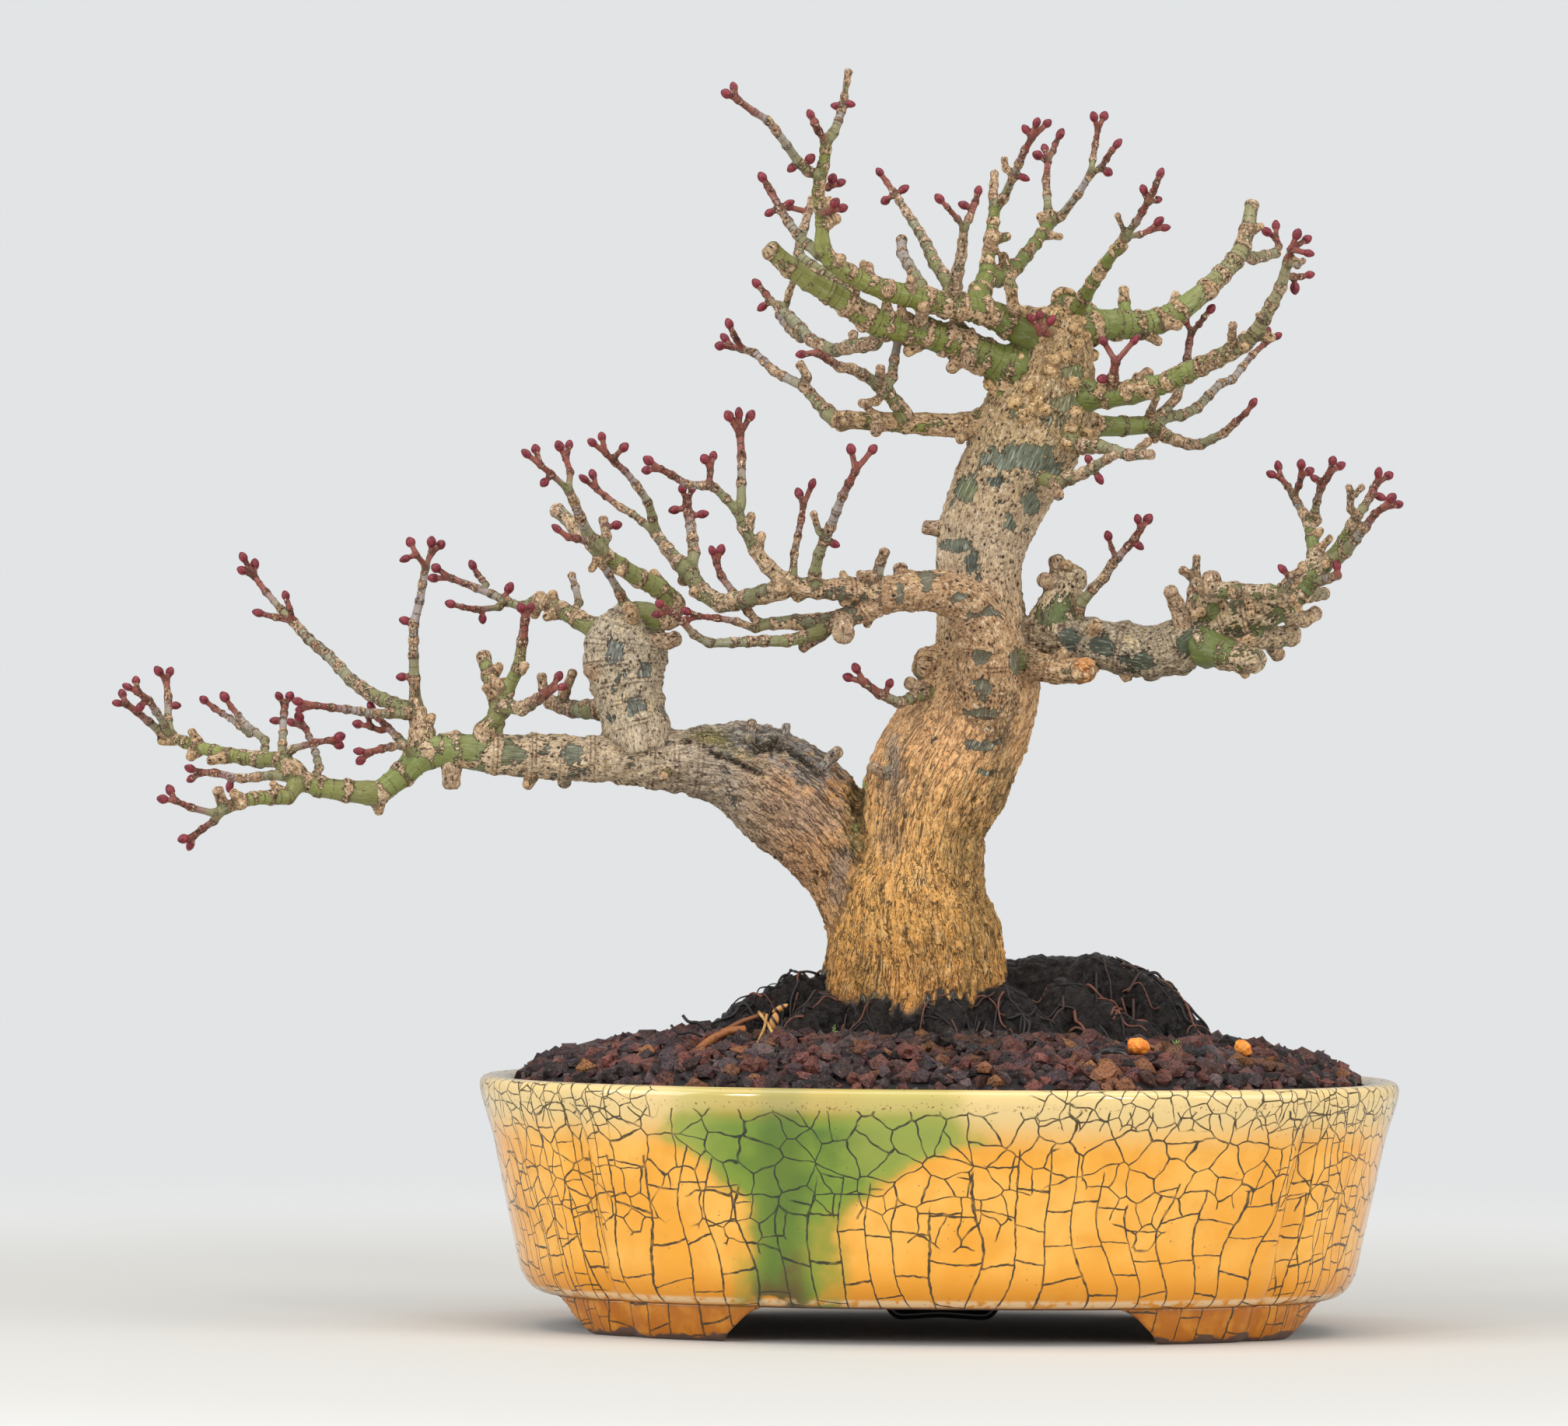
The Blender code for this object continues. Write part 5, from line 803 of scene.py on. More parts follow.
grow("c1_c", "c1_s", -50, (1.0, 1.0), [(-33, 307.8), (-34, 310)], [(-35, 312)])
grow("c1_d", "c1_s", -60, (1.3, 0.9), [(-35.5, 297.3), (-38, 299.7), (-41, 304),
     (-44, 308), (-46, 310.5), (-49.5, 312.5), (-54, 315.8)],
     [(-56.7, 317.2), (-54.8, 318.9)], [(-39.6, 298.3), (-35, 300.6)])
grow("c1_e", "c1_s", -34, (0.9, 0.8), [(-30.3, 293.2)], [(-29.2, 295.6), (-27.2, 294.5)])
grow("c1_f", "c1_s", -46, (1.0, 0.8), [(-30.1, 286.9)], [(-28.5, 289.3), (-26.6, 288)])
grow("c1_g", "c1", -22, (1.5, 0.9), [(-32, 276), (-35.5, 278.5), (-38, 281),
     (-40.5, 284.3), (-42.5, 287.5), (-45, 292), (-46, 293.6)], [(-47.3, 295.8)],
     [(-45.4, 286.6), (-40.4, 289)])
grow("c1_h", "c1", -26, (1.6, 1.4), [(-20.2, 270), (-20.3, 273.2)])
grow("c2", "trunk", -26, (5.2, 2.4), [(24, 243.5), (15, 247.8), (10, 250.6), (5, 253),
     (0, 254.6), (-5, 256.2), (-10, 257), (-15, 257.5), (-20, 259.8), (-25, 263.6),
     (-30, 266.4), (-35, 269.3), (-40, 272.6), (-45, 277.2)])
grow("c2_a", "c2", -6, (1.8, 0.9), [(-25, 266.8), (-28, 268.8), (-31, 271),
     (-34.5, 273.3), (-38, 275.8), (-37.3, 279), (-36.3, 283), (-35.3, 287),
     (-34.4, 290.5)], [], [(-40.6, 288.2)])
grow("c2_b", "c2", -20, (1.7, 1.5), [(-6, 259), (-6, 261.8)])
grow("c2_c", "c2", -2, (1.9, 1.6), [(3, 256), (3, 259.3)])
grow("c2_d", "c2", -16, (1.7, 1.4), [(6.5, 250), (6, 248)])
grow("c3", "c2", 24, (2, 1.3), [(-18, 253.3), (-21, 252.8), (-25, 252.2), (-28, 251.3),
     (-32, 252.7), (-34.5, 254), (-37, 257), (-40, 260), (-43, 262.8)])
grow("c3_a", "c3", 34, (1.1, 0.9), [(-45, 264), (-46.1, 265.8)], [(-48.5, 268.4)],
     [(-47, 262.4)])
grow("c3_b", "c3", 16, (0.9, 0.8), [(-40.8, 263.3), (-40.2, 266), (-39, 269.3),
     (-38, 272)])
grow("c3_c", "c3", 2, (1.3, 1.1), [(-23.6, 255.6)])
grow("c3_d", "c3", 34, (1.3, 1.2), [(-37, 254.6), (-40, 257), (-42.5, 260.5)])
grow("c4", "trunk", -8, (3.5, 2.1), [(14, 232.5), (5, 232.2), (-5, 232.6), (-10, 233),
     (-17, 233.1), (-25, 233.6), (-28.5, 233.8)])
grow("c4_a", "c4", 14, (1.7, 0.9), [(-30.3, 235.8), (-32.5, 237.8), (-34.5, 240.3),
     (-36, 242), (-41.5, 244.6), (-44, 246), (-46.5, 248.5), (-49, 250.7), (-52, 251.4)])
grow("c4_b", "c4_a", 18, (0.9, 0.8), [(-54.5, 252)], [(-57.9, 252.3), (-56.6, 254.3)])
grow("c4_c", "c4_a", 10, (0.9, 0.8), [(-53.5, 253.8), (-54.4, 255.4)], [(-55.5, 258)])
grow("c4_d", "c4_a", 2, (1.0, 1.1), [(-35.2, 244.5), (-37.3, 247.9)])
grow("c4_e", "c4", -14, (1.6, 1.3), [(-17.5, 230.6)])
grow("c4_f", "c4", -28, (2, 1), [(-10.5, 235.5), (-14.5, 240.5), (-17, 242.6),
     (-21, 245.3), (-24, 246.8), (-27, 247), (-30, 249.3), (-33, 250.8)],
     [(-36.9, 250.3)])
grow("c4_g", "c4_f", -28, (1.3, 1.1), [(-16.6, 244), (-16.5, 246.7)])
grow("c4_h", "c4_f", -22, (1.2, 1), [(-17.5, 238.3), (-21.3, 237.8)])
grow("c4_i", "c4_f", -2, (1.5, 0.9), [(-13.5, 244.5), (-13, 249), (-12, 254),
     (-10.5, 260)], [(-11.2, 262.6)])

# Upright shoots along the crown's top.
region = "crown_right"
grow("c5", "c1", 2, (3.2, 2.4), [(9, 267), (10.5, 270)])
grow("c5_a", "c1", 28, (2, 0.8), [(1.5, 267.5), (-0.5, 271), (-2.8, 274), (-5, 279),
     (-6.8, 282), (-10, 287), (-12, 290), (-15.3, 294.8)], [(-17.1, 297.3)],
     [(-15.6, 290), (-10.9, 293)])
grow("c5_b", "c1", 12, (1.7, 1.3), [(-6.3, 268.5), (-8, 271), (-11.2, 276.5),
     (-11.3, 280)])
grow("c5_c", "c1", -34, (1.9, 1.1), [(2.5, 268), (3.2, 272), (4.1, 276), (4.7, 283.2)])
grow("c5_d", "c5_c", -44, (0.9, 0.7), [(3, 285.5), (0.2, 288.6)], [(-1.7, 290.6)])
grow("c5_e", "c5_c", -28, (1.0, 0.9), [(6, 285.5), (7.6, 289.8)], [(8.3, 292.7)],
     [(4.6, 289)])
grow("c5_f", "c5", 16, (1.9, 1.5), [(10.8, 274), (11.8, 281), (12.6, 288.5)])
grow("c5_g", "c5_f", 24, (1.2, 1.0), [(12.1, 291.5), (12.3, 294.3), (12.5, 297.3)])
grow("c5_h", "c5_f", 2, (1.3, 0.9), [(14.8, 290.8), (17.2, 296.3), (20.2, 303.3),
     (22, 306.5)], [(23.2, 310.4), (25.9, 310.2)], [(20, 296.2), (20.4, 308.6)])
grow("c5_i", "c5_h", 12, (0.9, 0.8), [(15.3, 298.3), (14.9, 301)])
grow("c5_j", "c5", 38, (2.2, 1.5), [(13.5, 270.3), (16, 270.8), (18.3, 273.3),
     (23, 279.3), (26.5, 284.3)])
grow("c5_k", "c5_j", 52, (1.2, 0.9), [(26.3, 288), (25.7, 295.5), (26.2, 300.6)],
     [(23.5, 302), (25.3, 303.8)])
grow("c5_l", "c5_k", 60, (0.8, 0.8), [(27.4, 303), (28, 304.9)], [(29.3, 307.5)])
grow("c5_m", "c5_j", 32, (1.2, 1.0), [(29.5, 286.2), (34, 292), (37.3, 297.6)])
grow("c5_n", "c5_m", 40, (0.9, 0.8), [(37.7, 301), (38.9, 308.7)],
     [(37.9, 312), (40.5, 312.2)])
grow("c5_o", "c5_m", 20, (0.9, 0.8), [(39.7, 298.8), (42.6, 303.4)], [(44, 305.1)],
     [(41.6, 297.8)])
grow("c6", "trunk", -34, (2.1, 1.4), [(34, 262.5), (38, 269.5), (41, 274), (46.3, 281.3)])
grow("c6_a", "c6", -40, (0.8, 0.7), [(44.1, 286.7)])
grow("c6_b", "c6", -48, (1.1, 0.9), [(49, 285), (52, 290.3)], [(50.8, 293.4), (54.4, 290.8)])
grow("c6_c", "c6_b", -54, (0.9, 0.8), [(53.3, 292.8), (54.1, 295)], [(55.1, 297.5)])
grow("c6_d", "c6", -24, (0.9, 0.8), [(50, 281.7), (52.6, 283)], [(54.8, 285.2), (56.4, 283.6)])
grow("head", "trunk", 8, (2.6, 1.6), [(31, 264), (30, 266.5)])
grow("he_a", "trunk", -14, (2.2, 1.4), [(17.5, 262), (17, 267.3)])
grow("he_b", "trunk", -16, (1.3, 1), [(24.5, 256.5)], [(22.3, 260), (24.4, 260.8), (27.3, 259.6)])
grow("he_c", "trunk", -6, (3.4, 2.4), [(18, 241), (14.8, 241.5)])

# The crown's right side, from the thick upper branch down to the thin lowest one.
grow("c7", "trunk", 26, (4.3, 1.7), [(32, 258), (38, 258.3), (50, 258.6), (55, 259.6),
     (60, 262), (67.5, 268), (74.5, 275.3), (76.5, 279), (77.5, 283), (78.7, 289.8)])
grow("c7_a", "c7", 14, (1.9, 1.2), [(46.2, 262), (45.9, 267.6)])
grow("c7_b", "c7", 38, (1.8, 1.3), [(79, 275.9), (82, 276.5), (85, 277.4)])
grow("c7_c", "c7_b", 46, (1.0, 0.8), [(85.8, 279), (85, 281)], [(82.5, 282.8), (84.9, 284.4)])
grow("c8", "trunk", -42, (3.7, 1.3), [(34, 240.5), (42, 240.3), (48, 240.9), (58, 244),
     (62, 246.3), (70, 250), (77, 253.7), (80, 256.7), (82, 260.3), (86.3, 268.5),
     (88.2, 275.5)])
grow("c8_a", "c8", -48, (1.2, 0.9), [(88.8, 278.3)],
     [(90.4, 282.2), (92.9, 280.9), (93.4, 277.3)])
grow("c8_b", "c8", -32, (1.0, 0.8), [(89.5, 271.2), (91.4, 271.3)], [(93.7, 271.8)],
     [(89.9, 268.3)])
grow("c8_c", "c8", -56, (0.8, 0.7), [(90.5, 274), (92, 275.4)])
grow("c8_d", "c8", -16, (1.5, 1.1), [(43.3, 245), (44, 249)], [(40.8, 254.3), (48.8, 254.6)],
     [(40.6, 244.6)])
grow("c8_e", "c8", -12, (1.7, 1.3), [(50.5, 244.5), (52.5, 246.4)])
grow("c8_f", "c8", -36, (1.1, 1), [(73.7, 253.3), (74, 258.7)])
grow("c8_g", "c8", -44, (0.9, 0.7), [(80.6, 261.3)])
grow("c9", "trunk", 16, (3.3, 2.3), [(38, 232.5), (46, 232.4), (54, 233)])
grow("c9_a", "c9", 52, (1.6, 0.8), [(58, 235.3), (61, 235.3), (65, 237.3), (71, 243.7),
     (74, 244.6), (79, 251), (82.3, 254)], [(83, 257), (85.6, 256)])
grow("c9_b", "c9", -10, (1.8, 0.8), [(57, 229.9), (63, 227.9), (66, 227.9), (72, 230.9),
     (75, 233.8), (77.7, 236.2)], [(79.4, 238.7)])
grow("c9_c", "c9", 26, (1.3, 0.9), [(56, 235.8), (59.8, 240), (61.8, 246), (62.9, 254),
     (63.4, 256.8)], [(61.7, 259.8)])
grow("c9_d", "c9_c", 18, (0.8, 0.8), [(65.3, 258.8), (66.6, 260.6)], [(68.4, 262.8)])
grow("c9_e", "c9", 10, (1.1, 0.9), [(53, 236), (54.6, 240)])
grow("c10", "trunk", -30, (2.5, 1.2), [(36, 227.2), (40, 227.3), (47.5, 225),
     (53.3, 225.2)])
grow("c10_a", "c10", -22, (1.1, 1), [(50.5, 226.8), (52.5, 228.6)])
grow("c11", "trunk", -38, (2.3, 1.1), [(29, 217.5), (36, 220.3), (42, 224), (44, 225.2)],
     [], [(37.2, 223.9), (40, 218.9)])
grow("c11_a", "c11", -22, (1.6, 1.3), [(29.5, 214.5)])


# Small snags and knobs seen on the old stems, then the many short spurs that pinching back each
# year left beside the rings.
region = "front"
grow("kn_a", "trunk", -15, (2.2, 1.3), [(-15.5, 143), (-17.6, 144.4)])
grow("kn_b", "trunk", -12, (2.4, 1.5), [(-5, 164.5), (-8.5, 166)])
grow("kn_c", "tr_c", -17, (2.4, 2.2), [(35.2, 169.6), (37.4, 169.5)])
region = "left"
grow("kn_d", "left", -6, (1.9, 1.4), [(-28, 147), (-26.6, 148.2)])
grow("kn_e", "left", 0, (1.4, 0.9), [(-40, 153), (-40, 154.8)])
grow("kn_f", "left", -4, (1.5, 1.0), [(-49, 154.4), (-48.8, 155.6)])
grow("kn_g", "sub", -6, (2.2, 1.6), [(-88, 168), (-91, 168.6)])
grow("kn_h", "sub", -8, (2.3, 1.8), [(-70.5, 176), (-68.6, 177)])
SPUR_ODDS = {"right": 0.55, "slate": 0.45, "olive": 0.26, "cork_olive": 0.5, "lens": 0.35, "arch": 0.3,
             "sub": 0.16, "fawn": 0.3, "left": 0.1, "cork": 0.2}
luck = random.Random(7)
for strand in strands[:]:
    odds = SPUR_ODDS.get(strand.look, 0)
    for mark in strand.scars:
        k = min(len(strand.along) - 1, int(mark / (strand.along[1] - strand.along[0])))
        wide = strand.radius[k]
        for _ in range(2):
            turn = luck.uniform(0, math.tau)
            if luck.random() > odds or wide < 1.5:
                continue
            out = strand.side[k] * math.cos(turn) + strand.over[k] * math.sin(turn)
            out = out + strand.ahead[k] * luck.uniform(0.1, 0.7)
            out /= np.linalg.norm(out)
            girth = luck.uniform(0.75, 1.2) * (1.2 if wide > 4 else 1.0)
            reach = wide + luck.choice((0.7, 1.0, 1.5, 2.2, 3.0))
            bend = strand.ahead[k] * luck.uniform(-0.6, 0.9)
            start = strand.points[k] + out * (wide * 0.4)
            rows = [(*start, girth * 1.9), (*(strand.points[k] + out * (wide + 0.2)), girth * 1.35)]
            rows.append((*(strand.points[k] + out * reach + bend * 0.6), girth))
            rows.append((*(strand.points[k] + out * (reach + 0.5) + bend), girth * 0.9))
            part = "spurs" if strand.part == "thick" else strand.part
            if strand.look in ("sub", "left"):
                part = "left"
            strands.append(Strand(rows, "spur", part, 0.0, 0.0, False, 0.4))
crown_stem = strands[0]
for _ in range(64):
    k = int(luck.uniform(0.83, 0.985) * len(crown_stem.along))
    turn = luck.uniform(0, math.tau)
    out = crown_stem.side[k] * math.cos(turn) + crown_stem.over[k] * math.sin(turn)
    if out[1] > 0.5:
        continue
    wide = crown_stem.radius[k]
    girth = luck.uniform(0.8, 1.35)
    reach = wide + luck.choice((0.6, 1.0, 1.6, 2.4))
    lean = np.array((luck.uniform(-0.8, 0.8), 0, luck.uniform(-0.2, 1.4)))
    rows = [(*(crown_stem.points[k] + out * wide * 0.75), girth * 1.7)]
    rows.append((*(crown_stem.points[k] + out * (wide + 0.1) + lean * 0.3), girth * 1.3))
    rows.append((*(crown_stem.points[k] + out * reach + lean), girth))
    strands.append(Strand(rows, "knob", "spurs", 0.0, 0.0, False, 0.4))


# Roots. Old surface roots have grown together into a low black mound, kept wet; heavier roots
# still show as ridges that dive into the grit, the heaviest to the right.
def root(rows, step=0.9):
    strands.append(Strand(placed(rows), "root", "roots", NO_RINGS, 0, False, step))


root([(-20, 86, 0, 9), (-33, 84, -3, 6), (-44, 81.5, -6, 6), (-52, 76.5, -10, 5.5), (-59, 71, -14, 4.5),
      (-66, 65, -17, 3.5)])
root([(-39, 78, -4, 7), (-37, 84, -4, 7), (-36, 88.5, -4, 4.2)])
root([(-26, 80, -14, 7), (-36, 74.5, -22, 5.5), (-44, 69, -28, 4.5), (-51, 63, -32, 3.5)])
root([(-14, 80, -16, 8), (-19, 73, -27, 6), (-24, 66, -34, 4)])
root([(0, 80, -18, 8), (2, 73, -28, 6.5), (4, 65, -36, 5)])
root([(2, 84, 2, 12), (18, 86.2, 2, 9.2), (30, 86.6, 2, 10), (42, 87.2, 1, 9.6), (50, 84.2, -1, 8.2),
      (57, 80.8, -4, 7.6), (63, 75, -7, 6.6), (67, 69, -10, 5.2), (70, 63, -12, 4)])
root([(51, 86, -6, 4), (52.5, 88.6, -5, 3.6), (49, 90, -4, 3)])
root([(30, 82, -8, 9), (41, 78.5, -15, 6.5), (50, 75.5, -19, 4.4), (57, 72, -22, 3.6), (63, 68, -25, 3.2),
      (68, 63, -27, 3)])
root([(14, 80, -12, 10), (22, 75, -20, 8), (29, 69, -27, 6), (33, 64, -30, 5)])
root([(36, 80, -12, 7), (40, 73, -20, 5.6), (45, 66, -27, 4.6)])
root([(26, 90, -3, 4), (33, 93.2, 0, 3.4), (42, 93, 1, 3)])
luck = random.Random(11)
for number in range(9):
    turn = math.radians(18 + number * 18 + luck.uniform(-5, 5))
    reach = luck.uniform(0.92, 1.05)
    width = luck.uniform(4.5, 7.5)
    rows = []
    for share in (0.2, 0.45, 0.7, 0.9, 1.08):
        x = 6 + math.cos(turn) * 60 * share * reach
        y = math.sin(turn) * 31 * share * reach
        z = 87 - 17 * share**2.2 + luck.uniform(-1, 1)
        rows.append((x, z, y, width * (1.15 - 0.55 * share)))
    root(rows)
for number in range(46):
    turn = luck.uniform(0, math.tau)
    share = luck.uniform(0.5, 0.86)
    width = luck.uniform(0.8, 2.2)
    rows = []
    for k in range(5):
        reach = share + k * luck.uniform(0.05, 0.11)
        bend = turn + 0.10 * k * luck.uniform(-1, 1)
        x = 6 + math.cos(bend) * 61 * reach
        y = math.sin(bend) * 33 * reach
        z = 88 - 19 * reach**2.4 + luck.uniform(-0.8, 0.8)
        rows.append((x, z, y, width * (1.1 - 0.15 * k)))
    root(rows, 0.6)


# Bark. Corky ridges over a thin green-grey skin: the skin shows in windows between ridges on old
# wood, and nearly everywhere on young wood, where only the ring scars are corky.
def paint_of(*stops):
    """Stops of (place, cork colour, skin colour, share of cork, depth of long cracks)."""
    places = [stop[0] for stop in stops]
    table = [(*colour(stop[1])[:3], *colour(stop[2])[:3], stop[3], stop[4]) for stop in stops]
    return places, np.array(table)


paints = {
    "trunk": ("z", paint_of(
        (84, "#DC9A4E", "#7A6038", 1.3, 1.0), (104, "#EFB05C", "#8A7040", 1.3, 1.0),
        (128, "#FFC274", "#75703F", 1.3, 1.0), (150, "#FFC284", "#746C58", 1.2, 0.85),
        (172, "#ECC08C", "#74745E", 1.05, 0.5), (200, "#E6CAA8", "#7A7E6A", 1.0, 0.36),
        (225, "#C9AB80", "#6E745F", 1.0, 0.3), (245, "#C09C6C", "#7A7F46", 0.92, 0.3),
        (262, "#C09C6C", "#76803A", 0.8, 0.2))),
    "left": ("x", paint_of(
        (-140, "#D2B48E", "#828A48", 0.16, 0.0), (-122, "#D2B48E", "#7C8248", 0.28, 0.05),
        (-106, "#DCC09C", "#74745C", 0.62, 0.2), (-75, "#D6BE9E", "#75766A", 0.8, 0.4),
        (-55, "#CDBAA4", "#8A8880", 1.1, 0.8),
        (-38, "#DEAA7C", "#8F8478", 1.2, 1.0), (-20, "#E2A868", "#86704A", 1.2, 1.0))),
    "sub": (
        "z", paint_of((147, "#D6C0A2", "#74756A", 0.85, 0.3), (185, "#D8C8AC", "#70736A", 0.82, 0.3)),
    ),
    "arch": (
        "z", paint_of((150, "#D0A06D", "#6C6650", 0.9, 0.2), (190, "#C39A70", "#68634E", 0.86, 0.1)),
    ),
    "right": ("x", paint_of((14, "#CDA980", "#666A54", 0.9, 0.15), (35, "#AEA188", "#4A5144", 0.88, 0.2),
                            (60, "#AC9B7F", "#464E34", 0.84, 0.15), (72, "#C8AE88", "#4F5930", 0.6, 0),
                            (95, "#C8AA82", "#646E34", 0.35, 0))),
    "slate": ("x", paint_of((28, "#D4BC98", "#5F6A3A", 0.45, 0), (110, "#C8AC88", "#767E3E", 0.34, 0))),
    "olive": ("x", paint_of((-45, "#BFA078", "#8C8A4C", 0.12, 0), (-10, "#D8B08A", "#7E8438", 0.16, 0),
                            (20, "#CDA87C", "#6A7232", 0.14, 0), (60, "#C6A276", "#7C8440", 0.13, 0),
                            (90, "#A98E72", "#98896C", 0.2, 0))),
    "cork_olive": (
        "x", paint_of((-30, "#D2AA7C", "#84863F", 0.78, 0.1), (35, "#CDA678", "#7A8338", 0.7, 0.1)),
    ),
    "lens": ("x", paint_of((-60, "#C8AA86", "#7C7A4C", 0.36, 0), (-20, "#D0A880", "#74705A", 0.6, 0.05))),
    "fawn": ("x", paint_of((-200, "#BC9C78", "#888C46", 0.14, 0), (-100, "#C8A680", "#80824A", 0.2, 0))),
    "cork": (
        "x", paint_of((-200, "#D0A678", "#7D8050", 0.92, 0.1), (120, "#CBA276", "#7D8050", 0.9, 0.1)),
    ),
    "knob": ("x", paint_of((-40, "#DDB27C", "#8A8A40", 0.75, 0), (60, "#E2B87C", "#8A8A40", 0.7, 0))),
    "branch": (
        "x", paint_of((-200, "#BC9A7C", "#8F8A72", 0.28, 0), (120, "#BC9C7C", "#8A8664", 0.26, 0)),
    ),
    "twig": ("x", paint_of((-200, "#B08C6C", "#A0928C", 0.16, 0), (120, "#B08C6C", "#9A8E86", 0.15, 0))),
    "stalk": ("x", paint_of((-200, "#8A4238", "#7E3A38", 0.2, 0), (120, "#8A4238", "#7E3A38", 0.2, 0))),
    "spur": ("x", paint_of((-200, "#CDA67C", "#8C8258", 0.72, 0), (120, "#D2AC80", "#7F8046", 0.7, 0))),
    "cut": ("x", paint_of((-20, "#D98D45", "#D98D45", 0.9, 0), (40, "#D98D45", "#D98D45", 0.9, 0))),
    "root": ("x", paint_of((-80, "#2A2423", "#1D1A1A", 0.5, 0.3), (90, "#2A2423", "#1D1A1A", 0.5, 0.3))),
}
TWIG_RED = np.array(colour("#864437")[:3])


def tube_mesh(name, sides, runs):
    """Round tubes with closed ends along runs of points, each point with its own radius."""
    data = bpy.data.curves.new(name, "CURVE")
    data.dimensions = "3D"
    data.bevel_depth = 1.0
    data.bevel_resolution = (sides - 4) // 2
    data.use_fill_caps = True
    for points, radius in runs:
        spline = data.splines.new("POLY")
        spline.points.add(len(points) - 1)
        spline.points.foreach_set("co", np.column_stack([points, np.ones(len(points))]).ravel())
        spline.points.foreach_set("radius", radius)
    return baked(data)


def tapered(strand):
    """A strand's points and radius, with one more point that rounds its end."""
    end = strand.points[-1] + strand.ahead[-1] * strand.radius[-1] * 0.45
    return np.vstack([strand.points, end]), np.append(strand.radius, strand.radius[-1] * 0.72)


# What the mesh of the bark keeps for its look, besides the two colours.
MEASURES = ("cork", "scar", "wet", "cracks", "girth")


def perlin(points):
    return np.array([noise.noise(point) for point in points.tolist()])


def fade(value, low, high):
    """A smooth step of an array between two limits."""
    t = np.clip((value - low) / (high - low), 0, 1)
    return t * t * (3 - 2 * t)


# Marks on the bark seen from the front: (x, height, half width, half height, colour, strength) and,
# where it isn't upright, the degrees that it leans. Most are the bark's own stains and patches; the
# near-black ones over the hollows of the left stem are painted shade in those holes and cracks.
STAINS_AND_PAINTED_SHADE = [
    (-21.5, 131, 3.2, 13, "#55521F", 0.85), (-44, 151, 20, 5.5, "#9B9C98", 0.85),
    (-34, 144, 11, 5.5, "#9C9C9A", 0.8),
    (-60, 151.5, 7, 2.6, "#6F6C30", 0.85), (-46, 149.4, 6, 2.4, "#24221A", 0.97),
    (-55, 146.2, 13.5, 1.1, "#241C12", 0.97, -25), (-36, 146, 9.5, 1.1, "#332E22", 0.9, -36),
    (-54, 148.5, 10, 1.4, "#8C8438", 0.5, -22),
    (-34, 132, 9, 6, "#B29E92", 0.5), (-26, 117, 3.2, 9, "#8B8480", 0.6),
    (-12, 140, 4, 8, "#96877F", 0.5), (-13, 126, 4, 6, "#9A8274", 0.45),
    (9, 112, 6, 30, "#75663A", 0.45), (15, 143, 4.5, 18, "#6C6440", 0.5),
    (13.5, 218, 3, 1.8, "#33362F", 0.8), (7.6, 197.2, 2, 3, "#3C4240", 0.75),
    (6.2, 215.6, 2.4, 3.2, "#767A44", 0.8), (32.4, 231.5, 2.8, 1.5, "#8E8C3C", 0.9),
    (4, 124, 5, 9, "#7C6A3C", 0.4), (-3, 97, 4, 9, "#7E5E33", 0.4), (-12.5, 147, 2.4, 7, "#9A958E", 0.6),
    (-20, 88, 5, 9, "#7B6A2E", 0.4), (23, 180, 4, 10, "#6A6248", 0.5), (30, 240, 4, 14, "#8C7B55", 0.5),
]
# Windows of smooth grey-green skin between the corky ridges: (x, height, half width, half height)
# and, for some, how they lean and bend.
WINDOWS = [
    (20, 224.6, 8.2, 4.4), (26, 220.5, 4.5, 3.2), (22.5, 213, 2.8, 3.6), (6.2, 215.6, 2.3, 3.1),
    (3.4, 201.3, 3.7, 1.9), (7.6, 197.2, 1.8, 3.0), (13.5, 218.0, 2.8, 1.4), (33, 246, 3.2, 2.4),
    (32.5, 238.6, 4, 2.2), (19.5, 236.5, 2.4, 2.2), (32.4, 231.5, 2.6, 1.3), (17, 207.5, 1.5, 2.4),
    (10.2, 165, 2.6, 3.0), (10.2, 173, 2.4, 2.2), (19.7, 171.5, 2.2, 3.6), (10.9, 158, 5.5, 1.3, 0, 0.05),
    (9.6, 149.8, 6, 1.5, -6, 0.06), (12.4, 143, 4.6, 0.8, 0, 0.05), (10, 184.4, 4.4, 1.2, 12, -0.05),
    (4.1, 188.3, 2.9, 1.4, 10),
    (-4.2, 192, 1.2, 2.8), (-11, 189.4, 1.1, 2.6), (33, 178, 3.2, 2.6),
    (41, 176, 3, 3), (52, 172, 3, 2.6), (63, 176.5, 2.8, 2.4), (-79, 160, 2.4, 3), (-84, 173, 2.2, 3),
    (-77, 169, 2, 2.2), (-95, 147, 3, 2.2), (-110, 147, 2.6, 2),
]
# Hollows in the thick stems: (x, height, half width, half height, depth) and how they lean.
HOLLOWS = [
    (-46, 149.4, 5.0, 2.1, 2.4, -12), (-55, 146.2, 13, 0.9, 1.7, -25), (-36, 146, 9, 0.9, 1.3, -36),
    (-21.5, 134, 1.8, 10, 1.2),
]


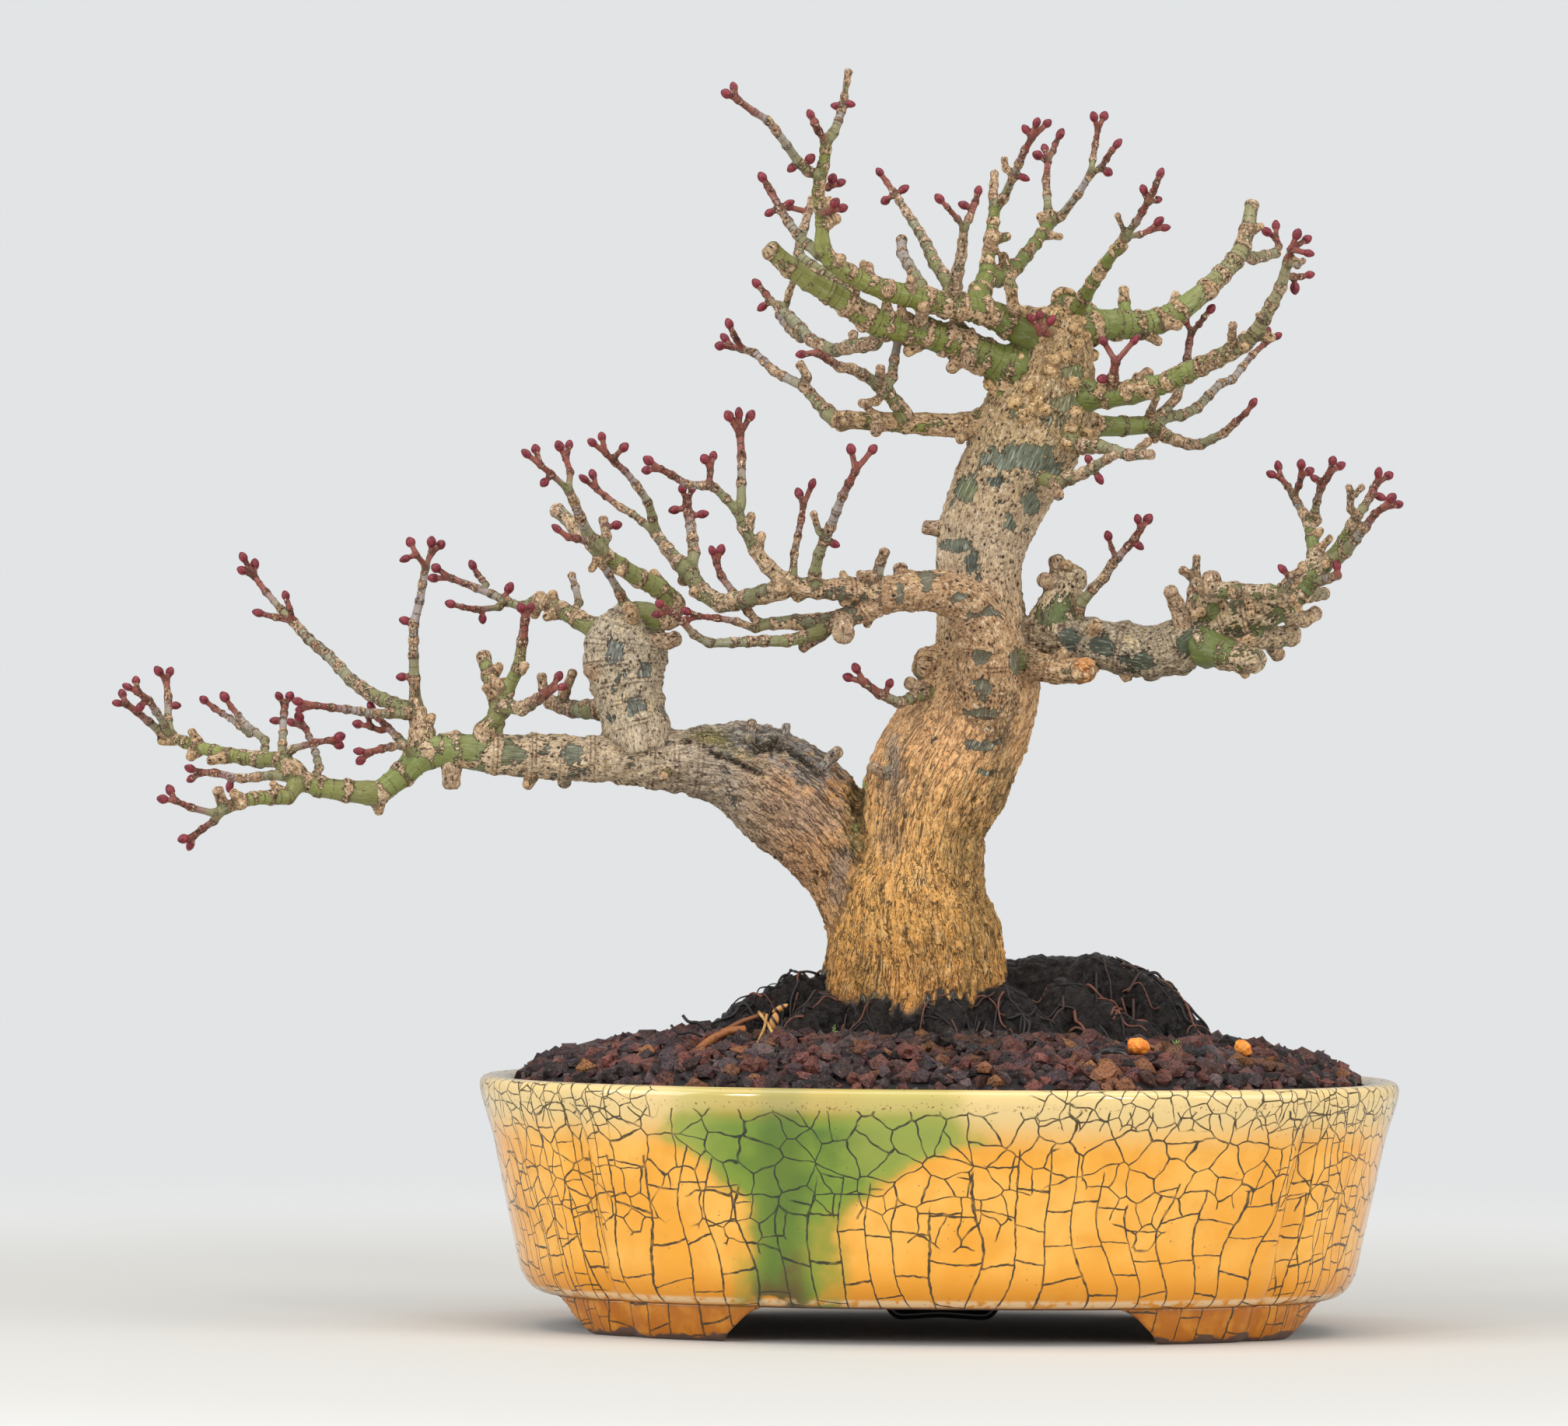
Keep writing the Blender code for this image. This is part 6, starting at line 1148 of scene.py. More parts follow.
def dressed(mesh, part):
    """Gives each point its place on its limb's straightened bark, and presses the relief in."""
    own = [strand for strand in strands if strand.part == part]
    if part == "thick":
        own = [strand for strand in strands if strand.part in ("thick", "roots")]
    places, who, where, turns = [], [], [], []
    for index, strand in enumerate(own):
        every = max(1, int(round(0.8 / (strand.along[1] - strand.along[0]))))
        for k in range(0, len(strand.along), every):
            count = int(min(44, max(8, strand.radius[k] * 6.3)))
            turn = np.linspace(0, math.tau, count, endpoint=False)
            ring = np.outer(np.cos(turn), strand.side[k]) + np.outer(np.sin(turn), strand.over[k])
            places.append(strand.points[k] + ring * strand.radius[k])
            who.append(np.full(count, index))
            where.append(np.full(count, k))
    places = np.concatenate(places)
    who = np.concatenate(who)
    where = np.concatenate(where)
    tree = kdtree.KDTree(len(places))
    for index, place in enumerate(places.tolist()):
        tree.insert(place, index)
    tree.balance()
    count = len(mesh.vertices)
    spots = np.empty(count * 3)
    mesh.vertices.foreach_get("co", spots)
    spots = spots.reshape(-1, 3)
    normals = np.empty(count * 3)
    mesh.vertex_normals.foreach_get("vector", normals)
    normals = normals.reshape(-1, 3)
    found = np.array([tree.find(spot)[1] for spot in spots.tolist()])
    who, where = who[found], where[found]
    bark = np.zeros((count, 3))
    scar = np.zeros(count)
    skin = np.ones((count, 4))
    crust = np.ones((count, 4))
    share = np.zeros(count)
    cracks = np.zeros(count)
    width = np.zeros(count)
    to_end = np.full(count, 99.0)
    fresh = np.zeros(count)
    for index, strand in enumerate(own):
        mine = who == index
        if not mine.any():
            continue
        k = where[mine]
        away = spots[mine] - strand.points[k]
        along = strand.along[k] + (away * strand.ahead[k]).sum(1)
        turn = np.arctan2((away * strand.over[k]).sum(1), (away * strand.side[k]).sum(1))
        wide = strand.radius[k]
        bark[mine] = np.column_stack([np.cos(turn) * wide, np.sin(turn) * wide, along + 53.7 * index])
        step = np.interp(along, strand.along, np.arange(len(strand.along)))
        scar[mine] = np.interp(step, np.arange(len(strand.along)), strand.near_scar)
        width[mine] = wide
        axis, (stops, table) = paints[strand.look]
        value = spots[mine][:, 2] if axis == "z" else spots[mine][:, 0] - POT_X
        mixed = np.stack([np.interp(value, stops, column) for column in table.T], axis=1)
        crust[mine, :3], skin[mine, :3] = mixed[:, :3], mixed[:, 3:6]
        share[mine], cracks[mine] = mixed[:, 6], mixed[:, 7]
        if strand.budded:
            to_end[mine] = strand.along[-1] - along
        elif strand.look in ("twig", "branch", "fawn", "slate"):
            share[mine] += 0.6 * (1 - fade(strand.along[-1] - along, 1.0, 4.0))
            if strand.along[-1] - strand.hidden < 12:
                share[mine] += 0.4
        if strand.look in ("twig", "branch", "fawn"):
            fresh[mine] = 1 - fade(
                (along - strand.hidden) / (strand.along[-1] - strand.hidden), 0.15, 0.65,
            )
    fresh = 0.8 * fresh[:, None]
    skin[:, :3] = skin[:, :3] * (1 - fresh) + np.array(colour("#7C7B44")[:3]) * fresh
    red = (1 - fade(to_end, 3, 12))[:, None]
    skin[:, :3] = skin[:, :3] * (1 - red) + TWIG_RED * red
    crust[:, :3] = crust[:, :3] * (1 - red) + TWIG_RED * red * 0.9
    wet = np.ones(count)
    if part != "roots":
        teeth = 5.0 * perlin(bark * (0.22, 0.22, 0.03)) + 2.0 * perlin(bark * (0.7, 0.7, 0.1))
        wet = 1 - fade(spots[:, 2] + teeth, 82.5, 85.5)
    wide_patches = perlin(bark * (0.16, 0.16, 0.13))
    patches = perlin(bark * (0.34, 0.34, 0.30) + 17)
    band = np.exp(-((scar / (1.0 + 0.18 * np.minimum(width, 6))) ** 2))
    cork = 2 * share - 1.0 + 1.5 * wide_patches + 0.8 * patches + band * 1.2 * (1.15 - share)
    far = (EYE_DISTANCE + spots[:, 1]) / EYE_DISTANCE
    seen_x = EYE_X + (spots[:, 0] - POT_X - EYE_X) / far
    seen_z = EYE_HEIGHT + (spots[:, 2] - EYE_HEIGHT) / far
    front = fade(-normals[:, 1], -0.35, 0.1)
    rough_edge = 0.5 * perlin(spots * 0.3 + 31) + 0.55 * perlin(spots * 0.85 + 13)

    def around(x, z, wide, tall, lean=0, bend=0.0):
        c, s = math.cos(math.radians(lean)), math.sin(math.radians(lean))
        along, across = (seen_x - x) * c + (seen_z - z) * s, (seen_z - z) * c - (seen_x - x) * s
        across = across - bend * along**2
        return np.hypot(along / wide, across / tall) + rough_edge

    for window in WINDOWS if part in ("thick", "front") else ():
        here = front * (1 - fade(around(*window), 0.7, 1.25))
        cork = cork * (1 - here) - 0.8 * here
    # Stains, and painted shade in the left stem's hollows, tint crust and skin alike.
    if part in ("thick", "front", "left"):
        for x, z, wide, tall, hexed, strength, *lean in STAINS_AND_PAINTED_SHADE:
            here = (front * strength * (1 - fade(around(x, z, wide, tall, *lean), 0.45, 1.25)))[:, None]
            stain_and_shade = np.array(colour(hexed)[:3])
            crust[:, :3] = crust[:, :3] * (1 - here) + stain_and_shade * here
            skin[:, :3] = skin[:, :3] * (1 - here) + stain_and_shade * here
    cork = np.clip(cork, -1.5, 1.5)
    thick = fade(width, 1.6, 5.0)
    lift = (0.10 + 0.22 * thick) * fade(cork, -0.15, 0.2)
    lift += thick * 0.55 * perlin(spots * 0.13)
    lift += (0.05 + 0.18 * thick) * perlin(spots * 0.42 + 7)
    crumbly = (0.12 + 0.88 * thick) * fade(cork, -0.1, 0.25)
    lift += crumbly * (0.75 * np.abs(perlin(spots * 0.5 + 11)) - 0.12)
    lift -= crumbly * 0.5 * fade(perlin(spots * (0.5, 0.5, 0.34) + 23), 0.22, 0.42)
    lines = perlin(bark * (0.42, 0.42, 0.09) + 3)
    lift -= cracks * thick * 0.75 * np.exp(-((lines / 0.10) ** 2))
    if part == "thick":
        for x, z, wide, tall, deep, *lean in HOLLOWS:
            lift -= deep * front * (1 - fade(around(x, z, wide, tall, *lean), 0.3, 1.2))
    if part == "roots":
        lift = 1.3 * perlin(spots * 0.11) + 0.9 * perlin(spots * 0.27 + 5)
        lift += 0.65 * perlin(spots * 0.62 + 9)
        lift -= 0.7 * np.exp(-((perlin(spots * 0.35 + 2) / 0.12) ** 2))
    spots = spots + normals * lift[:, None]
    mesh.vertices.foreach_set("co", spots.ravel())
    layer = mesh.attributes.new("bark", "FLOAT_VECTOR", "POINT")
    layer.data.foreach_set("vector", bark.ravel())
    for name, values in zip(MEASURES, (cork, scar, wet, cracks, width)):
        layer = mesh.attributes.new(name, "FLOAT", "POINT")
        layer.data.foreach_set("value", values)
    for name, values in (("skin", skin), ("crust", crust)):
        layer = mesh.attributes.new(name, "FLOAT_COLOR", "POINT")
        layer.data.foreach_set("color", values.ravel())
    mesh.update()
    return mesh


# The skin is satin; cork is dry and pale on its ridges, with dark edges and cracks; ring scars
# are brown double lines; anything wet is nearly black and shines.
bark_look, shade, shader = new_look("old_maple_bark", IOR=1.45)
place = add("Attribute", attribute_name="bark", out="Vector")
spot = in_millimetres()
stored = {name: add("Attribute", attribute_name=name, out="Fac") for name in MEASURES}


def stretched(across, along):
    """Noise coordinates drawn out along the limb, in features per millimetre."""
    return add("VectorMath.MULTIPLY", place, (across, across, along))


grain = add("TexNoise", stretched(1.0, 0.45), 1.2, 3.0, 0.6)
cork = add("Math.ADD", stored["cork"], add("MapRange", grain, 0.25, 0.75, -0.5, 0.5))
corky = add("MapRange", cork, -0.06, 0.08)
rim = add("Math.MULTIPLY", add("MapRange", cork, -0.34, -0.06), add("MapRange", cork, 0.16, 0.02))
tone = add("TexNoise", stretched(0.42, 0.16), 1.0, 5.0, 0.65)
crust = add("Attribute", attribute_name="crust", out="Color")
crust = add("Mix", add("MapRange", tone, 0.52, 0.74, 0.0, 0.6), crust, colour("#FAD698"))
crust = add("Mix", add("MapRange", tone, 0.47, 0.26, 0.0, 0.6), crust, colour("#7A4A22"))
loose = add("MapRange", stored["cracks"], 1.0, 0.45, 0.25, 1.0)
crumb = add("TexNoise", stretched(1.15, 0.75), 1.0, 5.0, 0.74)
crust = add(
    "Mix", add("Math.MULTIPLY", add("MapRange", crumb, 0.53, 0.65, 0.0, 0.9), loose), crust,
    colour("#FBE8CA"),
)
crust = add(
    "Mix", add("Math.MULTIPLY", add("MapRange", crumb, 0.48, 0.37, 0.0, 0.95), loose), crust,
    colour("#432C1C"),
)
fine = add("TexNoise", stretched(2.4, 1.2), 1.0, 3.0, 0.7)
# Fine pale specks on the cork, the glint, are painted highlights.
glint = add("Mix", loose, colour("#FFCE86"), colour("#FFEACA"))
crust = add("Mix", add("MapRange", fine, 0.56, 0.68, 0.0, 0.65), crust, glint)
crust = add("Mix", add("MapRange", fine, 0.43, 0.34, 0.0, 0.85), crust, colour("#2E1F14"))
streak = add("TexNoise", stretched(2.2, 0.22), 1.0, 3.0, 0.6)
skin = add("Attribute", attribute_name="skin", out="Color")
streaky = add("MapRange", stored["cracks"], 0.0, 0.3, 0.3, 1.0)
skin = add(
    "Mix", add("Math.MULTIPLY", add("MapRange", streak, 0.52, 0.70, 0.0, 0.75), streaky), skin,
    colour("#C4C8B8"),
)
skin = add(
    "Mix", add("Math.MULTIPLY", add("MapRange", streak, 0.48, 0.30, 0.0, 0.85), streaky), skin,
    colour("#2E352A"),
)
base = add("Mix", corky, skin, crust)
base = add("Mix", add("Math.MULTIPLY", rim, 0.72), base, colour("#33241A"))
ring = add("Math.ABSOLUTE", add("Math.SUBTRACT", add("Math.ABSOLUTE", stored["scar"]), 0.55))
ring = add("MapRange", add("Math.ADD", ring, add("MapRange", grain, 0.2, 0.8, -0.15, 0.15)), 0.34, 0.12)
ring = add("Math.MULTIPLY", ring, add("MapRange", add("TexNoise", spot, 0.22, 2.0), 0.38, 0.58))
base = add("Mix", add("Math.MULTIPLY", ring, 0.6), base, colour("#5E3A28"))
long_lines = None
for across_scale, along_scale, thin, strength in ((0.40, 0.055, 0.030, 1.0), (0.85, 0.15, 0.034, 0.7)):
    line = add("TexNoise", stretched(across_scale, along_scale), 1.0, 3.0, 0.6, Distortion=0.5)
    line = add("Math.ABSOLUTE", add("Math.SUBTRACT", line, 0.5))
    line = add("Math.MULTIPLY", add("MapRange", line, thin, thin * 0.2), strength)
    long_lines = line if long_lines is None else add("Math.MAXIMUM", long_lines, line)
furrow = add("Math.MULTIPLY", long_lines, stored["cracks"])
pit = add("MapRange", add("TexVoronoi.F1", stretched(0.6, 0.42), 1.0), 0.30, 0.14)
pit = add("Math.MULTIPLY", add("Math.MULTIPLY", pit, corky), add("MapRange", tone, 0.64, 0.48))
pit = add("Math.MULTIPLY", pit, add("MapRange", stored["cracks"], 1.0, 0.45, 0.5, 1.0))
dark = add("Math.MAXIMUM", add("Math.MULTIPLY", furrow, 0.9), pit)
base = add("Mix", add("Math.MULTIPLY", dark, 0.92), base, colour("#22140C"))
speck = add("MapRange", add("TexVoronoi.F1", stretched(1.1, 1.1), 1.0), 0.17, 0.10)
base = add("Mix", add("Math.MULTIPLY", speck, 0.65), base, colour("#1E1812"))
wet = stored["wet"]
up = add("SeparateXYZ", spot, out="Z")
soot = add(
    "Mix", add("MapRange", add("TexNoise", spot, 0.5, 4.0, 0.65), 0.3, 0.7), colour("#121011"),
    colour("#38312E"),
)
felt = add(
    "Mix", add("MapRange", add("TexNoise", spot, 0.5, 4.0, 0.65), 0.3, 0.7), colour("#36322F"),
    colour("#5A524B"),
)
uneven = add("MapRange", add("TexNoise", spot, 0.1, 2.0), 0.3, 0.7, -3, 3)
dried = add("MapRange", add("Math.ADD", up, uneven), 76, 82)
dried = add("Math.MULTIPLY", dried, add("MapRange", stored["girth"], 13, 18))
soot = add("Mix", dried, soot, felt)
fleck = add("MapRange", add("TexNoise", spot, 1.6, 3.0, 0.6), 0.66, 0.72)
soot = add("Mix", add("Math.MULTIPLY", fleck, 0.5), soot, colour("#7A5A44"))
base = add("Mix", wet, base, soot)
shade.links.new(base, shader.inputs["Base Color"])
shine = add("TexNoise", spot, 0.35, 3.0)
shine = add("MapRange", shine, 0.40, 0.62, 0.07, 0.28)
shine = add("Math.ADD", shine, add("Math.MULTIPLY", dried, 0.3))
dry = add("MapRange", corky, 0.0, 1.0, 0.52, 0.82)
rough = add("Mix.FLOAT", wet, dry, shine)
shade.links.new(rough, shader.inputs["Roughness"])
relief = add("Math.ADD", add("Math.MULTIPLY", corky, 0.25), add("Math.MULTIPLY", tone, 0.5))
relief = add("Math.ADD", relief, add("Math.MULTIPLY", add("Math.MULTIPLY", crumb, corky), 1.5))
relief = add("Math.ADD", relief, add("Math.MULTIPLY", add("Math.MULTIPLY", fine, corky), 0.5))
relief = add("Math.SUBTRACT", relief, add("Math.MULTIPLY", dark, 0.6))
relief = add("Math.SUBTRACT", relief, add("Math.MULTIPLY", ring, 0.2))
lumps = add("Math.MULTIPLY", add("TexNoise", spot, 0.9, 6.0, 0.8), 3.6)
relief = add("Mix.FLOAT", wet, relief, lumps)
bump = add("Bump", Strength=0.8, Distance=0.0007, Height=relief)
shade.links.new(bump, shader.inputs["Normal"])

# Each part of the tree is one closed skin drawn over its overlapping limbs.
for part, sides, voxel in (
    ("thick", 32, 0.715), ("left", 12, 0.445), ("front", 12, 0.47), ("spurs", 12, 0.42),
    ("crown_left", 12, 0.42), ("crown_right", 12, 0.445), ("roots", 16, 0.72),
):
    tubes = tube_mesh(part, sides, [tapered(strand) for strand in strands if strand.part == part])
    if part == "roots":
        bm = bmesh.new()
        bm.from_mesh(tubes)
        dome = bmesh.ops.create_icosphere(bm, subdivisions=4, radius=1.0)["verts"]
        bmesh.ops.scale(bm, verts=dome, vec=(60, 32, 25))
        bmesh.ops.translate(bm, verts=dome, vec=(POT_X + 6, 0, 63))
        for vert in bm.verts:
            vert.co.z = max(vert.co.z, 58.4)
        bm.to_mesh(tubes)
        bm.free()
    closed = baked(
        tubes,
        ("REMESH", {"mode": "VOXEL", "voxel_size": voxel}),
        ("SMOOTH", {"factor": 0.5, "iterations": 2}),
    )
    piece("maple_" + part, dressed(closed, part), bark_look, "maple_bark", "tree")


# Buds. Crimson, egg-shaped, in pairs, drawn as smooth eggs without their two pairs of overlapping scales.
bud_look, shade, shader = new_look("crimson_bud", Roughness=0.42, IOR=1.45)
spot = in_millimetres()
tip = add("Attribute", attribute_name="tip", out="Fac")
red = add(
    "Mix", add("MapRange", add("TexNoise", spot, 0.9, 3.0), 0.3, 0.7), colour("#5E1822"),
    colour("#8E303A"),
)
red = add("Mix", add("MapRange", tip, 0.25, 0.0), red, colour("#8A4A40"))
red = add("Mix", add("MapRange", tip, 0.75, 1.0, 0.0, 0.5), red, colour("#5A1626"))
shade.links.new(red, shader.inputs["Base Color"])
luck = random.Random(5)
for half in range(2):
    bm = bmesh.new()
    layer = bm.verts.layers.float.new("tip")
    for middle, ahead in buds[half::2]:
        made = bmesh.ops.create_uvsphere(bm, u_segments=10, v_segments=8, radius=1.0)["verts"]
        wide, long = luck.uniform(1.08, 1.36), luck.uniform(1.35, 1.75)
        spin = Matrix.Rotation(luck.uniform(0, math.tau), 4, "Z")
        pose = Matrix.Translation(middle) @ ahead.to_track_quat("Z", "Y").to_matrix().to_4x4() @ spin
        for vert in made:
            up = (vert.co.z + 1) / 2
            vert[layer] = up
            taper = 1.0 if up < 0.5 else 1.0 - 0.22 * ((up - 0.5) / 0.5) ** 1.5
            vert.co = pose @ Vector(
                (vert.co.x * wide * taper, vert.co.y * wide * 0.92 * taper, vert.co.z * long)
            )
    piece("buds_" + "ab"[half], to_mesh("buds", bm), bud_look, "maple_bark", "tree")


# Soil. Coarse volcanic grit, 2.5 to 5 mm, heaped towards the roots: porous lava in purple, rust
# and black-brown. The solid keeps its place as the dark packed grit below; loose grains lie on it.
grit, shade, shader = new_look("lava_grit", Roughness=0.62, IOR=1.45)
spot = in_millimetres()
tint = add("Attribute", attribute_name="tint", out="Color")
mottle = add("TexNoise", spot, 0.9, 4.0, 0.65)
tint = add("Mix", add("MapRange", mottle, 0.52, 0.75, 0.0, 0.55), tint, colour("#9C6A55"))
tint = add("Mix", add("MapRange", mottle, 0.48, 0.30, 0.0, 0.8), tint, colour("#171014"))
pores = add("TexVoronoi.F1", spot, 1.5)
pore = add("MapRange", pores, 0.34, 0.16)
tint = add("Mix", add("Math.MULTIPLY", pore, 0.75), tint, colour("#100A0C"))
shade.links.new(tint, shader.inputs["Base Color"])
damp = add("MapRange", add("TexNoise", spot, 0.12, 2.0), 0.4, 0.6, 0.34, 0.75)
shade.links.new(damp, shader.inputs["Roughness"])
relief = add("Math.SUBTRACT", add("TexNoise", spot, 1.3, 4.0, 0.6), add("Math.MULTIPLY", pore, 0.5))
bump = add("Bump", Strength=0.9, Distance=0.0006, Height=relief)
shade.links.new(bump, shader.inputs["Normal"])

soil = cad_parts["soil"]
bed = BVHTree.FromPolygons(
    [vert.co / MM for vert in soil.data.vertices], [face.vertices[:] for face in soil.data.polygons]
)
mound = bpy.data.objects["maple_roots"].data
mound = BVHTree.FromPolygons(
    [vert.co / MM for vert in mound.vertices], [face.vertices[:] for face in mound.polygons],
)
packed = bpy.data.materials.new("packed_grit")
packed.use_nodes = True
packed.node_tree.nodes["Principled BSDF"].inputs["Base Color"].default_value = colour("#1A1214")
packed.node_tree.nodes["Principled BSDF"].inputs["Roughness"].default_value = 0.8
soil.material_slots[0].material = packed
GRAIN_TINTS = ["#7A4840", "#6A4038", "#58343A", "#46343A", "#33272A", "#261D1F", "#96603E", "#6A5654",
               "#58474A", "#8A5044", "#42302F", "#A87040"]
GRAIN_ODDS = [15, 13, 11, 10, 9, 7, 8, 9, 9, 9, 8, 4]
luck = random.Random(21)
shapes = []
for number in range(14):
    bm = bmesh.new()
    bmesh.ops.create_icosphere(bm, subdivisions=2 if number > 11 else 1, radius=1.0)
    shift = Vector((number * 7.3, number * 3.1, 0))
    for vert in bm.verts:
        swell = 1 + 0.6 * noise.noise(vert.co * 1.1 + shift) + 0.5 * noise.noise(vert.co * 2.7 - shift)
        vert.co = vert.co * swell
        vert.co.x *= 1.15
        vert.co.z *= 0.82
    points = np.array([vert.co[:] for vert in bm.verts])
    faces = np.array([[vert.index for vert in face.verts] for face in bm.faces])
    shapes.append((points, faces))
    bm.free()


DOWN = Vector((0, 0, -1))
RAY_START, LOWEST_GROUND = 130, 40


def seat_of(x, y, size):
    """Where a grain lies at x and y, or nothing where the roots or the rim are in the way."""
    start = Vector((x, y, RAY_START))
    ground = bed.ray_cast(start, DOWN)[0]
    if ground is None or ground.z < LOWEST_GROUND:
        return None
    over = mound.ray_cast(start, DOWN)[0]
    if over is not None and over.z > ground.z + size * 0.75:
        return None
    top = ground.z if over is None else max(ground.z, over.z - 0.4)
    return Vector((x, y, top))


grains = []
STEP = 3.5
INSIDE_LENGTH, INSIDE_DEPTH = 110.2, 79.0
for row in range(-34, 35):
    for column in range(-46, 47):
        x = POT_X + (column + (row % 2) / 2) * STEP + luck.uniform(-0.9, 0.9)
        y = row * STEP * 0.9 + luck.uniform(-0.9, 0.9)
        size = luck.uniform(1.6, 2.5) if luck.random() < 0.64 else luck.uniform(2.5, 3.4)
        out = abs((x - POT_X) / INSIDE_LENGTH) ** OUTLINE_POWER + abs(y / INSIDE_DEPTH) ** OUTLINE_POWER
        out = out ** (1 / OUTLINE_POWER)
        if out * INSIDE_LENGTH + size > 109.6:
            continue
        seat = seat_of(x, y, size)
        if seat is None:
            continue
        seat.z += size * luck.uniform(-0.45, 0.35)
        grains.append((seat, size))
for _ in range(520):
    turn, reach = luck.uniform(0, math.tau), math.sqrt(luck.random())
    x, y = POT_X + math.cos(turn) * 104 * reach, math.sin(turn) * 73 * reach
    size = luck.uniform(1.3, 2.6)
    seat = seat_of(x, y, size)
    if seat is not None:
        seat.z += size * luck.uniform(-0.1, 0.5)
        grains.append((seat, size))
share = (len(grains) + 1) // 2
for half in range(2):
    points, faces, tints, base = [], [], [], 0
    for seat, size in grains[half * share : (half + 1) * share]:
        near = seat.y < -40 and luck.random() < 0.4
        shape, sides = shapes[luck.choice((12, 13)) if near else luck.randrange(12)]
        turn = Matrix.Rotation(luck.uniform(0, math.tau), 3, "Z")
        turn = turn @ Matrix.Rotation(luck.uniform(-0.6, 0.6), 3, "X")
        stretch = Matrix.Diagonal((size * luck.uniform(0.85, 1.15), size * luck.uniform(0.8, 1.0), size))
        points.append(shape @ np.array(turn @ stretch).T + np.array(seat))
        faces.append(sides + base)
        base += len(shape)
        tone = np.array(colour(luck.choices(GRAIN_TINTS, GRAIN_ODDS)[0]))
        beside = math.hypot((seat.x - POT_X - 10) / 72, seat.y / 42)
        damp = math.hypot((seat.x - POT_X - 4) / 16, (seat.y + 52) / 16)
        tone[:3] *= luck.uniform(0.4, 0.95) * min(1.0, max(0.55, 0.55 + (beside - 0.95) * 1.6))
        tone[:3] *= min(1.0, max(0.4, damp)) * (0.9 if seat.x - POT_X > 55 else 1.0)
        tints.append(np.tile(tone, (len(shape), 1)))
    mesh = bpy.data.meshes.new("grains")
    mesh.from_pydata(np.concatenate(points).tolist(), [], np.concatenate(faces).tolist())
    layer = mesh.attributes.new("tint", "FLOAT_COLOR", "POINT")
    layer.data.foreach_set("color", np.concatenate(tints).ravel())
    made = piece("grit_" + "ab"[half], mesh, grit, "lava_grit")
    made.data.set_sharp_from_angle(angle=math.radians(24))


# Fertiliser. Two slow-release pellets on the grit at the front right: orange, dry and lumpy.
orange, shade, shader = new_look("fertiliser_pellet", Roughness=0.5, IOR=1.45)
spot = in_millimetres()
tone = add("TexNoise", spot, 0.7, 3.0)
rind = add("Mix", add("MapRange", tone, 0.35, 0.65), colour("#E8741A"), colour("#F7A445"))
shade.links.new(rind, shader.inputs["Base Color"])
bump = add("Bump", Strength=0.5, Distance=0.0005, Height=add("TexNoise", spot, 1.2, 3.0))
shade.links.new(bump, shader.inputs["Normal"])
for name, tilt in (("fertiliser_pellet_1", 0.15), ("fertiliser_pellet_2", 0.75)):
    low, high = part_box(name)
    middle, half = (low + high) / 2 / MM, (high - low) / 2 / MM
    bm = bmesh.new()
    bmesh.ops.create_icosphere(bm, subdivisions=5, radius=1.0)
    for vert in bm.verts:
        swell = 1 + 0.16 * noise.noise(vert.co * 1.6 + middle) + 0.05 * noise.noise(vert.co * 5)
        vert.co = vert.co * swell
        vert.co = Vector((vert.co.x * half.x, vert.co.y * half.y, vert.co.z * half.z))
        vert.co.rotate(Matrix.Rotation(tilt, 3, "Y"))
        vert.co += middle + Vector((0, -0.6, 1.0))
    piece("pellet_" + name[-1], to_mesh(name, bm), orange, "fertiliser_pellet", name)


# Wires and netting. Black anchor wire holds the root ball: it comes up through the floor, over the
# roots' right end. A thinner wire clips plastic netting over the drain hole.
WIRE_RADIUS = 1.25
black, shade, shader = new_look("black_wire", Roughness=0.22, IOR=1.5)
shader.inputs["Base Color"].default_value = colour("#0C0C0D")
netting, shade, shader = new_look("plastic_netting", Roughness=0.4)
shader.inputs["Base Color"].default_value = colour("#1B231C")
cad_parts["mesh_clip"].material_slots[0].material = black
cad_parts["drain_mesh"].material_slots[0].material = netting
left_hole, right_hole = POT_X + LEFT_HOLE, POT_X + RIGHT_HOLE
route = [
    (left_hole, WIRE_Y, 48), (left_hole, WIRE_Y, 24), (left_hole, WIRE_Y, 10), (left_hole + 3, WIRE_Y, 5.5),
    (POT_X, WIRE_Y, 6.3), (right_hole - 3, WIRE_Y, 5.5), (right_hole, WIRE_Y, 10), (right_hole, WIRE_Y, 24),
    (right_hole + 6, -42, 45), (right_hole + 18, -50.5, 64), (POT_X + 36.5, -53.5, 70.6),
    (POT_X + 41, -54.5, 73.6), (POT_X + 46, -53, 72.8), (POT_X + 50.5, -48, 65),
]
rows, _ = even_steps(route, 0.8, 5)
mesh = tube_mesh("wire", 16, [(rows, np.full(len(rows), WIRE_RADIUS))])
piece("anchor_wire_black", mesh, black, "black_wire", "anchor_wire")


# Litter. Fine black and brown rootlets cling to the wet roots; dry straw, a few bark flakes, a
# red-brown surface root and two sprigs of moss lie in front of them.
litter_look, shade, shader = new_look("rootlets_and_straw", Roughness=0.6)
tint = add("Attribute", attribute_name="tint", out="Color")
spot = in_millimetres()
tint = add(
    "Mix", add("MapRange", add("TexNoise", spot, 0.8, 3.0), 0.5, 0.3, 0.0, 0.6), tint,
    colour("#1A1210"),
)
shade.links.new(tint, shader.inputs["Base Color"])


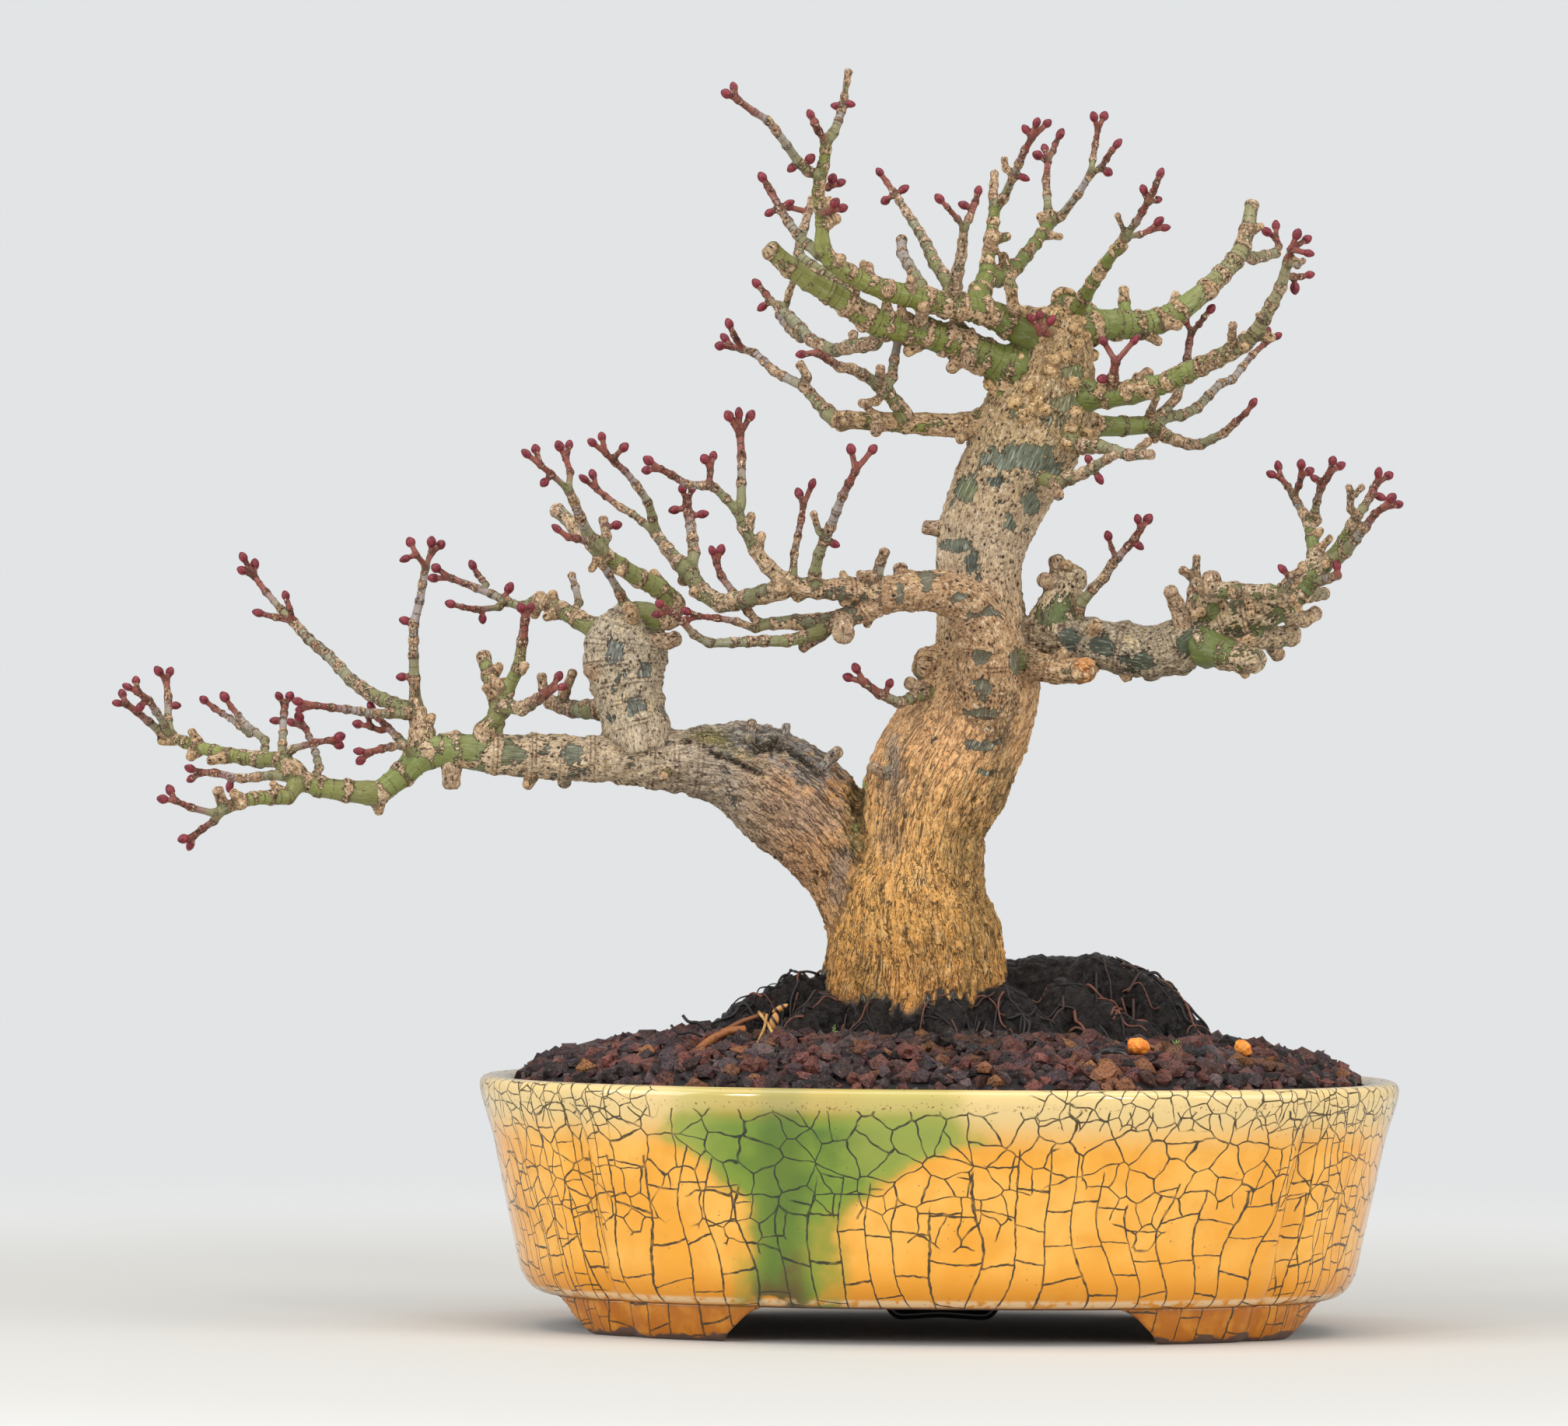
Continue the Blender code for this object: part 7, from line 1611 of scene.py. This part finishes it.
def fibre_mesh(fibres, sides):
    """Thin rods along routes, each with its own widths and colour."""
    points, faces, tints, base = [], [], [], 0
    for route, widths, hexed in fibres:
        rows = [(*point, width) for point, width in zip(route, widths)]
        table, _ = even_steps(rows, 0.7, 3)
        ahead, side, over = directions(table[:, :3])
        turn = np.linspace(0, math.tau, sides, endpoint=False)
        ring = side[:, None] * np.cos(turn)[None, :, None] + over[:, None] * np.sin(turn)[None, :, None]
        ring = table[:, None, :3] + ring * table[:, 3][:, None, None]
        count = len(table)
        points.append(ring.reshape(-1, 3))
        for k in range(count - 1):
            for j in range(sides):
                after = (j + 1) % sides
                low, high = base + k * sides, base + (k + 1) * sides
                faces.append((low + j, low + after, high + after, high + j))
        faces.append(tuple(base + j for j in reversed(range(sides))))
        faces.append(tuple(base + (count - 1) * sides + j for j in range(sides)))
        base += count * sides
        tints.append(np.tile(colour(hexed), (count * sides, 1)))
    mesh = bpy.data.meshes.new("fibres")
    mesh.from_pydata(np.concatenate(points).tolist(), [], faces)
    layer = mesh.attributes.new("tint", "FLOAT_COLOR", "POINT")
    layer.data.foreach_set("color", np.concatenate(tints).ravel())
    return mesh


def on_roots(x, y):
    """The height of the roots or the grit at x and y."""
    start = Vector((x, y, RAY_START))
    heights = [hit[0].z for hit in (mound.ray_cast(start, DOWN), bed.ray_cast(start, DOWN)) if hit[0]]
    return max(heights, default=70)


luck = random.Random(33)
fibres = []
for number in range(190):
    turn = luck.uniform(0, math.tau) if number % 3 else luck.uniform(-math.pi, 0)
    reach = luck.uniform(0.55, 1.08)
    x, y = POT_X + 6 + math.cos(turn) * 58 * reach, math.sin(turn) * 32 * reach
    heading = turn + luck.uniform(-1.3, 1.3)
    width = luck.uniform(0.22, 0.5)
    route, widths = [], []
    rise = luck.uniform(0.0, 1.6)
    for k in range(luck.randint(4, 8)):
        lift = 0.25 + rise * math.sin(k * 0.9) ** 2
        route.append((x, y, on_roots(x, y) + lift))
        widths.append(width * (1 - 0.08 * k))
        x += math.cos(heading) * 1.7
        y += math.sin(heading) * 1.7
        heading += luck.uniform(-0.7, 0.7)
    shown = luck.choice(["#171214", "#241A18", "#3A2620", "#5A3A2A", "#6E3F2E", "#1B1718"])
    fibres.append((route, widths, shown))
for corners, width, hexed in (
    ([(-42, 74, -42), (-44.5, 78.5, -38), (-46.5, 81, -35)], 0.42, "#C9A05E"),
    ([(-47, 72.5, -43), (-45, 77, -40), (-44.4, 80.5, -38)], 0.34, "#B98A4C"),
    ([(-50, 76.5, -38), (-55, 76, -40), (-60, 73, -41), (-66, 67.2, -44)], 1.1, "#9A5C2C"),
    ([(-45, 80.5, -34), (-51, 78.6, -37), (-57, 75.2, -39)], 0.6, "#7A4A2A"),
    ([(-60, 76, -34), (-62, 78.5, -34), (-64.5, 78, -34), (-66, 80, -33)], 0.45, "#1B1617"),
    ([(-61, 74.5, -36), (-64, 76, -36), (-67, 75, -36), (-69, 77.5, -35)], 0.4, "#1B1617"),
    ([(-9, 66.5, -46), (-3, 69.6, -43), (3, 71.5, -40), (8, 74, -37)], 0.75, "#6E3B30"),
    ([(-2, 69.5, -44), (3, 68.4, -46), (8, 67.5, -48)], 0.5, "#5E342A"),
    ([(20, 71.5, -42), (27, 70.6, -44), (33, 71.6, -43)], 0.5, "#4A2E28"),
    ([(58, 73, -30), (63, 69.5, -34), (68, 68.5, -37), (72, 70, -38)], 0.9, "#4A3430"),
):
    route = [seen_at(x, z, y) for x, z, y in corners]
    fibres.append((route, [width] * len(route), hexed))
mesh = fibre_mesh(fibres, 6)
piece("rootlets", mesh, litter_look, "lava_grit")

# Two flakes of shed bark, amber with dark stripes, on the left shoulder of the roots.
flake_look, shade, shader = new_look("shed_bark_flake", Roughness=0.4)
spot = add("Mapping", in_millimetres(), Rotation=(0, math.radians(35), 0))
bands = add("TexWave", spot, 0.16, 1.5, out="Fac")
tone = add("Mix", add("MapRange", bands, 0.55, 0.8), colour("#C08A4A"), colour("#3A2414"))
shade.links.new(tone, shader.inputs["Base Color"])
bm = bmesh.new()
for x, z, y, half, tilt in (
    (-41, 82.0, -37, (2.3, 1.0, 0.8), -0.5), (-42.6, 78.6, -38, (1.2, 0.9, 2.3), 0.3),
):
    made = bmesh.ops.create_uvsphere(bm, u_segments=20, v_segments=12, radius=1.0)["verts"]
    pose = Matrix.Translation(seen_at(x, z, y)) @ Matrix.Rotation(tilt, 4, "Y")
    pose = pose @ Matrix.Diagonal((*half, 1))
    bmesh.ops.transform(bm, matrix=pose, verts=made)
    for vert in made:
        vert.co += Vector((0, 0, 1)) * 0.35 * noise.noise(vert.co * 0.6)
piece("bark_flakes", to_mesh("flakes", bm), flake_look, "lava_grit")

# Moss: two star-shaped sprigs by the roots and smaller scraps on the grit and the left stem, each
# with narrow pointed leaves all round.
moss_look, shade, shader = new_look("moss_sprig", Roughness=0.6, Subsurface_Weight=0.1)
spot = in_millimetres()
tone = add(
    "Mix", add("MapRange", add("TexNoise", spot, 0.6, 2.0), 0.35, 0.65), colour("#4E6B2A"),
    colour("#8FB05A"),
)
shade.links.new(tone, shader.inputs["Base Color"])
bm = bmesh.new()
luck = random.Random(4)
for x, z, y, tall, leaves in ((50.5, 70, -34, 4.2, 16), (61, 69, -38, 5.0, 20), (-27, 76, -38, 1.8, 9),
                              (44, 66, -44, 2.2, 9), (-20, 139, -15, 1.4, 10), (-22, 128, -14, 1.4, 10)):
    foot = Vector(seen_at(x, z, y))
    for k in range(leaves):
        turn = k * 2.4
        share = k / leaves
        out = Vector((math.cos(turn), math.sin(turn), 0.35 + 0.9 * share)).normalized()
        start = foot + Vector((0, 0, tall * share))
        length = tall * luck.uniform(0.35, 0.5) * (1.1 - 0.4 * share)
        turned = out.to_track_quat("Z", "Y").to_matrix().to_4x4()
        pose = Matrix.Translation(start + out * length / 2) @ turned
        bmesh.ops.create_cone(
            bm, cap_ends=True, segments=5, radius1=0.26, radius2=0.03, depth=length, matrix=pose
        )
piece("moss_sprigs", to_mesh("moss", bm), moss_look, "lava_grit")


# Studio. A pale paper floor that fades into even light all round, so that the tree can be seen
# from any side, and large soft lamps to both sides and above, as in an exhibition photograph.
bm = bmesh.new()
bmesh.ops.create_circle(bm, cap_ends=True, segments=96, radius=3.0)
paper, shade, shader = new_look("pale_paper", Roughness=0.9)
shader.inputs["Specular IOR Level"].default_value = 0.2
away = add("VectorMath.LENGTH", add("TexCoord", out="Object"))
tone = add("Mix", add("MapRange", away, 0.25, 0.75), colour("#D2D1CD"), colour("#F6F6F4"))
shade.links.new(tone, shader.inputs["Base Color"])
shade.links.new(add("MapRange", away, 0.22, 0.95, 1.0, 0.0), shader.inputs["Alpha"])
floor_mesh = to_mesh("floor", bm)
floor_mesh.materials.append(paper)
floor = bpy.data.objects.new("floor", floor_mesh)
bpy.context.scene.collection.objects.link(floor)


def lamp(name, place, aim, width, height, watts, tint):
    data = bpy.data.lights.new(name, "AREA")
    data.shape = "RECTANGLE"
    data.size, data.size_y = width, height
    data.energy = watts
    data.color = colour(tint)[:3]
    made = bpy.data.objects.new(name, data)
    bpy.context.scene.collection.objects.link(made)
    made.location = place
    toward = Vector(aim) - Vector(place)
    made.rotation_euler = toward.to_track_quat("-Z", "Y").to_euler()


lamp("lamp_above", (0.05, -0.35, 1.45), (0.05, 0.05, 0.1), 1.6, 1.2, 12.5, "#FFFDF8")
lamp("lamp_left", (-1.35, -0.85, 0.75), (0.05, 0, 0.13), 0.9, 1.1, 11.5, "#FBFDFF")
lamp("lamp_right", (1.45, -0.75, 0.65), (0.05, 0, 0.13), 0.9, 1.1, 9.5, "#FFFDFA")
lamp("window_left", (-1.05, -1.75, 0.95), (0.05, 0, 0.12), 0.22, 0.5, 7, "#FFFFFF")
lamp("window_right", (1.05, -1.95, 0.95), (0.05, 0, 0.12), 0.22, 0.5, 6, "#FFFFFF")
sky = bpy.data.worlds.new("studio_air")
sky.use_nodes = True
shade, shader = sky.node_tree, sky.node_tree.nodes["Background"]
backdrop = add("LightPath", out="Is Camera Ray")
shade.links.new(add("Mix", backdrop, colour("#F4F5F7"), colour("#E2E4E5")), shader.inputs["Color"])
shade.links.new(add("MapRange", backdrop, 0, 1, 0.54, 1.0), shader.inputs["Strength"])
bpy.context.scene.world = sky
